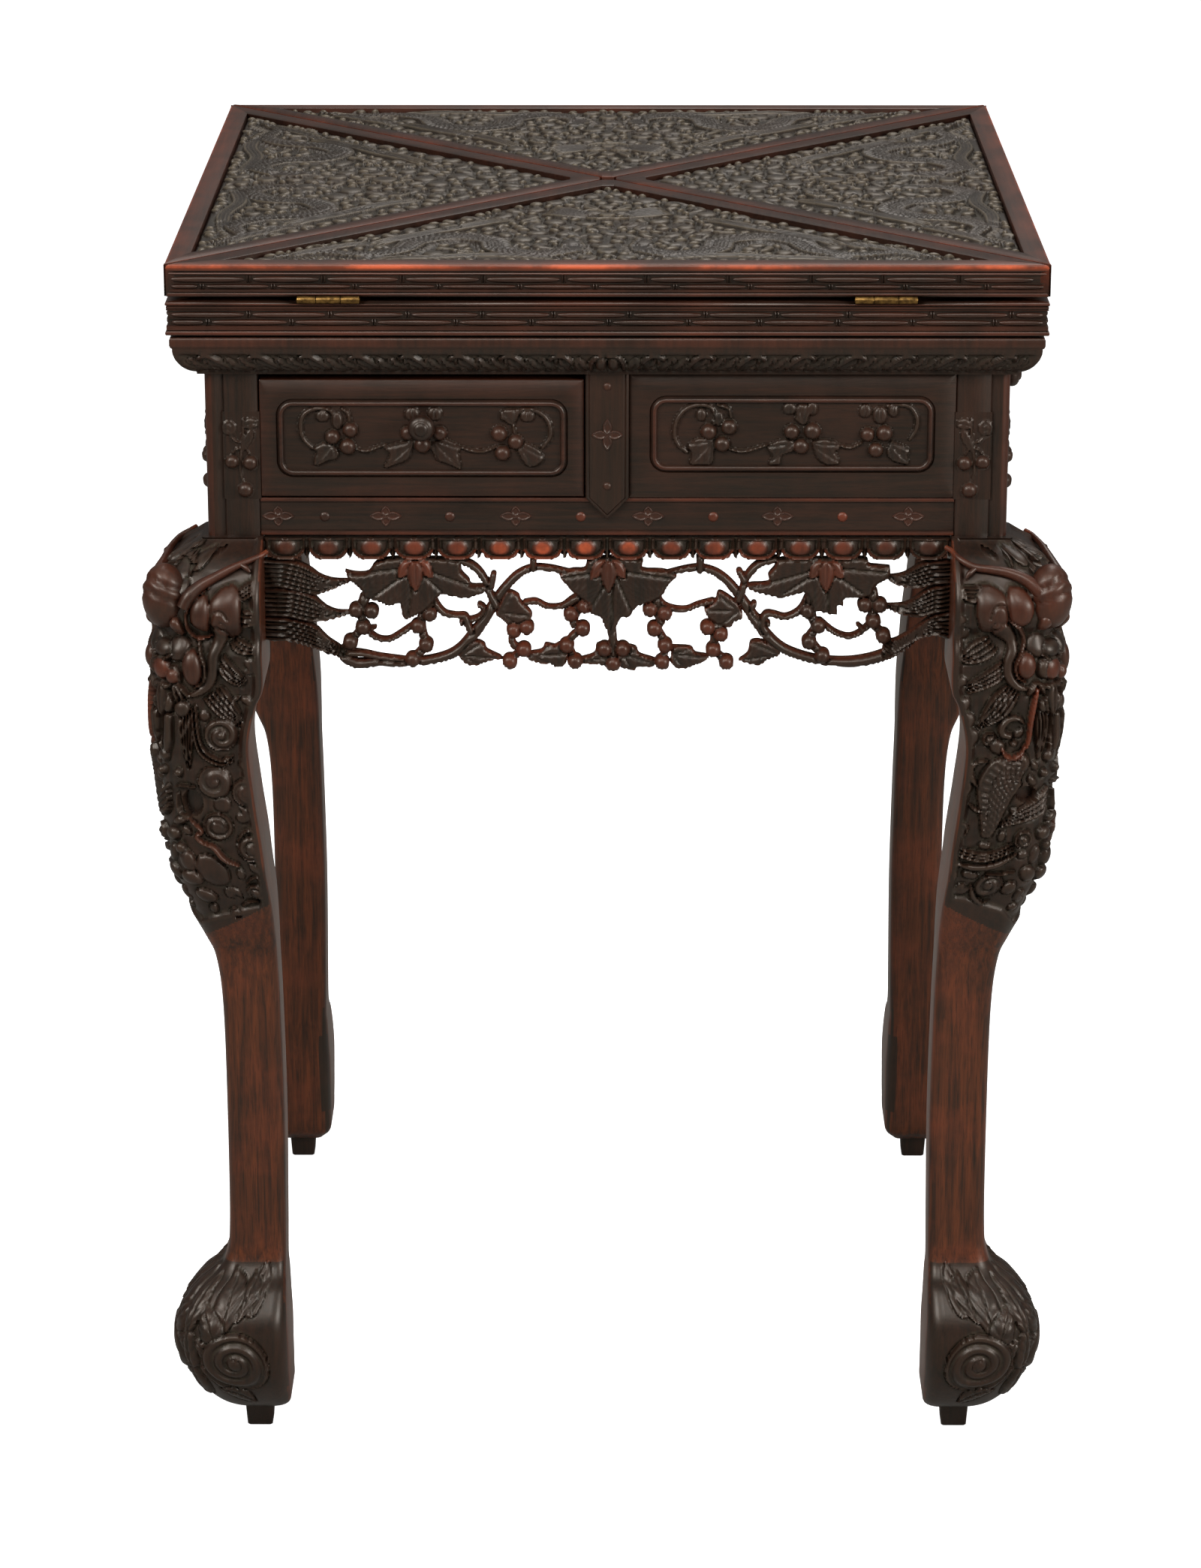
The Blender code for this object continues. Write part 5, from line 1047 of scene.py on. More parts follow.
def gourd(made):
    """The big fruit on the knee's arris; two cuts part it into segments that fall away from the arris."""
    rows, sides = 30, 44
    lat = np.linspace(0.03, math.pi - 0.03, rows)[:, None]
    lon = np.linspace(-math.pi, math.pi, sides, endpoint=False)[None, :]
    high = np.cos(lat) + 0 * lon
    pinch = np.ones_like(high)
    for place in (0.30, 0.72):
        pinch -= 0.12 * np.exp(-((high - place + 0.26 * np.abs(lon)) / 0.075) ** 2)
    # Measured from the diagonal that the leg's arris points along
    spot = np.stack((np.sin(lat) * np.cos(lon) * pinch, np.sin(lat) * np.sin(lon) * pinch, high * pinch), -1)
    outer = (BOX_HALF + 0.95 * KNEE_REACH) / MM - GOURD_IN
    c = math.sqrt(0.5)
    x = -outer - GOURD_HALF[0] * (spot[..., 0] - spot[..., 1]) * c
    y = -outer - GOURD_HALF[0] * (spot[..., 0] + spot[..., 1]) * c
    shade = 0.72 - 4.0 * (1 - pinch)
    made.loft(np.stack((x, y, GOURD_MIDDLE + GOURD_HALF[1] * spot[..., 2]), -1) * MM, shade, 0.16)


def carve_foot(ground):
    """Scrolls on both outer faces of the foot, and acanthus leaves wrapped over its arris."""
    for hand in (-1, 1):
        outer = float(leg_section(np.array([SCROLL_HEIGHT]))[0][0])
        inward = outer - (BOX_HALF / MM - 13.8)
        place = (hand * arc_place(SCROLL_HEIGHT, inward), SCROLL_HEIGHT)
        ground.blade((place[0] + hand * 10, 96), (place[0] - hand * 4, 124), 7.5, 0.2, 2.4, bend=3 * hand,
                     veins=3)
        for (u0, z0), (u1, z1), wide in (((30, 92), (22, 118), 7), ((24, 84), (8, 120), 8.5),
                                         ((21, 70), (4, 101), 8.5), ((22, 54), (3, 80), 8.5),
                                         ((24, 40), (6, 59), 8), ((28, 30), (12, 42), 7)):
            ground.blade((hand * u0, z0), (hand * u1, z1), wide, 0.2, 2.8, bend=-3.5 * hand, veins=4,
                         cut=1.5)
        ground.spiral(place, 21.5, 2.1, -hand, 1.4 if hand > 0 else math.pi - 1.4, 0.6, 4.2, cut=1.8,
                      eye=0.22)
        for step in range(5):
            ground.stroke([(place[0] + hand * (24 - step * 0.6), 40 + step * 6),
                           (place[0] + hand * (26 - step), 44 + step * 6)], (0.5, 0.9, 0.4), 0.4, 1.0)
    ground.blade((0, 56), (0, 88), 6.0, 1.0, 2.8, veins=4, cut=1.4)
    ground.blade((0, 84), (0, 117), 6.0, 0.8, 2.6, veins=4, cut=1.4)
    ground.blade((0, 34), (0, 60), 6.0, 1.0, 2.6, veins=4, cut=1.4)


def leg_piece():
    """The front left leg with its corner post, all as one carving."""
    levels = LEG_LEVELS
    outer, inner, radius = leg_section(levels)
    inside = (outer - inner) * np.interp(levels, (330, 400), (0.16, 0.06))
    half = radius * math.pi / 4 + outer - radius - inner - inside
    part = np.linspace(-1, 1, OUTER_COLUMNS)
    u = part[None, :] * half[:, None]
    v = np.repeat(levels[:, None], OUTER_COLUMNS, 1)
    ground = Ground(u, v)
    edge = np.interp(u, *KNEE_EDGE)
    knee = np.clip((v - edge) / 5, 0, 1)
    ground.height -= KNEE_SINK * knee
    ground.taken |= (v < edge + 4) | (v > 600)
    carve_knee(ground)
    ground.fill(7, ((5.6, 260), (3.6, 420)), -3.2, 2.0)
    # Shallow waves run over what is left of the ground
    wave = 0.35 * np.sin(v / 2.1 + 1.6 * np.sin(u / 7.0)) * np.clip((v - 372) / 20, 0, 1)
    ground.height += np.where(ground.taken | (knee < 1), 0, wave)
    ground.height = np.where(knee > 0, ground.height * np.clip(knee * 1.4, 0, 1), ground.height)
    foot = Ground(u, v)
    carve_foot(foot)
    low = v < 130
    ground.height = np.where(low, foot.height, ground.height)
    # Level out towards the inner edges, the top and the sole
    fade = np.clip((half[:, None] - np.abs(u)) / 2.5, 0, 1) * np.clip((LEG_TOP / MM - v) / 1.5, 0, 1)
    fade = fade * np.clip((v - 19) / 4, 0, 1)
    proud = np.where((v > edge) | (v < 122), ground.proud(3, 1.5), 0.62)
    proud = np.where(ground.height < PIT_DEEP, 0.5, proud)
    ground.height *= fade

    arc = radius[:, None] * math.pi / 4
    turn = np.clip(u / np.maximum(radius[:, None], 1e-6), -math.pi / 4, math.pi / 4) + math.pi / 4
    straight = np.maximum(np.abs(u) - arc, 0)
    middle = (outer - radius)[:, None]
    # Angle runs from the front face, 0, to the side face, a quarter turn
    x = middle + radius[:, None] * np.sin(turn) - np.where(u < 0, straight, 0)
    y = middle + radius[:, None] * np.cos(turn) - np.where(u > 0, straight, 0)
    x = x + ground.height * np.sin(turn)
    y = y + ground.height * np.cos(turn)
    sheet = np.stack((-x, -y, v), -1)
    # Inner faces, plain, from the side face round to the front one
    small = inside[:, None]
    spots = []
    for centre_x, centre_y, start in ((outer[:, None] - small, inner[:, None] + small, 0.0),
                                      (inner[:, None] + small, inner[:, None] + small, QUARTER),
                                      (inner[:, None] + small, outer[:, None] - small, 2 * QUARTER)):
        for step in range(6):
            angle = start + step / 5 * QUARTER
            if (start == 0.0 and step == 0) or (start == 2 * QUARTER and step == 5):
                continue
            spots.append(np.concatenate((-(centre_x + small * math.cos(angle)),
                                         -(centre_y - small * math.sin(angle)), levels[:, None]), 1))
    inner_sheet = np.stack(spots, 1)
    ring = np.concatenate((sheet, inner_sheet), 1) * MM
    shade = np.concatenate((proud, np.full(inner_sheet.shape[:2], 0.62)), 1)
    wear = np.concatenate((ground.rubbed, np.zeros(inner_sheet.shape[:2])), 1)
    made = Carving()
    made.loft(ring, shade.ravel(), wear.ravel())

    def out(u_mm, z_mm, rise):
        """A point so far out from the leg's surface."""
        o, _, r = (float(value[0]) for value in leg_section(np.array([float(z_mm)])))
        angle = min(max(u_mm / r, -math.pi / 4), math.pi / 4) + math.pi / 4
        spare = max(abs(u_mm) - r * math.pi / 4, 0)
        x_mm = o - r + (r + rise) * math.sin(angle) - (spare if u_mm < 0 else 0)
        y_mm = o - r + (r + rise) * math.cos(angle) - (spare if u_mm > 0 else 0)
        return np.array((-x_mm, -y_mm, z_mm)) * MM

    for face, hand in ((0, -1), (1, 1)):
        def spot(place, rise, hand=hand):
            """A place on this face, out from it."""
            return out(hand * max(arc_place(place[1], place[0]), 0.0), place[1], rise)

        # The branch stands free of the work and ends in a forked nub
        run = BRANCHES[face]
        rises = np.interp(range(len(run)), (0, 2, len(run) - 3, len(run) - 1), (-1.0, 0.4, -0.4, -1.4))
        made.tube([spot(place, rise) for place, rise in zip(run, rises)],
                  np.array((1.5, 1.7, 2.0, 2.5, 3.0, 3.6, 4.3, 4.0)) * MM, 12, out=(-1, -1, 0), rubbed=0.18)
        start, end = FORKS[face]
        bow = ((start[0] + end[0]) / 2 + 1, (start[1] + end[1]) / 2)
        made.tube([spot(start, 0.6), spot(bow, 0.8), spot(end, 0.0)], np.array((1.6, 1.7, 0.7)) * MM, 9,
                  out=(-1, -1, 0), rubbed=0.1)
    gourd(made)
    return made


# Stem, leaves, curl and three berries on each face of a post, in millimetres from the sprig's middle
POST_VINE = (
    ((((-1.5, 23), (-1, 12), (0.6, 0), (0.9, -11), (-0.6, -17)), 1.2), (((0.4, 5), (4, 3.5), (6.3, 0)), 0.9),
     (((0, 6), (-3, 4), (-4.9, 0)), 0.9), (((0, 8), (4, 9.5), (7, 13)), 1.0)),
    ((((-0.5, 2), (-3.8, 5), (-7.6, 11), (-8.0, 16.5), (-4.5, 16.2), (-1.6, 12), (0.2, 7)), (-0.8, 3),
      ((-6.9, 15.6),)),
     (((-10, 18), (-9.6, 23), (-3.4, 23.6), (-1.2, 19.6), (-2.3, 17.2), (-7, 17)), (-1.8, 19),
      ((-9.2, 20.6),))),
    ((7.4, 17.4, 4.8, 5.2), (7.6, 18.2, 2.4, 2.6)),
    ((-5.2, -4.7, 4.6), (6.1, -4, 4.3), (-1.8, -22, 4.8)),
)


def post_carving(made):
    """The corner post above the leg: a beaded arris and, on each face, a sprig with three berries."""
    inner, face = POST_INNER / MM, BOX_HALF / MM
    bead = 5.2
    middle = face - bead
    quirk = middle - bead * 1.25
    outline = [(inner, inner), (inner, face - 1.0), (inner + 1.0, face), (quirk - 0.6, face),
               (quirk, face - 0.7), (quirk + 0.5, face - 1.6)]
    outline += [(middle + bead * math.cos(a), middle + bead * math.sin(a))
                for a in np.linspace(math.radians(118), math.radians(-28), 15)]
    outline += [(face - 1.6, quirk + 0.5), (face - 0.7, quirk), (face, quirk - 0.6), (face, inner + 1.0),
                (face - 1.0, inner)]
    section = -np.array(outline) * MM
    rings = []
    for z in (LEG_TOP - 0.0008, CORNICE_BOTTOM - GAP):
        rings.append(np.column_stack((section, np.full(len(section), z))))
    worn = [0.16 if 9 < index < 17 else 0.0 for index in range(len(outline))]
    made.loft(rings, 0.62, np.tile(worn, 2))
    sprig = vine_relief(POST_VINE, ((inner + quirk) / 2, 668), (11.5, 28), 0.06)
    points = np.vstack(sprig.points)
    marks = np.vstack(sprig.marks)
    front = np.column_stack((-points[:, 0], -(face + points[:, 2]), points[:, 1])) * MM
    side = np.column_stack((-(face + points[:, 2]), -points[:, 0], points[:, 1])) * MM
    for spots in (front, side):
        made.add(spots, sprig.faces, marks[:, 0], marks[:, 1])


def peg(made):
    """The short tapered block under the foot."""
    outer, inner, _ = leg_section(np.array([FOOT_BASE]))
    middle = -(float(outer[0]) + float(inner[0])) / 2
    rings = []
    for half, z in ((7.6, 0.0), (8.3, 0.7), (9.5, 17.6)):
        rings.append([(middle + a * half, middle + b * half, z) for a, b in
                      ((-1, -0.88), (-0.88, -1), (0.88, -1), (1, -0.88), (1, 0.88), (0.88, 1), (-0.88, 1),
                       (-1, 0.88))])
    made.loft(np.array(rings) * MM, 0.5)


def make_legs():
    """Four legs alike, each turned to its corner."""
    made = leg_piece()
    post_carving(made)
    peg(made)
    leg = made.build("leg")
    leg_finish(leg)
    four(leg, "leg_carved", CORNERS, ("stand",) * 4, "ebonised_hardwood", ("leg",))


# Heights at which the leg's inner faces are looked up
LEG_HEIGHTS = np.arange(0.0, 617.0, 3.0)


def leg_finish(leg):
    """Carved black at knee and foot, planed and rubbed red-brown on the stem, plain on the post."""
    for finish in (CARVED, RUBBED["z"], EBONY["z"]):
        leg.data.materials.append(finish)
    x, y, z = face_centres(leg)
    edge = np.interp(np.minimum(-x, -y), (0.20, 0.235, 0.262), (0.388, 0.366, 0.352))
    inner = np.interp(z, LEG_HEIGHTS * MM, leg_section(LEG_HEIGHTS)[1]) * MM
    inward = np.minimum(-x, -y) < inner + 0.0012
    stem = (z < edge) & (z > 0.1235)
    index = np.where(stem, 1, np.where(z > LEG_TOP - 0.0009, 2, 0))
    post_carved = (z > LEG_TOP) & (np.maximum(-x, -y) > BOX_HALF + 0.0002)
    index = np.where(post_carved, 0, index)
    index = np.where(inward & (z < LEG_TOP - 0.001), 1, index)
    leg.data.polygons.foreach_set("material_index", index.astype(np.int32))


# Studio

# Name, place, size and power of each lamp
LAMPS = (
    ("key_left", (-1.9, -2.0, 2.3), 1.1, 66), ("fill_right", (2.2, -1.8, 1.5), 1.0, 54),
    ("over_top", (0.1, 0.3, 2.6), 1.3, 18), ("front_strip", (0.0, -2.2, 2.7), 1.0, 30),
    ("back_soft", (0.5, 1.5, 3.3), 1.6, 30),
)
LAMPS_AIM = (0, 0, 0.55)
# The camera that fits the photograph: its place, focal length, tilt below level and roll
CAMERA_PLACE = (0.004725, -3.12032, 1.40679)
CAMERA_LENS = 109.52
CAMERA_TILT = 0.3206
CAMERA_ROLL = 0.0031


def studio():
    """A pale sweep of floor, soft lamps and the photograph's camera."""
    bpy.ops.mesh.primitive_plane_add(size=14, location=(0, 2, -0.0006))
    floor = settle(bpy.context.object)
    floor.name = "studio_floor"
    made, tree, shader = new_finish("matt_paper_sweep")
    floor.data.materials.append(made)
    # Seen straight on the sweep is nearly white, with the table's shadow left on it
    seen = add(tree, "LightPath")
    glow = add(tree, "Emission", [("Color", linear("FFFFFF")), ("Strength", 0.90)])
    matt = add(tree, "BsdfDiffuse", [("Color", linear("DADADA"))])
    both = add(tree, "AddShader", [(0, matt.outputs[0]), (1, glow.outputs[0])])
    plain = add(tree, "BsdfDiffuse", [("Color", linear("9C9A95"))])
    mixed = add(tree, "MixShader", [("Fac", seen.outputs["Is Camera Ray"]), (1, plain.outputs[0]),
                                    (2, both.outputs[0])])
    tree.links.new(mixed.outputs[0], tree.nodes["Material Output"].inputs["Surface"])
    tree.nodes.remove(shader)

    world = bpy.data.worlds.new("studio_air")
    bpy.context.scene.world = world
    world.use_nodes = True
    tree = world.node_tree
    air = tree.nodes["Background"]
    air.inputs["Color"].default_value = linear("FAF8F4")
    ray = add(tree, "SeparateXYZ", [("Vector", add(tree, "TexCoord").outputs["Generated"])])
    lift = add(tree, "MapRange", [("Value", ray.outputs["Z"]), ("From Min", 0.05), ("From Max", 0.75),
                                  ("To Min", 0.13), ("To Max", 0.34)])
    tree.links.new(lift.outputs[0], air.inputs["Strength"])
    white = add(tree, "Background", [("Color", (1, 1, 1, 1)), ("Strength", 1.0)])
    seen = add(tree, "LightPath")
    either = add(tree, "Math", [(0, seen.outputs["Is Camera Ray"]),
                                (1, seen.outputs["Is Transmission Ray"])],
                 operation="MAXIMUM")
    mixed = add(tree, "MixShader", [("Fac", either.outputs[0]), (1, air.outputs[0]), (2, white.outputs[0])])
    tree.links.new(mixed.outputs[0], tree.nodes["World Output"].inputs["Surface"])

    for name, place, size, power in LAMPS:
        bpy.ops.object.light_add(type="AREA", location=place)
        lamp = bpy.context.object
        lamp.name = name
        lamp.data.size, lamp.data.energy = size, power
        lamp.rotation_euler = (Vector(LAMPS_AIM) - Vector(place)).to_track_quat("-Z", "Y").to_euler()

    bpy.ops.object.camera_add(location=CAMERA_PLACE)
    camera = bpy.context.object
    camera.data.lens = CAMERA_LENS
    camera.rotation_euler = (QUARTER - CAMERA_TILT, 0, CAMERA_ROLL)
    bpy.context.scene.camera = camera
    bpy.context.scene.view_settings.view_transform = "Standard"


# Carved panels of the leaves

# The panel's base line and tip before the table's middle, half its base, and its rows and half columns
PANEL_BASE = -0.2557
PANEL_HALF = 0.2342
PANEL_TIP = -0.0255
PANEL_ROWS = 226
PANEL_WIDE = 230
PANEL_GROUND = -3.3
# Radius of what is crowded into the ground, and how often each is tried
PANEL_CROWD = ((8.6, 1200), (7.4, 2400), (6.2, 4200), (5.0, 5600), (3.9, 5200), (3.0, 3000))


def dragon(ground, hand, points, widths, level, high):
    """A coiled dragon: scaled body with a comb fin, head with horn and jaws, legs with claws."""
    body = [(hand * a, b) for a, b in points]
    ground.comb(body, 0.80 * widths[3] * hand, 6.0 * hand, 62, level - 0.5, high * 0.6, lean=0.35)
    ground.scales(body, widths, 4.6, level, high, cut=1.8, hand=-hand)
    head = np.array(body[-1], float)
    along = head - np.array(body[-2], float)
    along /= np.linalg.norm(along)
    across = np.array([-along[1], along[0]]) * hand
    ground.strands([head - along * 4 + across * 3, head - along * 14 + across * 9,
                    head - along * 24 + across * 8],
                   [head - along * 2 - across * 3, head - along * 14 - across * 1,
                    head - along * 25 + across * 1],
                   5, level - 0.4, high * 0.8)
    lie = math.atan2(along[1], along[0])
    ground.mound(head + along * 3, (9.5, 7.0), level + 0.2, high, lie, cut=1.4)
    ground.mound(head + along * 12 + across * 1.5, (5.5, 3.6), level + 0.2, high * 0.9, lie)
    ground.mound(head + along * 11 - across * 4.5, (5.0, 2.4), level, high * 0.7, lie - 0.5 * hand)
    ground.mound(head + along * 4 + across * 2.5, (2.2, 2.2), level + 1.2, high * 0.7, cut=1.0)
    ground.stroke([head + along * 2 + across * 4, head - along * 5 + across * 8,
                   head - along * 13 + across * 9],
                  (1.4, 1.2, 0.5), level, high * 0.9)
    ground.stroke([head + along * 15, head + along * 21 + across * 4, head + along * 20 + across * 11],
                  (1.0, 0.9, 0.4), level, high * 0.7)


def claw(ground, spot, angle, level, high):
    """A foreleg with four hooked claws."""
    along = np.array([math.cos(angle), math.sin(angle)])
    across = np.array([-along[1], along[0]])
    spot = np.array(spot, float)
    ground.stroke([spot - along * 13 - across * 2, spot - along * 6 + across * 1, spot], (3.4, 2.8, 2.4),
                  level, high)
    for step in (-1.5, -0.5, 0.5, 1.5):
        tip = spot + along * (10 - abs(step) * 2) + across * step * 5
        ground.stroke([spot, spot + along * 5 + across * step * 3.4, tip], (1.5, 1.4, 0.4), level,
                      high * 0.9)


def carve_leaf_panel(ground, masked):
    """Two dragons face each other among clouds; the front and back leaves also carry a beast mask."""
    for hand in (-1, 1):
        dragon(ground, hand, [(204, 12), (178, 26), (150, 20), (128, 34), (118, 60), (96, 74), (72, 62),
                              (66, 36), (44, 22), (24, 34), (22, 56)],
               (1.8, 5.0, 8.0, 9.4, 10.0, 9.8, 8.6, 6.6), -2.2, 1.9)
        for a, b, right, left in ((150, 50, 2.0, 1.14), (92, 30, -2.4, -0.74), (66, 92, 2.5, 0.64),
                                  (176, 44, 1.2, 1.94)):
            claw(ground, (hand * a, b), right if hand > 0 else left, -1.9, 1.7)
        for first, last in ((((34, 7), (74, 13), (112, 6), (150, 8)),
                             ((34, 16), (74, 23), (112, 16), (150, 16))),
                            (((148, 58), (122, 84), (94, 108), (66, 138)),
                             ((138, 50), (112, 78), (84, 100), (58, 128))),
                            (((196, 24), (172, 44), (150, 62)), ((190, 16), (166, 36), (146, 52)))):
            ground.strands([(hand * a, b) for a, b in first], [(hand * a, b) for a, b in last], 4, -2.4, 2.1)
        for spot, angle in (((102, 92), 2.0), ((54, 112), 2.2)):
            near, far = (hand * (spot[0] + reach * math.cos(angle)) for reach in (10, 22))
            ground.strands([(hand * spot[0], spot[1]), (near, spot[1] + 6), (far, spot[1] + 5)],
                           [(hand * (spot[0] + 2), spot[1] + 8), (near, spot[1] + 15), (far, spot[1] + 14)],
                           4, -2.2, 1.9)
    if masked:
        # Mask near the leaf's point: brows, eyes, nose, mane and a pearl above
        for hand in (-1, 1):
            ground.strands([(hand * 10, 148), (hand * 22, 160), (hand * 34, 166)],
                           [(hand * 14, 132), (hand * 28, 134), (hand * 42, 142)], 6, -1.6, 1.2)
            ground.mound((hand * 9, 146), (6, 5.5), -1.4, 1.2, cut=1.2)
            ground.mound((hand * 9, 146), (3.2, 3.2), -0.4, 0.9, cut=0.9)
            ground.stroke([(hand * 2, 152), (hand * 9, 155), (hand * 17, 152)], (1.2, 2.0, 0.8), -1.2, 1.1)
            ground.blade((hand * 6, 158), (hand * 14, 176), 4.5, -1.5, 1.1, bend=-2 * hand)
        ground.mound((0, 139), (5.5, 4.5), -0.9, 1.2, cut=1.1)
        ground.stroke([(-13, 132), (-6, 128), (0, 130), (6, 128), (13, 132)], (1.0, 2.0, 1.8, 2.0, 1.0),
                      -1.2, 1.0)
        ground.mound((0, 166), (5.4, 5.4), -1.3, 1.2)
    else:
        ground.mound((0, 108), (9, 9), -1.5, 1.5, cut=1.4)
        for step in range(10):
            angle = step * 2 * math.pi / 10
            ground.stroke([(far * math.cos(angle + turn), 108 + far * math.sin(angle + turn))
                           for far, turn in ((12, 0.0), (17, 0.3), (20, 0.1))], (1.6, 1.4, 0.4), -1.5, 1.0)
    ground.mound((0, 30), (7.0, 7.0), -1.2, 1.2, cut=1.4)
    for hand in (-1, 1):
        for a, b, size, right, left, way in ((14, 14, 8.0, 2.6, 0.5, 1), (8, 74, 8.5, 2.2, 0.9, -1),
                                             (26, 102, 8.5, 2.0, 1.1, 1)):
            ground.cloud((hand * a, b), size, right if hand > 0 else left, way * hand, -2.0, 1.8)


def leaf_panel(name, masked, seed):
    """One leaf's panel, carved over its whole face, with square lattice cut off at the mitres."""
    step_u, step_v = PANEL_HALF / PANEL_WIDE, (PANEL_TIP - PANEL_BASE) / PANEL_ROWS
    column, row = np.meshgrid(np.arange(-PANEL_WIDE, PANEL_WIDE + 1), np.arange(PANEL_ROWS + 1))
    kept = np.abs(column) <= PANEL_WIDE - row
    ground = Ground(column * step_u / MM, row * step_v / MM, PANEL_GROUND)
    slack = np.minimum((PANEL_WIDE - row - np.abs(column)) * 0.7071, row)
    ground.taken |= (slack < 2) | ~kept
    carve_leaf_panel(ground, masked)
    ground.fill(seed, PANEL_CROWD, -2.9, 2.5)
    ground.height = np.clip(ground.height, PANEL_GROUND - 1.0, -0.15)
    proud = ground.proud(4, 1.5)
    proud = np.where(ground.net, np.clip(0.3 + 0.5 * proud, 0, 0.6), proud)
    rim = kept & (slack <= 0)
    z = np.where(rim, LEAF_BOTTOM + PANEL_SINK, LEAF_TOP + ground.height * MM)
    number = np.full(kept.shape, -1)
    number[kept] = np.arange(kept.sum())
    a, b = number[:-1, :-1], number[:-1, 1:]
    c, d = number[1:, 1:], number[1:, :-1]
    whole = (a >= 0) & (b >= 0) & (c >= 0) & (d >= 0)
    left = (a < 0) & (b >= 0) & (c >= 0) & (d >= 0)
    right = (a >= 0) & (b < 0) & (c >= 0) & (d >= 0)
    left_low = (a >= 0) & (b >= 0) & (c >= 0) & (d < 0)
    right_low = (a >= 0) & (b >= 0) & (c < 0) & (d >= 0)
    faces = np.stack((a, b, c, d), -1)[whole].tolist()
    faces += np.stack((b, c, d), -1)[left].tolist() + np.stack((a, c, d), -1)[right].tolist()
    faces += np.stack((a, b, c), -1)[left_low].tolist() + np.stack((a, b, d), -1)[right_low].tolist()
    made = Carving()
    points = np.stack((column * step_u, PANEL_BASE + row * step_v, z), -1)[kept]
    made.add(points, faces, proud[kept], 0.0)
    return close_back(made.build(name, angle=3.2))


def make_leaf_panels():
    """Two designs: masked on the front and back leaves, plain sunburst on the side ones."""
    for name, masked, seed, turns in (("masked", True, 11, (0, 2)), ("sunburst", False, 23, (1, 3))):
        panel = leaf_panel(name, masked, seed)
        for turn in turns:
            made = turned_copy(panel, "leaf_panel_carved_" + SIDES[turn], turn)
            dress(made, "leaf_" + SIDES[turn], "ebonised_hardwood", "leaf_panel_" + SIDES[turn],
                  finishes=(CARVED_TOP,))
        bpy.data.objects.remove(panel, do_unlink=True)


# Frames of bed and leaves, with their bamboo bars

def rail(outer, inner, section, worn):
    """One mitred rail: outer and inner are the two ends' corners in plan, section is (share in, z)."""
    rings = []
    for start, end in zip(outer, inner):
        start, end = np.array(start), np.array(end)
        rings.append([(*(start + (end - start) * share), z) for share, z in section])
    made = Carving()
    steps = np.linspace(0, 1, 3)
    rows = [np.array(rings[0]) * (1 - part) + np.array(rings[1]) * part for part in steps]
    made.loft(rows, 0.6, np.tile(worn, len(steps)))
    return made


def edge_section(low, high, border, nosing_first):
    """Section of a reeded edge: (share in from the edge, z), with its wear, from the inner foot round.

    The bars stand in two sunk bands, between a nosing and a bead.
    """
    tall = high - low
    if nosing_first:
        shape = ((2.2, 1.000), (0.9, 0.985), (0.25, 0.945), (0.0, 0.89), (0.15, 0.83), (0.7, 0.78),
                 (1.9, 0.765), (1.9, 0.735), (0.9, 0.725), (0.6, 0.70), (0.9, 0.67), (2.1, 0.66),
                 (2.1, 0.425), (1.2, 0.418), (1.2, 0.396), (2.1, 0.388), (2.1, 0.225), (0.8, 0.215),
                 (0.8, 0.15), (1.5, 0.14), (1.5, 0.125), (0.5, 0.115), (0.1, 0.08), (0.1, 0.05),
                 (0.5, 0.012), (1.2, 0.0))
        worn = (0.3, 0.8, 1.0, 1.0, 0.6, 0.1, 0.0, 0.0, 0.25, 0.3, 0.15) + (0.0,) * 6 + (0.1, 0.1, 0.0, 0.0)
        worn += (0.1, 0.25, 0.25, 0.1, 0.0)
    else:
        shape = ((1.6, 1.000), (0.7, 0.985), (0.2, 0.95), (0.2, 0.91), (0.8, 0.885), (1.5, 0.875),
                 (1.5, 0.865), (0.8, 0.855), (0.8, 0.80), (1.3, 0.79), (1.3, 0.775), (0.7, 0.765),
                 (0.7, 0.75), (2.1, 0.735), (2.1, 0.525), (1.2, 0.518), (1.2, 0.496), (2.1, 0.488),
                 (2.1, 0.29), (0.8, 0.28), (0.8, 0.16), (1.5, 0.15), (1.5, 0.135), (0.5, 0.125), (0.0, 0.09),
                 (0.0, 0.05), (0.4, 0.012), (1.2, 0.0))
        worn = (0.1, 0.2, 0.25, 0.2) + (0.0,) * 3 + (0.1,) * 2 + (0.0,) * 2 + (0.15,) * 2 + (0.0,) * 6
        worn += (0.12, 0.12, 0.0, 0.0, 0.1, 0.3, 0.3, 0.1, 0.0)
    section = [(1.0, low), (1.0, high - 0.0004), (1.0 - 0.0006 / border, high)]
    section += [(inset * MM / border, low + tall * up) for inset, up in shape]
    return section, [0.0, 0.15, 0.1] + list(worn)


# How far the bars keep from the rail's two ends
BAR_MARGIN = 0.004


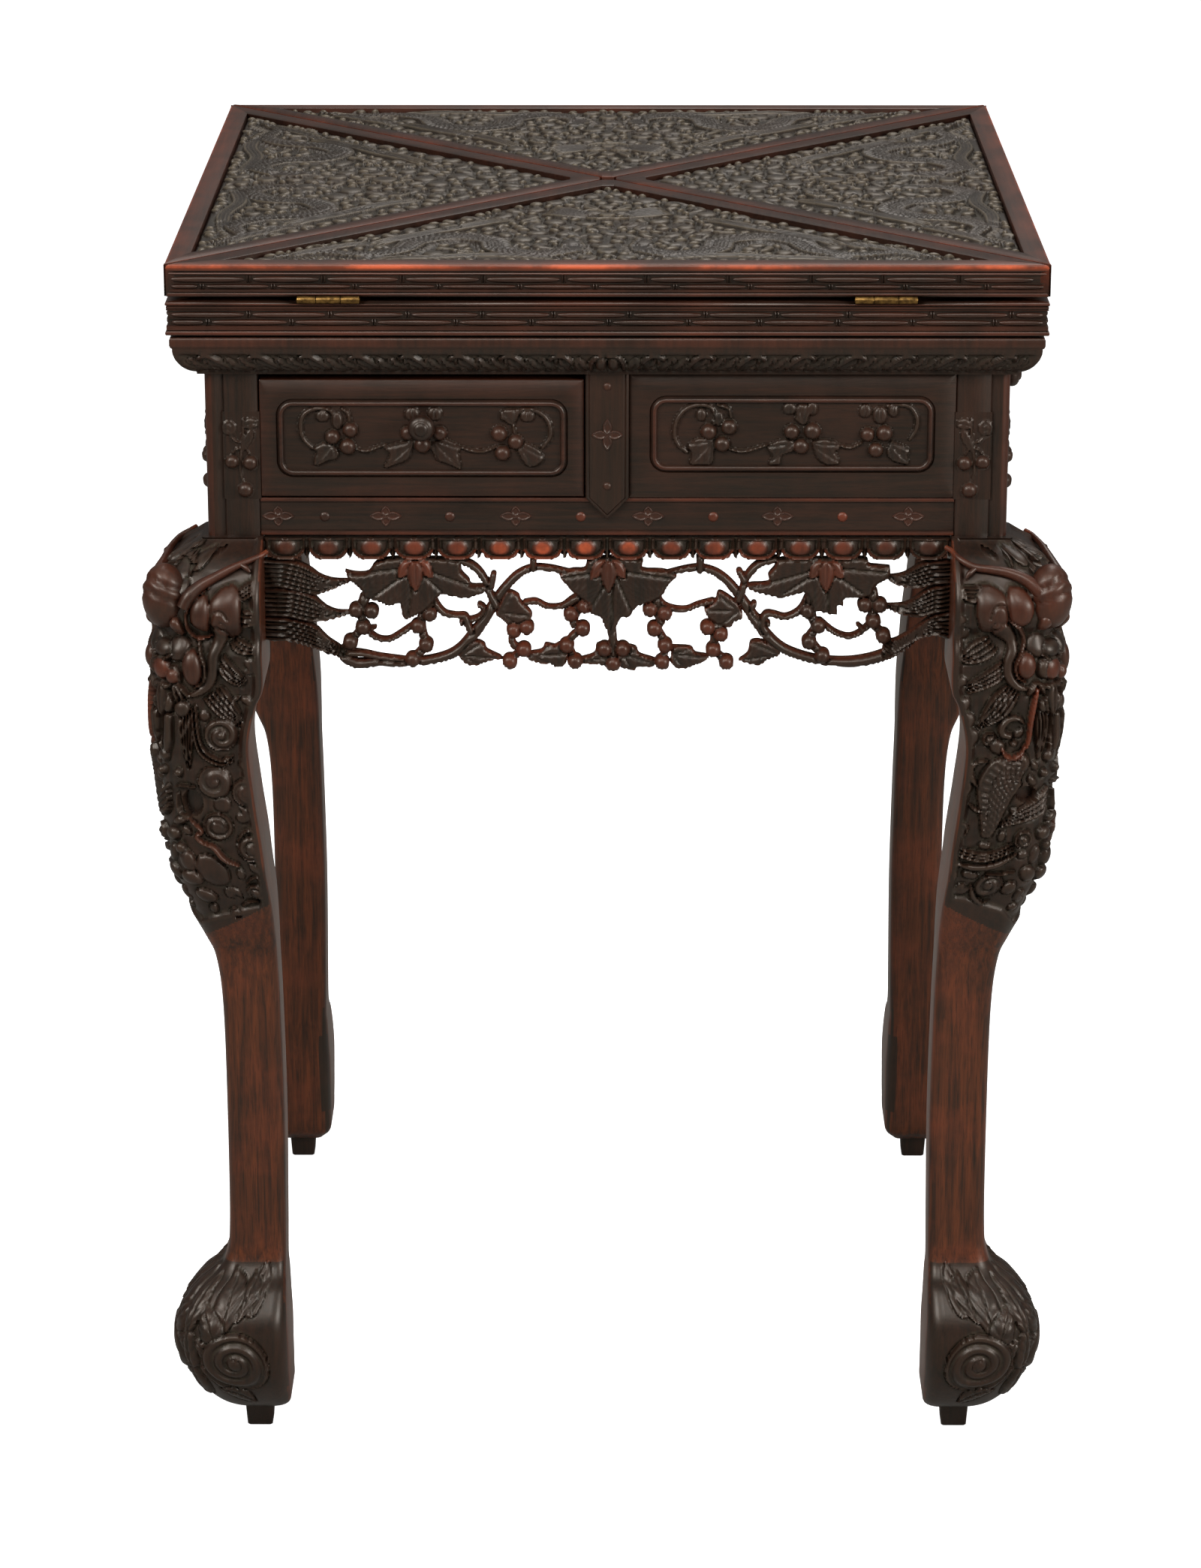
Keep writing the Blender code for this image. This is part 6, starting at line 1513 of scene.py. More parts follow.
def bar_rows(low, high, seed, rows):
    """Two rows of slim bars that narrow to their ends, with an upright knot in each gap, like bamboo."""
    dice = np.random.default_rng(seed)
    made = Carving()
    tall = high - low
    turn = np.linspace(0, 2 * math.pi, 9, endpoint=False)
    for row, (down, up) in enumerate(rows):
        z = low + tall * (down + up) / 2
        reach = tall * (up - down) / 2
        spot = -TOP_HALF + BAR_MARGIN - (0.022 if row else 0.0)
        while spot < TOP_HALF - 0.006:
            length = dice.uniform(0.038, 0.046)
            start, end = max(spot, -TOP_HALF + BAR_MARGIN), min(spot + length, TOP_HALF - BAR_MARGIN)
            if end - start > 0.010:
                rings = []
                for part, size in ((0, 0.2), (0.04, 0.5), (0.16, 0.7), (0.5, 0.8), (0.84, 0.7), (0.96, 0.5),
                                   (1, 0.2)):
                    x = start + (end - start) * part
                    y = -TOP_HALF + 0.0021 - 0.0019 * size / 0.8 * np.cos(turn)
                    rings.append(np.column_stack((np.full(9, x), y,
                                                  z - reach * 0.12 + reach * size * np.sin(turn))))
                made.loft(rings, 0.75, 0.08)
            spot += length + 0.0052
            if -TOP_HALF + 0.01 < spot < TOP_HALF - 0.012:
                for side in (-1, 1):
                    x = spot - 0.0026 + side * 0.00085
                    made.ball((x, -TOP_HALF + 0.0019, z), (0.0008, 0.0018, reach * 1.1), 8, 5)
    return made


def notch(piece, low, high):
    """Let the hinge knuckles into an edge."""
    half = HINGE_LENGTH / 2 + GAP
    for place in (-HINGE_PLACE, HINGE_PLACE):
        cut_away(piece, block((place - half, HINGE_AXIS_Y - 0.01, low),
                              (place + half, HINGE_AXIS_Y + KNUCKLE_RADIUS + GAP, high), 0))


def make_bed_frame():
    """Four mitred rails with bars along their edges, let in for the fixed hinge halves."""
    section, worn = edge_section(BED_BOTTOM, BED_TOP, BED_BORDER, False)
    half, inner = TOP_HALF, TOP_HALF - BED_BORDER
    made = rail(((-half, -half), (half, -half)), ((-inner, -inner), (inner, -inner)), section, worn)
    piece = made.build("bed_rail", angle=0.6)
    notch(piece, HINGE_AXIS_Z - KNUCKLE_RADIUS - GAP, BED_TOP + 0.01)
    bars = bar_rows(BED_BOTTOM, BED_TOP, 5, ((0.51, 0.735), (0.29, 0.505))).build("bars", angle=1.0)
    notch(bars, HINGE_AXIS_Z - KNUCKLE_RADIUS - GAP, BED_TOP + 0.01)
    whole = joined("bed_rail", [piece, bars])
    for turn, side in enumerate(SIDES):
        copy = turned_copy(whole, "bed_rail_" + side, turn)
        dress(copy, "bed", "ebonised_hardwood", *(("bed_frame",) if turn == 0 else ()),
              finishes=(EBONY["xy"[turn % 2]],))
    bpy.data.objects.remove(whole, do_unlink=True)


def leaf_corners(inset, border):
    """A leaf's outline in plan: its edge drawn in by an inset, its diagonals by a border."""
    base = -TOP_HALF + inset
    slant = LEAF_SPACING / math.sqrt(2) + border * math.sqrt(2)
    tip = -slant - LEAF_BLUNT
    return (base + slant, base), (-base - slant, base), (LEAF_BLUNT, tip), (-LEAF_BLUNT, tip)


def make_leaf_frames():
    """Each leaf's frame: a rail along the table's edge, two slanting rails and the blunt tip."""
    section, worn = edge_section(LEAF_BOTTOM, LEAF_TOP, LEAF_BORDER, True)
    outer, inner = leaf_corners(0, 0), leaf_corners(LEAF_BORDER, LEAF_BORDER)
    base = rail(outer[:2], inner[:2], section, worn).build("edge", angle=0.6)
    notch(base, LEAF_BOTTOM - 0.01, HINGE_AXIS_Z + KNUCKLE_RADIUS + GAP)
    bars = bar_rows(LEAF_BOTTOM, LEAF_TOP, 9, ((0.41, 0.66), (0.225, 0.405))).build("bars", angle=1.0)
    notch(bars, LEAF_BOTTOM - 0.01, HINGE_AXIS_Z + KNUCKLE_RADIUS + GAP)
    edge = joined("edge", [base, bars])
    plain = ((1.0, LEAF_BOTTOM), (1.0, LEAF_TOP - 0.0004), (0.955, LEAF_TOP), (0.045, LEAF_TOP),
             (0.012, LEAF_TOP - 0.0003), (0.0, LEAF_TOP - 0.0009), (0.0, LEAF_BOTTOM + 0.0005),
             (0.03, LEAF_BOTTOM))
    wear = [0.0, 0.1, 0.05, 0.2, 0.5, 0.3, 0.0, 0.0]
    slants = [rail((outer[first], outer[last]), (inner[first], inner[last]), plain, wear)
              .build("slant", angle=0.6) for first, last in ((1, 2), (3, 0), (2, 3))]
    for turn, side in enumerate(SIDES):
        copy = turned_copy(edge, "leaf_edge_rail_" + side, turn)
        dress(copy, "leaf_" + side, "ebonised_hardwood", "leaf_frame_" + side,
              finishes=(EBONY["xy"[turn % 2]],))
        for word, slant in zip(("right", "left", "tip"), slants):
            copy = turned_copy(slant, "leaf_slant_rail_" + word + "_" + side, turn)
            dress(copy, "leaf_" + side, "ebonised_hardwood", finishes=(TOP_RAIL["yx"[turn % 2]],))
    for spare in [edge] + slants:
        bpy.data.objects.remove(spare, do_unlink=True)


# Cornice

# How far the cornice stands out, its points along a side, and its section as shares of reach and height
CORNICE_REACH = 0.019
CORNICE_COLUMNS = 487
CORNICE_SHARES = ((0.90, 1.00), (0.97, 0.985), (1.00, 0.93), (1.00, 0.80), (0.97, 0.745), (0.92, 0.715),
                  (0.92, 0.655), (0.905, 0.58), (0.84, 0.45), (0.75, 0.345), (0.66, 0.26), (0.54, 0.18),
                  (0.42, 0.12), (0.30, 0.08), (0.20, 0.06), (0.20, 0.00))


def carve_cornice(ground, low, high):
    """Acanthus hooks that lean away from a split round motif in the middle of each side."""
    middle, tall = (low + high) / 2, high - low
    for hand in (-1, 1):
        for unit in range(9):
            u = hand * (27 + unit * 30.5)
            # A tall hook that arches over, then two broad petals that overlap it
            ground.blade((u - hand * 3, low + 1), (u + hand * 3, high - 0.4), 5.2, -0.6, 2.0,
                         bend=-2.4 * hand,
                         cut=1.3, crease=0.75)
            ground.stroke([(u - hand * 6, low + 1.2), (u - hand * 7, middle), (u - hand * 1, high - 1.2),
                           (u + hand * 6.5, high - 2.6), (u + hand * 7.4, middle + 1),
                           (u + hand * 4.4, middle)],
                          (0.9, 1.5, 1.8, 1.6, 1.3, 1.1), -0.1, 2.0, cut=1.2)
            ground.blade((u + hand * 6, low + 0.6), (u + hand * 13.5, high - 1.6), 5.6, -0.5, 1.9,
                         bend=-2.0 * hand, cut=1.2, crease=0.7)
            ground.blade((u + hand * 13, low + 0.6), (u + hand * 21.5, high - 2.0), 5.6, -0.4, 1.9,
                         bend=-2.2 * hand, cut=1.2, crease=0.7)
            ground.mound((u + hand * 1.5, middle - tall * 0.18), (2.0, 2.6), 0.2, 1.3, cut=0.8)
            for step in (-1, 0, 1):
                ground.groove([(u + hand * (8 + step * 2), low + 3),
                               (u + hand * (10 + step * 2.6), high - 5)],
                              0.5, 0.5)
                ground.groove([(u + hand * (15.5 + step * 2), low + 3),
                               (u + hand * (18 + step * 2.6), high - 5.5)],
                              0.5, 0.5)
        ground.blade((hand * 11, low + 0.6), (hand * 18, high - 2), 5.4, -0.4, 1.9, bend=-2 * hand, cut=1.2,
                     crease=0.7)
        ground.mound((hand * 3.9, middle + 0.5), (3.6, tall * 0.40), 0.2, 2.0, cut=1.3)
        ground.stroke([(hand * 9.6, low + 1.5), (hand * 10.4, middle), (hand * 6.5, high - 1.6),
                       (0, high - 0.9)],
                      (1.0, 1.5, 1.4, 1.2), 0.0, 1.9, cut=1.1)


def make_cornice():
    """The moulding round the case, carved on its hollow side, with mitred corners."""
    profile = np.array(CORNICE_SHARES) * (CORNICE_REACH, CORNICE_TOP - CORNICE_BOTTOM)
    carved = resample(profile[7:], 22)
    profile = np.vstack((profile[:7], carved))
    columns = CORNICE_COLUMNS
    run = np.concatenate(([0], np.cumsum(np.linalg.norm(np.diff(profile, axis=0), axis=1)))) / MM
    across = np.linspace(-1, 1, columns)
    out, up = profile[:, :1], profile[:, 1:]
    along = np.gradient(profile, axis=0)
    normal = np.stack((-along[:, 1], along[:, 0]), 1)
    normal /= np.linalg.norm(normal, axis=1)[:, None]
    u = across[None, :] * (BOX_HALF + 0.6 * CORNICE_REACH) / MM + 0 * out
    v = run[-1] - run[:, None] + 0 * u
    ground = Ground(u, v)
    low, high = v[-2, 0], v[8, 0]
    carve_cornice(ground, low + 0.3, high)
    band = np.clip((v - low) / 1.0, 0, 1) * np.clip((high + 0.8 - v) / 1.0, 0, 1)
    edge = np.clip((BOX_HALF / MM + 9 - np.abs(u)) / 3, 0, 1)
    ground.height = (ground.height * 1.4 - 1.9) * band * edge
    proud = np.where(band > 0.5, 0.62 * ground.proud(2, 1.4), 0.6)
    rubbed = np.interp(v, (run[-1] - run[6], run[-1] - run[3], run[-1] - run[1], run[-1]),
                       (0, 0.12, 0.12, 0))
    reach = BOX_HALF + out + ground.height * MM * normal[:, :1]
    level = CORNICE_BOTTOM + up + ground.height * MM * normal[:, 1:]
    sheet = np.stack((across[None, :] * reach, -reach, level + 0 * reach), -1)
    back = [np.stack((across * BOX_HALF, np.full(columns, -BOX_HALF), np.full(columns, z)), -1)
            for z in (CORNICE_BOTTOM, CORNICE_TOP)]
    sheet = np.concatenate((sheet, np.stack(back)), 0)
    shade = np.vstack((proud, np.full((2, columns), 0.5)))
    wear = np.vstack((rubbed, np.zeros((2, columns))))
    for turn, side in enumerate(SIDES):
        made = Carving()
        rings = np.swapaxes(sheet, 0, 1)
        made.loft(rings, shade.T, wear.T)
        piece = made.build("cornice_carved_" + side, angle=1.2)
        piece.data.transform(Matrix.Rotation(turn * QUARTER, 4, "Z"))
        dress(piece, "stand", "ebonised_hardwood", *(("cornice",) if turn == 0 else ()), finishes=(CARVED,))


# Aprons

# Each half of the pierced vine, in millimetres from the middle and above the floor: the flames' upper and
# lower edges, the stems with their half widths, the leaves with where their veins start and end, the berries
VINE_LEFT = (
    ((((-214.2, 600.4), (-197, 599.3), (-187.4, 595.5), (-180.8, 590.4), (-172, 587.3), (-160, 586.8)),
      ((-214.2, 581.8), (-204.2, 582.4), (-194.7, 579.8), (-183.7, 577.5), (-173.5, 580.2), (-160, 585.8))),
     (((-214.2, 581.4), (-197, 580.6), (-184.5, 576.8), (-177.9, 570.4), (-169.8, 566.8), (-159.5, 566.4)),
      ((-214.2, 562.9), (-201.3, 563.4), (-188.1, 560.1), (-179.4, 559.9), (-167.6, 562.4),
       (-159.5, 565.4))),
     (((-214.2, 562.4), (-198.4, 561.6), (-184.5, 557.6), (-176.4, 549.6), (-166, 542)),
      ((-214.2, 547.6), (-200, 547.2), (-186.7, 543.5), (-176.4, 539.6), (-166, 537)))),
    ((((-175.7, 540.4), (-168.4, 538.8), (-161.8, 533.9), (-155.2, 531.9), (-144.2, 533.5), (-132.5, 532.9),
       (-122.3, 533.5), (-112, 534.2), (-100.3, 537.3), (-91.5, 542.7), (-83.5, 551.9), (-76.1, 562.7),
       (-70.3, 572.7), (-63.7, 581.9), (-55.6, 590.4), (-46.1, 594.5), (-35.9, 594.2), (-24.9, 591.9)),
      (2.2, 3.2, 2.9, 2.7, 2.6, 2.8, 3.4, 3.2, 2.7, 2.3, 2.0, 1.7)),
     (((-165, 539.6), (-153, 538.5), (-142.8, 536.4), (-126.6, 534.5)), (2.4, 2.0, 1.8, 1.5)),
     (((-94.4, 600.2), (-85.7, 597), (-79.8, 591.9), (-75.4, 584.2), (-73.2, 577.3), (-69.5, 570.4)),
      (2.2, 2.3, 2.2, 2.3, 2.6)),
     (((-72.7, 583), (-71, 590.4)), (2.2, 1.8)), (((-46.1, 602), (-46.4, 594.2)), (2.2, 1.9)),
     (((-91, 559.2), (-82, 561.9), (-78.3, 565), (-77.6, 568.8), (-79.8, 570.4)), (2.0, 1.7, 1.5, 1.4, 1.8)),
     (((-110.5, 577.8), (-106.9, 570.4), (-101.8, 565), (-94.4, 563.5), (-89.3, 563), (-87.8, 558.8),
       (-85.7, 553.5)), (2.6, 2.2, 1.9, 1.7, 2.3, 2.4)),
     (((-151.3, 554), (-144.2, 548.8), (-136.9, 548.1), (-131, 551.2), (-122.2, 557.1)),
      (1.7, 1.4, 1.5, 1.7)),
     (((-150.1, 554.8), (-145.4, 556)), (1.7, 0.8)),
     (((-51.2, 571.9), (-44.7, 572.7), (-37.3, 569.3), (-28.6, 569.6), (-22, 573.5), (-14.3, 578)),
      (1.8, 1.6, 1.5, 1.6, 2.4, 2.6)),
     (((-152, 575), (-154.5, 566.5), (-153.7, 556.1), (-157.4, 551.2), (-161.3, 546.5), (-166, 541)),
      (3.4, 3.0, 2.2, 2.2, 2.4)),
     (((-112, 572), (-116.6, 560.8), (-115.7, 551.2), (-113.8, 544.7), (-117.9, 539.2), (-122.3, 535)),
      (3.6, 3.0, 2.6, 2.8, 2.4)),
     (((-56, 562), (-57.8, 554.2), (-60, 548.1), (-57.8, 543.5), (-52.4, 541.5), (-57.8, 537.3),
       (-61.2, 533.9)),
      (3.2, 2.6, 2.2, 2.0, 2.2, 2.2)),
     (((-14.3, 573), (-19, 567), (-21.2, 558.5), (-16.8, 555), (-22, 549.6), (-24.2, 544.2), (-20.1, 533.8)),
      (3.4, 3.0, 2.2, 2.2, 2.4, 2.2))),
    ((((-70.3, 565), (-67.3, 571.2), (-64.4, 577.3), (-61.5, 580.1), (-55.6, 577.3), (-54.2, 573.5),
       (-50.5, 569.6), (-46.9, 564.2), (-49.8, 559.6), (-55.6, 558.1), (-62.2, 558.1), (-65.9, 561.2)),
      (-67, 566), ((-61, 578), (-49, 564), (-58, 559))),
     (((-93.3, 537.3), (-88.6, 544.2), (-82, 547.3), (-76.9, 545), (-75.4, 541.2), (-66, 536.1),
       (-73.9, 534.2), (-82, 531.2), (-88.6, 531.9)), (-92, 537.6), ((-81, 545), (-67, 536.2), (-82, 533))),
     (((-49, 539.6), (-41, 541.2), (-38.8, 545.3), (-32.9, 544.2), (-29.3, 545.8), (-24.6, 540.4),
       (-26.1, 532.7), (-31.5, 529.6), (-35.9, 531.9), (-43.2, 532.7), (-50.3, 535.8)),
      (-48, 537.8), ((-37, 543.5), (-27, 539), (-33, 531.5))),
     (((-16.8, 535.8), (-8.1, 538.8), (-6.6, 544.7), (-0.7, 545.8), (4, 543.5), (4, 531.2), (-0.7, 530.4),
       (-6.6, 532.2), (-15.9, 532.2)), (1, 537), ((-15, 534), (-5, 543.5))),
     (((-164, 593), (-157.4, 591.5), (-149.3, 592.2), (-144.2, 598.8), (-132.5, 601.5), (-112, 601.5),
       (-93, 600.2), (-91.2, 592.7), (-86.4, 587.3), (-84.9, 583.8), (-76.4, 583.6), (-75.6, 580.1),
       (-82, 577.3), (-88.6, 575.5), (-97.4, 576.8), (-104.7, 577.3), (-109.1, 572.7), (-114.2, 567.3),
       (-123, 562.7), (-126.2, 561.6), (-128.8, 565.3), (-130.3, 571.9), (-136.9, 570.4), (-144.2, 573.5),
       (-152.3, 575.8), (-154.8, 582.2), (-161.1, 586.8)),
      (-120, 596), ((-161, 591), (-147, 576), (-125, 564), (-103, 579), (-79, 581.5)))),
    ((-157.4, 567.3), (-147.9, 566.5), (-153.4, 556.1), (-161.3, 546.5), (-118.6, 556.8), (-111.3, 565),
     (-113.8, 544.7), (-122.3, 535), (-58.6, 554.2), (-50.5, 556.2), (-52.4, 541.5), (-61.2, 533.9),
     (-22.7, 565), (-14.3, 570.1), (-15.4, 555.3), (-25.3, 544.2), (-20.1, 533.8)),
)
VINE_RIGHT = (
    ((((214.2, 599.9), (201.8, 599.3), (195.8, 597.4), (189.9, 593.5), (183.9, 590.8), (173.6, 589.5)),
      ((214.2, 584.9), (203.3, 584.5), (194.3, 582), (182.4, 583.6), (173.6, 588.6))),
     (((214.2, 584.6), (203.3, 582.5), (197.3, 578.5), (189.9, 573), (183.9, 571.4), (172.6, 570.9)),
      ((214.2, 566.9), (204.8, 565.9), (198.8, 563.6), (189.9, 563.6), (180.9, 565.9), (172.6, 570))),
     (((214.2, 566.6), (204.8, 564.4), (198.8, 559.7), (191.3, 554.2), (182.4, 549.1), (174, 545.5)),
      ((214.2, 548.9), (207.8, 551.2), (198.8, 550.2), (189.9, 545.5), (181, 539.6), (174, 537)))),
    ((((191, 547.1), (182.4, 541.6), (169, 536.1), (155.5, 533.5), (140.6, 533.7), (128.7, 535.5),
       (116.7, 539.2), (107.8, 543.9), (99.6, 551.8), (92.8, 561.2), (86.9, 570.7), (81.6, 578.5),
       (74.9, 586.4), (67.5, 591.9), (58.5, 594.6), (49.6, 593.9), (39.1, 591.4)),
      (2.4, 3.4, 3.3, 2.8, 2.7, 2.8, 3.2, 3.3, 2.8, 2.4, 2.0, 1.7)),
     (((104.8, 600.3), (95.1, 597.4), (87.6, 589.5), (84.6, 580.1), (82.1, 574.4)), (2.2, 2.2, 2.2, 2.4)),
     (((85.6, 587), (82.6, 592.4)), (2.3, 2.0)), (((58.2, 602), (58.2, 593.5)), (2.6, 2.2)),
     (((100.6, 558.7), (94.3, 562.8), (90.6, 568.3), (92.1, 571.4)), (2.0, 1.6, 1.5, 1.8)),
     (((126.7, 577.4), (121.2, 567.5), (112.2, 562.8), (104.8, 564.4), (99.6, 564.4), (97.3, 558.1),
       (99.6, 553.4)), (2.4, 2.1, 1.8, 1.8, 2.2, 2.3)),
     (((133.6, 560.1), (142.1, 553.4), (151, 550.2), (158.5, 552.6), (166, 559.3)), (1.9, 1.5, 1.5, 1.9)),
     (((160.5, 554.6), (157.4, 557.8)), (1.7, 1.0)),
     (((30, 577), (34.6, 571), (40.6, 568.3), (49.6, 567.8), (57, 570.7), (66, 573)),
      (2.4, 1.9, 1.5, 1.5, 1.8)),
     (((166, 579), (167.5, 571), (166, 560.4), (170, 555), (173.4, 550.7), (178, 545)),
      (3.6, 3.2, 2.4, 2.4, 2.6)),
     (((127.2, 577), (128.5, 563), (131, 556), (127.5, 550), (127.9, 546.8), (135.4, 537.6)),
      (3.2, 3.0, 2.6, 2.8, 2.2)),
     (((73, 562), (68.5, 555), (67.5, 547), (66.7, 541.6), (74.9, 533.4)), (3.4, 3.2, 2.2, 2.4)),
     (((31, 577), (31.5, 567), (33.7, 560.3), (31.7, 555), (36.4, 544.4), (34.6, 533.4)),
      (3.2, 3.0, 2.4, 2.6, 2.2)),
     (((2.5, 556), (3.6, 548), (3.6, 540), (3.7, 531.8)), (3.0, 2.6, 3.2, 2.2))),
    ((((60.7, 568.3), (67.5, 573), (69, 578.5), (71.9, 579.3), (80.9, 573), (84.4, 567), (84.6, 562),
       (79.4, 559.7), (77.2, 556.5), (69, 558.1), (63, 562.8)), (82, 567),
      ((62, 568), (70.5, 577), (72, 558.5))),
     (((82.4, 534.5), (88.4, 539.2), (89.9, 546.3), (94.3, 547.9), (100.3, 546.3), (109.3, 539.2),
       (100.3, 534.5), (95.8, 531.4), (88.4, 532.6)), (108, 539), ((92.5, 546), (83.5, 534.8), (95, 533))),
     (((40.8, 543.9), (52.5, 543.1), (55.5, 539.2), (64, 537.6), (61.5, 534.5), (54, 531), (46.6, 529),
       (40.3, 532.9)), (41, 539), ((62, 537), (50, 541.5), (47, 531))),
     (((11.2, 544.9), (18.2, 542.9), (20.4, 538.4), (30.4, 534.9), (28.7, 530.6), (18.2, 529.8),
       (17.5, 528.2), (8.3, 530.4), (6.8, 539.2)), (10, 539), ((28.5, 533), (17.5, 541), (14.5, 530.5))),
     (((176.9, 595.8), (169, 596.6), (163.7, 597.4), (161.5, 601.5), (145.1, 601.5), (124.2, 601.5),
       (107.8, 601), (104.8, 595.8), (100.6, 590.3), (101, 585.6), (87.6, 584.4), (91.3, 580.1),
       (103.3, 576.9), (109.3, 575.8), (118.2, 578.2), (124.2, 579), (127.2, 574.6), (128.7, 567.5),
       (133.9, 566.7), (143.6, 564.6), (144.3, 570.4), (148.1, 571), (148.6, 575.4), (158.5, 575.7),
       (166, 578), (168, 584), (176.4, 589.5)),
      (136, 596), ((174, 592.5), (160, 579), (139, 567.5), (111, 579), (90.5, 582.5)))),
    ((161.5, 571), (170.9, 570.7), (167, 560.4), (173.4, 550.7), (132.4, 557.3), (125.7, 567),
     (126.9, 546.8), (135.4, 537.6), (71.2, 551.8), (63, 556), (66.7, 541.6), (74.9, 533.4), (26.9, 568),
     (36.1, 565.5), (29.7, 555.3), (36.4, 544.4), (34.6, 533.4), (-1.6, 541.9), (9.7, 541.9), (3.7, 532.4)),
)
MIDDLE_LEAF = (((-30.5, 590.4), (-22, 593.9), (-13.9, 594.5), (-9.5, 601.5), (20.4, 601.5), (21.9, 594.4),
                (34.6, 593.5), (43.6, 590.3), (39.1, 585.6), (33.1, 576.2), (21.9, 571.4), (18.2, 569.9),
                (13.7, 563.6), (8.5, 562.8), (6.3, 558.1), (2.2, 551.5), (-2.0, 558), (-4.4, 563.6),
                (-10.5, 565.5), (-13, 572), (-20.5, 578.8), (-25.6, 584.2)),
               (4, 594), ((-28, 589), (-11, 568.5), (2.4, 554), (15.5, 566.5), (40, 588.5)))
# Calyxes under the band: across, up, length
CALYXES = ((-120, 600.5, 20.5), (0.8, 600.5, 21), (137, 600, 20))
# Spacing of the apron's points
APRON_FINE = 0.95


def lay_vine(ground, half_work):
    """Stems first, then the flames, leaves and berries that lie over them."""
    flames, stems, leaves, berries = half_work
    for line, widths in stems:
        ground.stroke(line, widths, 4.6, 4.4, cut=1.2)
    for upper, lower in flames:
        ground.leaf(upper + lower[::-1], None, (), 4.0, 2.6)
        ground.strands(upper, lower, 6, 5.2, 4.2, fill=0.56, cut=1.5, tip=0.10)
    for outline, base, tips in leaves[:-1]:
        ground.leaf(outline, base, tips, 4.4, 4.4)
    for spot in berries:
        ground.mound(spot, (4.75, 4.75), 5.8, 4.9, cut=1.6, rub=0.28 if abs(spot[0]) < 80 else 0.08)
        ground.mound((spot[0] - 0.5, spot[1] + 0.4), (0.7, 0.7), 10.2, 0.0, cut=0.3)
    ground.leaf(*leaves[-1], 4.8, 5.2)


def lay_lobes(ground, half, high):
    """The band along the top: sixteen hanging lobes with rims and domed middles, and darts between."""
    pitch = 2 * half / 16
    x = np.abs(((ground.u + half) / pitch) % 1 - 0.5) * pitch
    down = high - ground.v
    # Distance outside a rounded lobe that is open at the top
    side, foot = x - (pitch / 2 - 0.75 - 9.0), down - (14.2 - 9.0)
    out = np.hypot(np.maximum(side, 0), np.maximum(foot, 0)) + np.minimum(np.maximum(side, foot), 0) - 9.0
    dart = (down - 13.6) * 0.5 + (pitch / 2 - x) - 0.2
    dart = np.maximum(dart, down - 13.4)
    wear = np.clip(1.25 - np.abs(ground.u + 6) / 185, 0.12, 1)
    rim = np.exp(-((out + 1.0) / 0.75) ** 2)
    dome = np.clip(1 - (x / 6.6) ** 2 - ((down - 6.2) / 5.6) ** 2, 0, 1) ** 0.5
    slope = np.clip(-(out + 1.8) / 5, 0, 1)
    top = 7.2 + 2.9 * rim + 0.9 * slope + 2.4 * dome + 1.6 * np.clip((1.6 - down) / 0.5, 0, 1)
    top = top - 1.2 * np.exp(-((out + 2.5) / 0.5) ** 2) * (down > 2)
    ridge = 6.4 + 2.6 * np.exp(-((pitch / 2 - x) / 0.9) ** 2)
    everything = np.nonzero(down < 17)
    ground.lay(everything, np.minimum(dart, down - 9.6)[everything], ridge[everything], cut=0.0)
    ground.lay(everything, dart[everything], ridge[everything], cut=1.2)
    ground.lay(everything, out[everything], top[everything], cut=1.2)
    red = np.clip(1.5 * dome ** 2 + 0.85 * rim * (down > 7), 0, 1) * wear
    ground.rubbed = np.where((down < 15) & (out < 0.4), red, ground.rubbed)


def make_aprons():
    """Four pierced aprons: a band of lobes, flame licks at both ends, and a vine with leaves and berries."""
    half, low, high = APRON_HALF / MM, APRON_BOTTOM / MM - 3.2, APRON_TOP / MM
    across = np.linspace(-half, half, int(2 * half / APRON_FINE))
    upright = np.linspace(low, high, int((high - low) / APRON_FINE))
    ground = Ground(*np.meshgrid(across, upright), 4.0)
    for work in (VINE_LEFT, VINE_RIGHT):
        lay_vine(ground, work)
    ground.leaf(*MIDDLE_LEAF, 5.0, 5.2)
    for a, b, length in CALYXES:
        for turn, reach, wide in ((-0.62, 0.66, 4.4), (0.62, 0.66, 4.4), (0.0, 1.0, 5.0)):
            tip = (a + length * reach * math.sin(turn) * 1.35, b - length * reach * math.cos(turn * 0.9))
            ground.blade((a + turn * 3, b), tip, wide, 8.2, 2.7, cut=1.6, crease=0.35,
                         rub=0.5 if abs(a) < 130 and turn else 0.3)
    lay_lobes(ground, half, high)
    ground.height = np.clip(ground.height, 3.2, (APRON_FACE - APRON_BACK) / MM - 0.1)
    worn = np.clip(1 + ground.edge / 1.1, 0, 1) * (ground.v < high - 15)
    ground.rubbed = np.maximum(ground.rubbed, worn * np.clip(0.62 - np.abs(ground.u) / 480, 0.2, 1))
    made = Carving()
    ground.cut_out(made, 0.0, held=True)
    on_face(made, APRON_BACK / MM)
    piece = made.build("apron", angle=0.9)
    four(piece, "apron_carved", SIDES, ("stand",) * 4, "ebonised_hardwood", ("apron",), ((CARVED,),) * 4)


# Drawer fronts, false fronts and rails

def rounded_frame(left, right, low, high, radius, inset):
    """The corners of a rectangle, rounded, drawn in by an inset."""
    points = []
    for x, z, quarter in ((right, high, 0), (left, high, 1), (left, low, 2), (right, low, 3)):
        middle_x = x + (-radius if x == right else radius)
        middle_z = z + (-radius if z == high else radius)
        for part in np.linspace(0, 1, 9):
            angle = (quarter + part) * QUARTER
            points.append((middle_x + (radius - inset) * math.cos(angle),
                           middle_z + (radius - inset) * math.sin(angle)))
    return np.array(points)


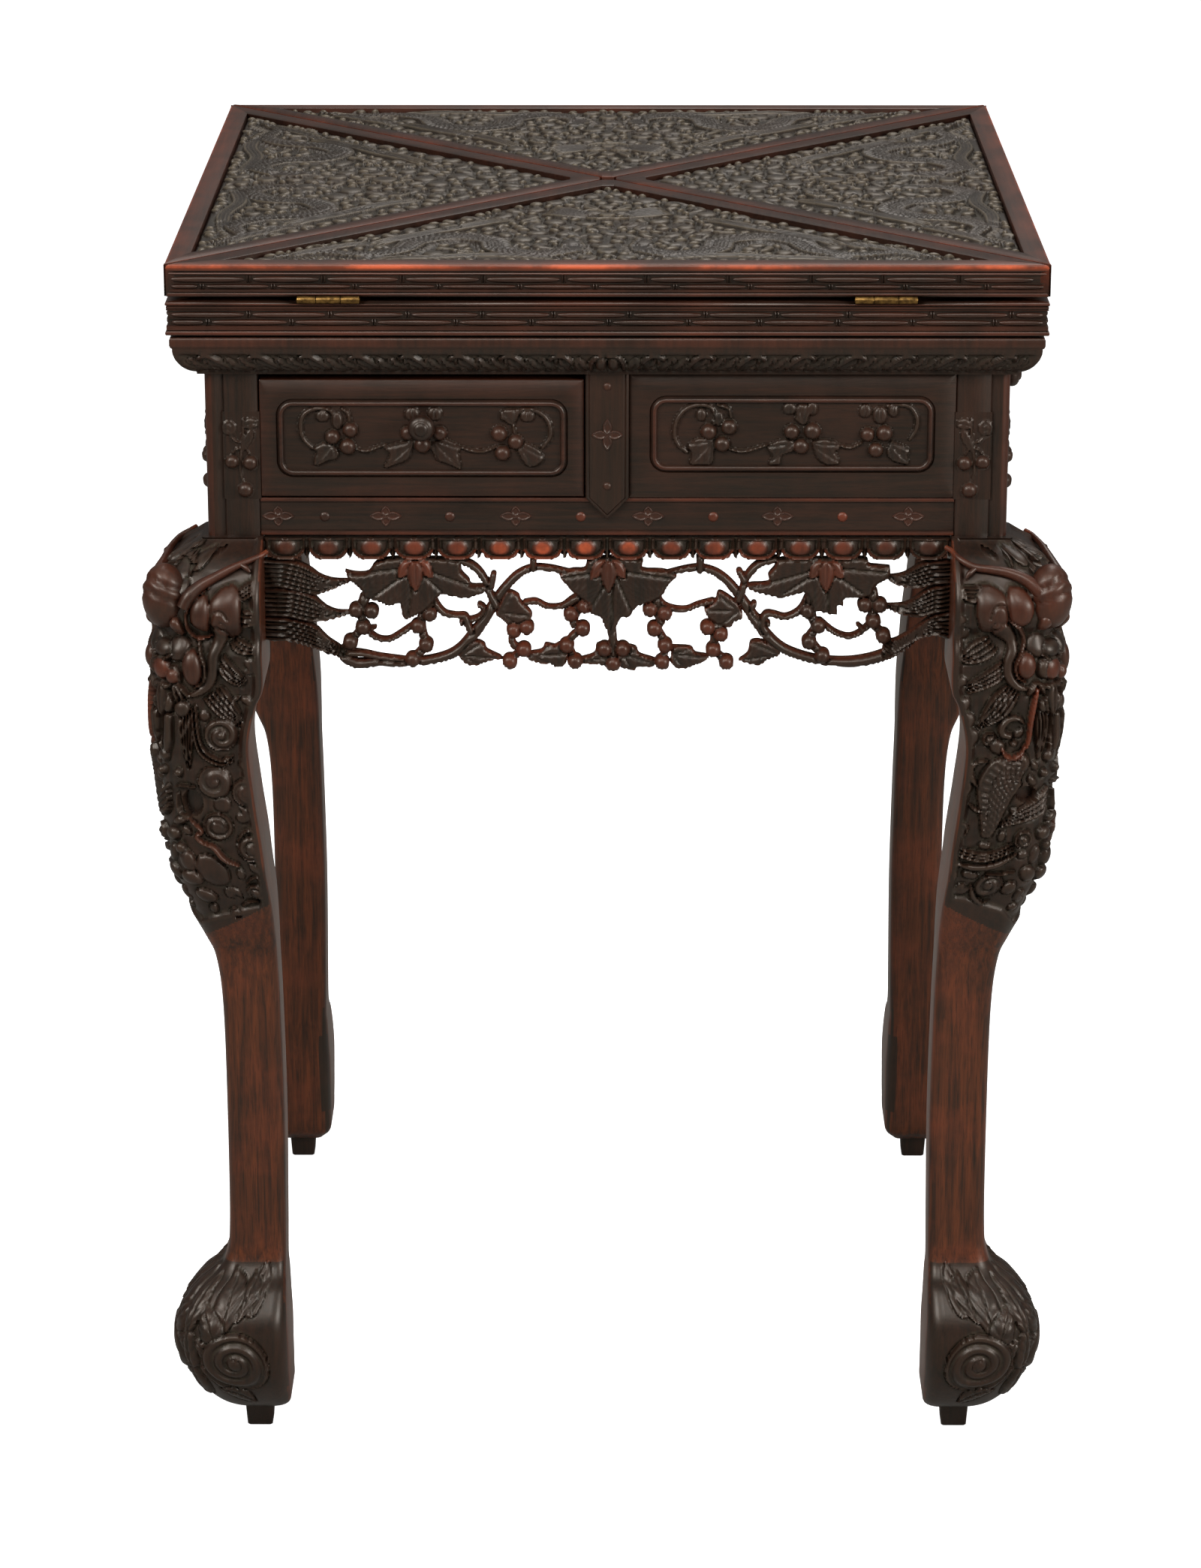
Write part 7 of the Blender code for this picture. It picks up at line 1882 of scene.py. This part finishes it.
def framed_board(left, right, low, high, frame, worn_edge=0.0):
    """A board whose face carries a raised bead frame between two fine cuts; sizes in millimetres."""
    made = Carving()
    face = FRONT_FACE / MM
    rows, worn = [], []
    for inset, rise, wear in ((0.0, -13.6, 0.0), (0.0, -0.5, 0.5), (0.5, 0.0, 0.3)):
        outline = rounded_frame(left, right, low, high, 0.6 + inset, inset)
        rows.append(np.column_stack((outline[:, 0], np.full(len(outline), rise), outline[:, 1])))
        worn.append(np.full(len(outline), wear * worn_edge))
    for inset, rise, wear in ((0.0, 0.0, 0.0), (0.5, -0.9, 0.0), (1.0, -0.1, 0.0), (1.7, 1.3, 0.0),
                              (2.4, 1.8, 0.12), (3.2, 1.95, 0.14), (4.0, 1.6, 0.06), (4.7, 0.6, 0.0),
                              (5.1, -0.9, 0.0), (7.5, -0.9, 0.0)):
        outline = rounded_frame(*frame, 10.5, inset)
        rows.append(np.column_stack((outline[:, 0], np.full(len(outline), rise), outline[:, 1])))
        worn.append(np.full(len(outline), wear))
    rings = np.array(rows)
    rings[..., 1] = -(face + rings[..., 1])
    made.loft(rings * MM, 0.62, np.array(worn))
    return made


# Grapes, leaves and stems on the drawer's and the false front's fields, in millimetres from the field's
# middle: stems with half widths, leaves with where their veins start and end, small rounded leaves, berries
DRAWER_VINE = (
    ((((-67.8, -6.4), (-73.3, -0.5), (-75.1, 7.8), (-73.3, 14.6), (-67.8, 18.4), (-61.3, 18.9),
       (-56.2, 17.4), (-54.6, 13.8), (-54.8, 10.1)), 1.5),
     (((-49.3, 18.6), (-45.6, 15.8), (-44.4, 8.7)), 1.3),
     (((-42, -6.4), (-34.6, -8), (-25.9, -5), (-21.5, -4.2)), 1.2),
     (((24.4, -5.8), (31.9, -8), (39.1, -8), (46.5, -5)), 1.2),
     (((74.6, -5.8), (79.6, 1.8), (78.2, 10.9), (72.4, 16.8), (65.2, 18.4), (59.4, 16.8), (56.5, 11.5),
       (57.3, 2.9)), 1.5)),
    ((((-67.8, -6.4), (-61.3, -2.7), (-54.1, -5), (-51.6, -9.4), (-53.4, -13.3), (-57.7, -13.9),
       (-60.6, -15.5), (-67.1, -17.7), (-66.7, -11.7), (-65.7, -8.8)), (-55.6, -3.8),
      ((-65.9, -16.8), (-53.2, -12))),
     (((-24.7, -5.8), (-15.7, -2.7), (-4.2, -1.2), (-6, -7.2), (-7.8, -12.5), (-12.9, -15.5), (-15.7, -16.3),
       (-24, -19.2), (-21.3, -13.3), (-20.4, -9.4)), (-4.4, -1.9),
      ((-23.4, -18.8), (-23.9, -6.3), (-8.3, -12.5))),
     (((14.6, 0.3), (24.7, -5.8), (22.5, -8.8), (24, -19.2), (18.9, -17.7), (13.2, -15.5), (8.8, -13.9),
       (6.6, -8.8), (4.5, -4.2)), (6.8, -1), ((23.4, -18.3), (23.9, -6.3), (9.3, -13.5))),
     (((58.7, -7.2), (63.7, -2.7), (72.4, -7.2), (75.3, -13.3), (68.1, -18.5), (62.4, -14.7)), (60.5, -3.8),
      ((68.3, -17.8), (74.7, -11.5))),
     (((48.6, 12.3), (49.3, 17.6), (55, 19), (60.5, 17.8), (58.6, 11.5), (55.6, 8.7)), (57, 9.2),
      ((50, 17), (58, 17.5)))),
    ((-61.5, 14, 4.2, 3.8), (-52.3, 11, 3.4, 5.4), (65.4, 14.2, 4.6, 4), (-6, 15.5, 4.6, 4.4),
     (8, 15.5, 4.6, 4.4)),
    ((-55.5, 0.8, 4.6), (-44.4, 5.4, 4.6), (-46.2, -5.3, 5.0), (-8.8, 3.3, 4.4), (11, 3.3, 4.4),
     (0.2, -4.2, 5.1), (47.8, 3, 4.9), (58, -2.2, 4.7), (49.8, -9.4, 4.7)),
)
FALSE_VINE = (
    ((((-65.4, -11.2), (-70.9, -6.1), (-73.1, 1.5), (-70.9, 10.4), (-65.4, 16.5), (-57.7, 18.8),
       (-50.8, 17.3), (-47.9, 12), (-48.6, 6.7)), 1.5),
     (((-46.5, 18.8), (-39.6, 16.5), (-38.1, 10.5)), 1.3),
     (((-39.6, -9), (-31.2, -10.9), (-22.8, -9), (-15.8, -6.7)), 1.2),
     (((28.8, -6.7), (35.8, -8.3), (42.8, -5.3)), 1.2),
     (((72.8, -3), (76.3, 3), (77, 10.5), (72.8, 17.3), (65.1, 19), (58.8, 18)), 1.5)),
    ((((-63.3, -4.5), (-56.3, -2.2), (-47.9, -4.5), (-48.6, -11.2), (-50, -18.8), (-56.3, -19.2),
       (-63.3, -18.8), (-62.2, -12.8), (-64.7, -7.5)), (-50, -4.8),
      ((-62.2, -18), (-50.9, -18.4), (-63.6, -5.8))),
     (((-13.8, -6.1), (-7.4, -3.3), (0.2, -4.2), (2.3, -9), (-0.5, -11.2), (-6.8, -13.5), (-7.4, -18.8),
       (-14.4, -18.8), (-12.3, -13.5), (-15.2, -9.8)), (0, -5.8), ((-13.7, -17.8), (-14.1, -7.7))),
     (((11.4, -4.5), (19, -3), (27.4, -4.5), (29.5, -9), (26.8, -11.2), (29.5, -18.1), (21.9, -19.2),
       (16.3, -15.8), (13.5, -10.5)), (11.3, -5.8), ((28.3, -16.8), (27.8, -6.7), (17, -15.4))),
     (((61, -3.7), (67.9, -6.1), (72.8, -9.8), (71.4, -13.5), (72.8, -18.8), (66.5, -18.1), (61, -15.8),
       (58.8, -10.5)), (59.4, -4.8), ((72.1, -17.8), (71.6, -8.7), (62.2, -14.9))),
     (((1.6, 9.5), (2.6, 17.8), (6.6, 19), (10.4, 17.4), (9.6, 9.5), (6.3, 6)), (6.4, 6.6),
      ((4.2, 17.5), (8.6, 17.4)))),
    ((-56.5, 12.5, 3.3, 4.2), (-45.4, 9.7, 3.0, 4.8), (-1.9, 16.4, 4.3, 3.9), (12.1, 16.4, 3.5, 4.3),
     (44.9, 15, 4, 4.5), (54.2, 12.2, 4.4, 5.6), (62.3, 15, 3.2, 4)),
    ((-51.8, 1.8, 4.9), (-39.2, 4.8, 4.9), (-43.4, -6.1, 4.9), (-0.5, 1.8, 4.7), (12.3, 2.2, 5.2),
     (5.4, -7.5, 4.9), (46.5, 0, 4.4), (57, 0.8, 5.0), (51.8, -9.8, 4.6)),
)
# Spacing of the points on a field, and how far the drawers' and false fronts' fields lie sunk
FIELD_FINE = 0.82
FIELD_SINK = -0.45


def vine_relief(work, middle, half, level=FIELD_SINK):
    """A board's sunk field with its vine, as one slab in millimetres: a across, b up, c out."""
    stems, leaves, lobes, berries = work
    across, upright = (np.arange(-reach, reach, FIELD_FINE) for reach in half)
    ground = Ground(*np.meshgrid(across, upright), level)
    for line, wide in stems:
        ground.stroke(line, (wide * 0.75, wide, wide, wide * 0.9, wide * 0.7), 0.0, 1.8, cut=0.35)
    for a, b, wide, tall in lobes:
        ground.mound((a, b), (wide, tall), 0.1, 1.9, cut=0.4)
        ground.groove([(a, b + tall * 0.7), (a, b), (a + 0.4, b - tall * 0.8)], 0.5, 0.7)
    for outline, base, tips in leaves:
        ground.leaf(outline, base, tips, 0.0, 2.7, cut=0.45, swell=3.6)
    for a, b, size in berries:
        ground.mound((a, b), (size, size), 0.3, size * 0.86, cut=0.5, rub=0.07)
        ground.mound((a + 0.4, b - 0.6), (0.7, 0.7), size * 0.86, 0.0, cut=0.3)
    ground.edge[:] = -1
    ground.u, ground.v = ground.u + middle[0], ground.v + middle[1]
    made = Carving()
    ground.cut_out(made, -1.6)
    return made


def quatrefoil(made, a, b, reach, face):
    """Four pointed petals, crossed in the middle; reach is how far they go across and up."""
    rest = Carving()
    part = np.concatenate((np.linspace(0, 1, 9), np.linspace(1, 0, 9)[1:-1]))
    side = np.where(np.arange(16) < 9, -1, 1)
    for turn in range(4):
        far, angle = reach[turn % 2], turn * QUARTER
        rings = []
        for size, rise in ((1.12, -0.3), (1.0, 0.75), (0.8, 0.95), (0.62, 0.5), (0.3, 0.45)):
            x = far * (0.5 + (part - 0.5) * size)
            y = side * 2.7 * size * np.sin(math.pi * np.clip(part, 0, 1) ** 0.85) ** 0.8
            rings.append(np.column_stack((a + x * math.cos(angle) - y * math.sin(angle),
                                          b + x * math.sin(angle) + y * math.cos(angle), np.full(16, rise))))
        rest.loft(rings, 0.62, 0.1)
    on_face(made, face, rest)


def stud(made, a, b, radius, face, rubbed):
    """A turned stud: a low dome set on the face."""
    rest = Carving()
    rest.ball((a, b, -0.1), (radius, radius, 1.3), 14, 7, proud=0.8, rubbed=rubbed)
    on_face(made, face, rest)


def make_fronts():
    """Drawer fronts and false fronts with their grapes, the stile between them and the rail below."""
    face = FRONT_FACE / MM
    left, right = DRAWER_LEFT / MM, DRAWER_RIGHT / MM
    low, high = DRAWER_BOTTOM / MM, DRAWER_TOP / MM
    board = framed_board(left, right, low, high, (left + 10, right - 10, low + 12.2, high - 12.2), 0.3)
    middle, half = ((left + right) / 2, (low + high) / 2), ((right - left) / 2 - 14, (high - low) / 2 - 16.2)
    on_face(board, face, vine_relief(DRAWER_VINE, middle, half))
    drawer = board.build("drawer_face", angle=0.8)
    drawer_finish(drawer, face, middle, half)
    four(drawer, "drawer_face_carved", SIDES, ["drawer_" + side for side in SIDES], "ebonised_hardwood",
         ("drawer_face",))

    false_left, false_right = STILE_HALF / MM + 0.1, POST_INNER / MM - 0.4
    top = CORNICE_BOTTOM / MM - 0.3
    middle, half = ((false_left + false_right) / 2, (RAIL_TOP / MM + top) / 2 + 1), (84.4, 20.6)
    board = framed_board(false_left, false_right, RAIL_TOP / MM, top,
                         (middle[0] - 88.4, middle[0] + 88.4, middle[1] - 24.6, middle[1] + 24.6))
    on_face(board, face, vine_relief(FALSE_VINE, middle, half))
    false = board.build("false_front", angle=0.8)
    drawer_finish(false, face, middle, half)
    four(false, "false_front_carved", SIDES, ("stand",) * 4, "ebonised_hardwood", ("case_side",))
    make_stiles(face, top)
    make_bottom_rails()


def drawer_finish(piece, face, middle, half):
    """Board in grained wood, the vine on its field in carved wood."""
    piece.data.materials.append(EBONY["x"])
    piece.data.materials.append(CARVED)
    x, y, z = face_centres(piece) / MM
    inside = (np.abs(x - middle[0]) < half[0] - 0.8) & (np.abs(z - middle[1]) < half[1] - 0.8)
    vine = inside & (-y > face - 0.25)
    piece.data.polygons.foreach_set("material_index", vine.astype(np.int32))


def make_stiles(face, top):
    """The stile between drawer and false front: beaded edges, a quatrefoil, two studs and a pointed foot."""
    made = Carving()
    half, rail = STILE_HALF / MM, RAIL_TOP / MM
    rings = []
    for inset, rise in ((0.0, -30.0), (0.0, 1.4), (0.5, 2.0), (1.6, 2.4), (2.4, 1.5), (3.0, 2.0),
                        (4.0, 2.0)):
        a = half - inset
        rings.append([(-a, -(face + rise), top), (a, -(face + rise), top), (a, -(face + rise), rail + 0.6),
                      (0.0, -(face + rise), rail - 13.5 + inset * 1.2), (-a, -(face + rise), rail + 0.6)])
    rings = np.array(rings)
    rings[0, 3, 2] = rail + 0.4
    rings[0, :, 1] = -(POST_INNER / MM + 0.3)
    made.loft(rings * MM, 0.62, 0.0)
    centre = (rail + top) / 2 + 4
    quatrefoil(made, 0, centre - 3, (9.6, 9.8), face + 2.0)
    for b in (top - 8, rail + 8):
        stud(made, 0, b, 2.6, face + 2.0, 0.1)
    piece = made.build("stile", angle=0.7)
    four(piece, "centre_stile", SIDES, ("stand",) * 4, "ebonised_hardwood", None, ((CARVED,),) * 4)


# Quatrefoils along the bottom rail, and studs between them with how worn each is
FOILS = (-205, -138, -57, 25.5, 106, 187.5)
STUDS = ((-176, 0.1), (-98, 0.25), (-16.5, 0.5), (66, 0.45), (146.5, 0.5))


def make_bottom_rails():
    """The rail under the drawers: a bead along both edges, quatrefoils and studs between them."""
    made = Carving()
    low, high = CASE_BOTTOM / MM, RAIL_TOP / MM
    half = POST_INNER / MM - 0.3
    face = BOX_HALF / MM
    profile = [(POST_INNER / MM, low), (face - 1.4, low), (face - 0.4, low + 0.3), (face, low + 1.3),
               (face - 0.3, low + 2.4), (face - 1.7, low + 3.0), (face - 1.5, low + 3.9),
               (face - 1.5, high - 3.9), (face - 1.7, high - 3.0), (face - 0.3, high - 2.4),
               (face, high - 1.3), (face - 0.4, high - 0.3), (face - 1.4, high - 0.1),
               (POST_INNER / MM, high - 0.1)]
    worn = [0, 0.05, 0.2, 0.26, 0.1, 0, 0, 0, 0, 0.1, 0.26, 0.2, 0.05, 0]
    rings = [[(x, -y, z) for y, z in profile] for x in np.linspace(-half, half, 5)]
    made.loft(np.array(rings) * MM, 0.62, np.tile(worn, 5))
    middle = (low + high) / 2
    for a in FOILS:
        quatrefoil(made, a, middle, (9.8, 6.4), face - 1.5)
    for a, wear in STUDS:
        stud(made, a, middle - 0.4, 3.2, face - 1.5, wear)
    piece = made.build("bottom_rail", angle=0.7)
    piece.data.materials.append(EBONY["x"])
    four(piece, "bottom_rail", SIDES, ("stand",) * 4, "ebonised_hardwood", None,
         ((EBONY["x"],), (EBONY["y"],)) * 2)


# Knobs, hinges, linings and the inside

# The knob's profile from its stem to its button: radius, and how far out of the drawer's face
KNOB_PROFILE = (
    (0.0, -0.0126), (0.0042, -0.0126), (0.0042, -0.0006), (0.0042, 0.0002), (0.0058, 0.0004),
                (0.0062, 0.0012),
    (0.0056, 0.0020), (0.0044, 0.0030), (0.0040, 0.0046), (0.0052, 0.0062), (0.0070, 0.0080),
                (0.0081, 0.0102),
    (0.0084, 0.0122), (0.0081, 0.0140), (0.0070, 0.0156), (0.0054, 0.0166), (0.0046, 0.0167),
                (0.0042, 0.0172),
    (0.0034, 0.0180), (0.0020, 0.0184), (0.0, 0.0185),
)


def make_knobs():
    """A turned knob on each drawer: a collar, a neck, a flattened ball and a button."""
    x, z = KNOB_PLACE
    knob = new_piece("knob", [(radius, 0, reach) for radius, reach in KNOB_PROFILE],
                     [(index, index + 1) for index in range(len(KNOB_PROFILE) - 1)], [])
    bpy.ops.object.mode_set(mode="EDIT")
    bpy.ops.mesh.select_all(action="SELECT")
    bpy.ops.mesh.spin(steps=40, angle=2 * math.pi, center=(0, 0, 0), axis=(0, 0, 1))
    bpy.ops.mesh.select_all(action="SELECT")
    bpy.ops.mesh.remove_doubles(threshold=0.00001)
    bpy.ops.mesh.normals_make_consistent(inside=False)
    bpy.ops.object.mode_set(mode="OBJECT")
    bpy.ops.object.shade_smooth_by_angle(angle=0.9)
    knob.data.transform(Matrix.Translation((x, -FRONT_FACE, z)) @ Matrix.Rotation(QUARTER, 4, "X"))
    mark(knob, 0.5, 0.0)
    four(knob, "drawer_knob_turned", SIDES, ["drawer_" + side for side in SIDES], "ebonised_hardwood",
         ("drawer_knob",), ((CARVED,),) * 4)


# Brass plates and their screws
PLATE_WIDE = 0.0105
PLATE_THICK = 0.0009
SCREW_RADIUS = 0.0021
SCREW_SPACING = 0.0125


def screw(x, y, z, upward):
    """A countersunk screw's slotted head, nearly flush with its plate."""
    reach = 0.00025 if upward else -0.00025
    head = rod((x, y, z - reach), (x, y, z + reach), SCREW_RADIUS, 18, 0.0001)
    cut_away(head, block((x - 0.003, y - 0.00028, z + reach * 0.2), (x + 0.003, y + 0.00028, z + reach * 2),
                         0))
    return head


def hinge_half(place, spans, low, high, pinned):
    """A plate with three screws, its rolled knuckles and, in the leaf's half, the pin."""
    def axis(along):
        """A point on the hinge's axis."""
        return (place + along, HINGE_AXIS_Y, HINGE_AXIS_Z)

    start, half = HINGE_AXIS_Y + KNUCKLE_RADIUS + GAP, HINGE_LENGTH / 2
    pieces = [block((place - half, start, low), (place + half, start + PLATE_WIDE, high), 0.0002)]
    for left, right in spans:
        pieces.append(block((place + left, HINGE_AXIS_Y + 0.0018, low), (place + right, start + 0.002, high),
                            0.0001))
        pieces.append(rod(axis(left), axis(right), KNUCKLE_RADIUS, 24, 0.0003))
    if pinned:
        for end in (-1, 1):
            pieces.append(rod(axis(end * (half - 0.0002)), axis(end * (half + 0.0002)), 0.0012, 14))
    level = low if pinned else high
    for along in (-SCREW_SPACING, 0.0, SCREW_SPACING):
        pieces.append(screw(place + along, start + 0.0062, level, not pinned))
    return joined("hinge", pieces)


def make_hinges():
    """Two brass butt hinges to a leaf."""
    ends = [share * HINGE_LENGTH for share in (-0.5, -0.2, 0.2, 0.5)]
    outer, middle = ((ends[0], ends[1]), (ends[2], ends[3])), ((ends[1] + GAP, ends[2] - GAP),)
    for word, place in (("left", -HINGE_PLACE), ("right", HINGE_PLACE)):
        fixed = hinge_half(place, outer, BED_TOP + GAP, BED_TOP + GAP + PLATE_THICK, False)
        moving = hinge_half(place, middle, LEAF_BOTTOM - GAP - PLATE_THICK, LEAF_BOTTOM - GAP, True)
        for turn, side in enumerate(SIDES):
            copy = turned_copy(fixed, "bed_hinge_brass_" + side + "_" + word, turn)
            dress(copy, "bed", "aged_brass", "bed_hinge_" + side + "_" + word, finishes=(BRASS,))
            copy = turned_copy(moving, "leaf_hinge_brass_" + side + "_" + word, turn)
            dress(copy, "leaf_" + side, "aged_brass", "leaf_hinge_" + side + "_" + word, finishes=(BRASS,))
        for spare in (fixed, moving):
            bpy.data.objects.remove(spare, do_unlink=True)


# The baize's thickness, and the gaps left round the bed's and the leaves' linings
BAIZE_THICK = 0.0008
BED_BAIZE_GAP = 0.0006
LEAF_BAIZE_GAP = 0.0007


def make_linings():
    """Green baize glued over the bed's panel and in the under side of each leaf."""
    half = TOP_HALF - BED_BORDER - BED_BAIZE_GAP
    bpy.ops.mesh.primitive_grid_add(x_subdivisions=40, y_subdivisions=40, size=2 * half,
                                    location=(0, 0, BED_TOP - 0.0003))
    lining = settle(bpy.context.object)
    lining.name = lining.data.name = "bed_baize"
    thicken(lining, BAIZE_THICK)
    dress(lining, "bed", "green_baize", finishes=(BAIZE,))

    corners = leaf_corners(*[LEAF_BORDER + LEAF_BAIZE_GAP] * 2)
    lining = new_piece("leaf_baize", [(a, b, LEAF_BOTTOM + 0.0011) for a, b in corners], [], [(0, 1, 2, 3)])
    bpy.ops.object.mode_set(mode="EDIT")
    bpy.ops.mesh.select_all(action="SELECT")
    bpy.ops.mesh.subdivide(number_cuts=24)
    bpy.ops.object.mode_set(mode="OBJECT")
    thicken(lining, BAIZE_THICK)
    for turn, side in enumerate(SIDES):
        copy = turned_copy(lining, "leaf_baize_" + side, turn)
        dress(copy, "leaf_" + side, "green_baize", finishes=(BAIZE,))
    bpy.data.objects.remove(lining, do_unlink=True)


def thicken(lining, thick):
    """Give a flat lining its thickness, downwards."""
    take(lining)
    body = lining.modifiers.new("nap", "SOLIDIFY")
    body.thickness, body.offset = thick, -1
    bpy.ops.object.modifier_apply(modifier=body.name)
    bpy.ops.object.shade_smooth_by_angle(angle=0.7)


def finish_inside():
    """Finish the made parts that stay as they are: boards, drawers, bolt, pin and washers."""
    finishes = {"case_top": INSIDE, "case_bottom": INSIDE, "partition_across": INSIDE,
                "partition_along": INSIDE, "bed_panel": INSIDE, "swivel_washer": LEATHER,
                "pivot_bolt": STEEL, "pivot_washer": STEEL, "pivot_nut": STEEL, "stop_pin": STEEL}
    finishes.update({"drawer_box_" + side: INSIDE for side in SIDES})
    for name, finish in finishes.items():
        node = frame["nodes"][name]
        node.data.materials.clear()
        node.data.materials.append(finish)
        take(node)
        bpy.ops.object.shade_smooth_by_angle(angle=0.6)
        if finish is INSIDE:
            merge = node.modifiers.new("merge", "WELD")
            merge.merge_threshold = 0.00001
            ease = node.modifiers.new("ease", "BEVEL")
            ease.width, ease.segments, ease.limit_method, ease.angle_limit = 0.0005, 2, "ANGLE", 0.9


make_legs()
make_leaf_panels()
make_bed_frame()
make_leaf_frames()
make_cornice()
make_aprons()
make_fronts()
make_knobs()
make_hinges()
make_linings()
finish_inside()
studio()
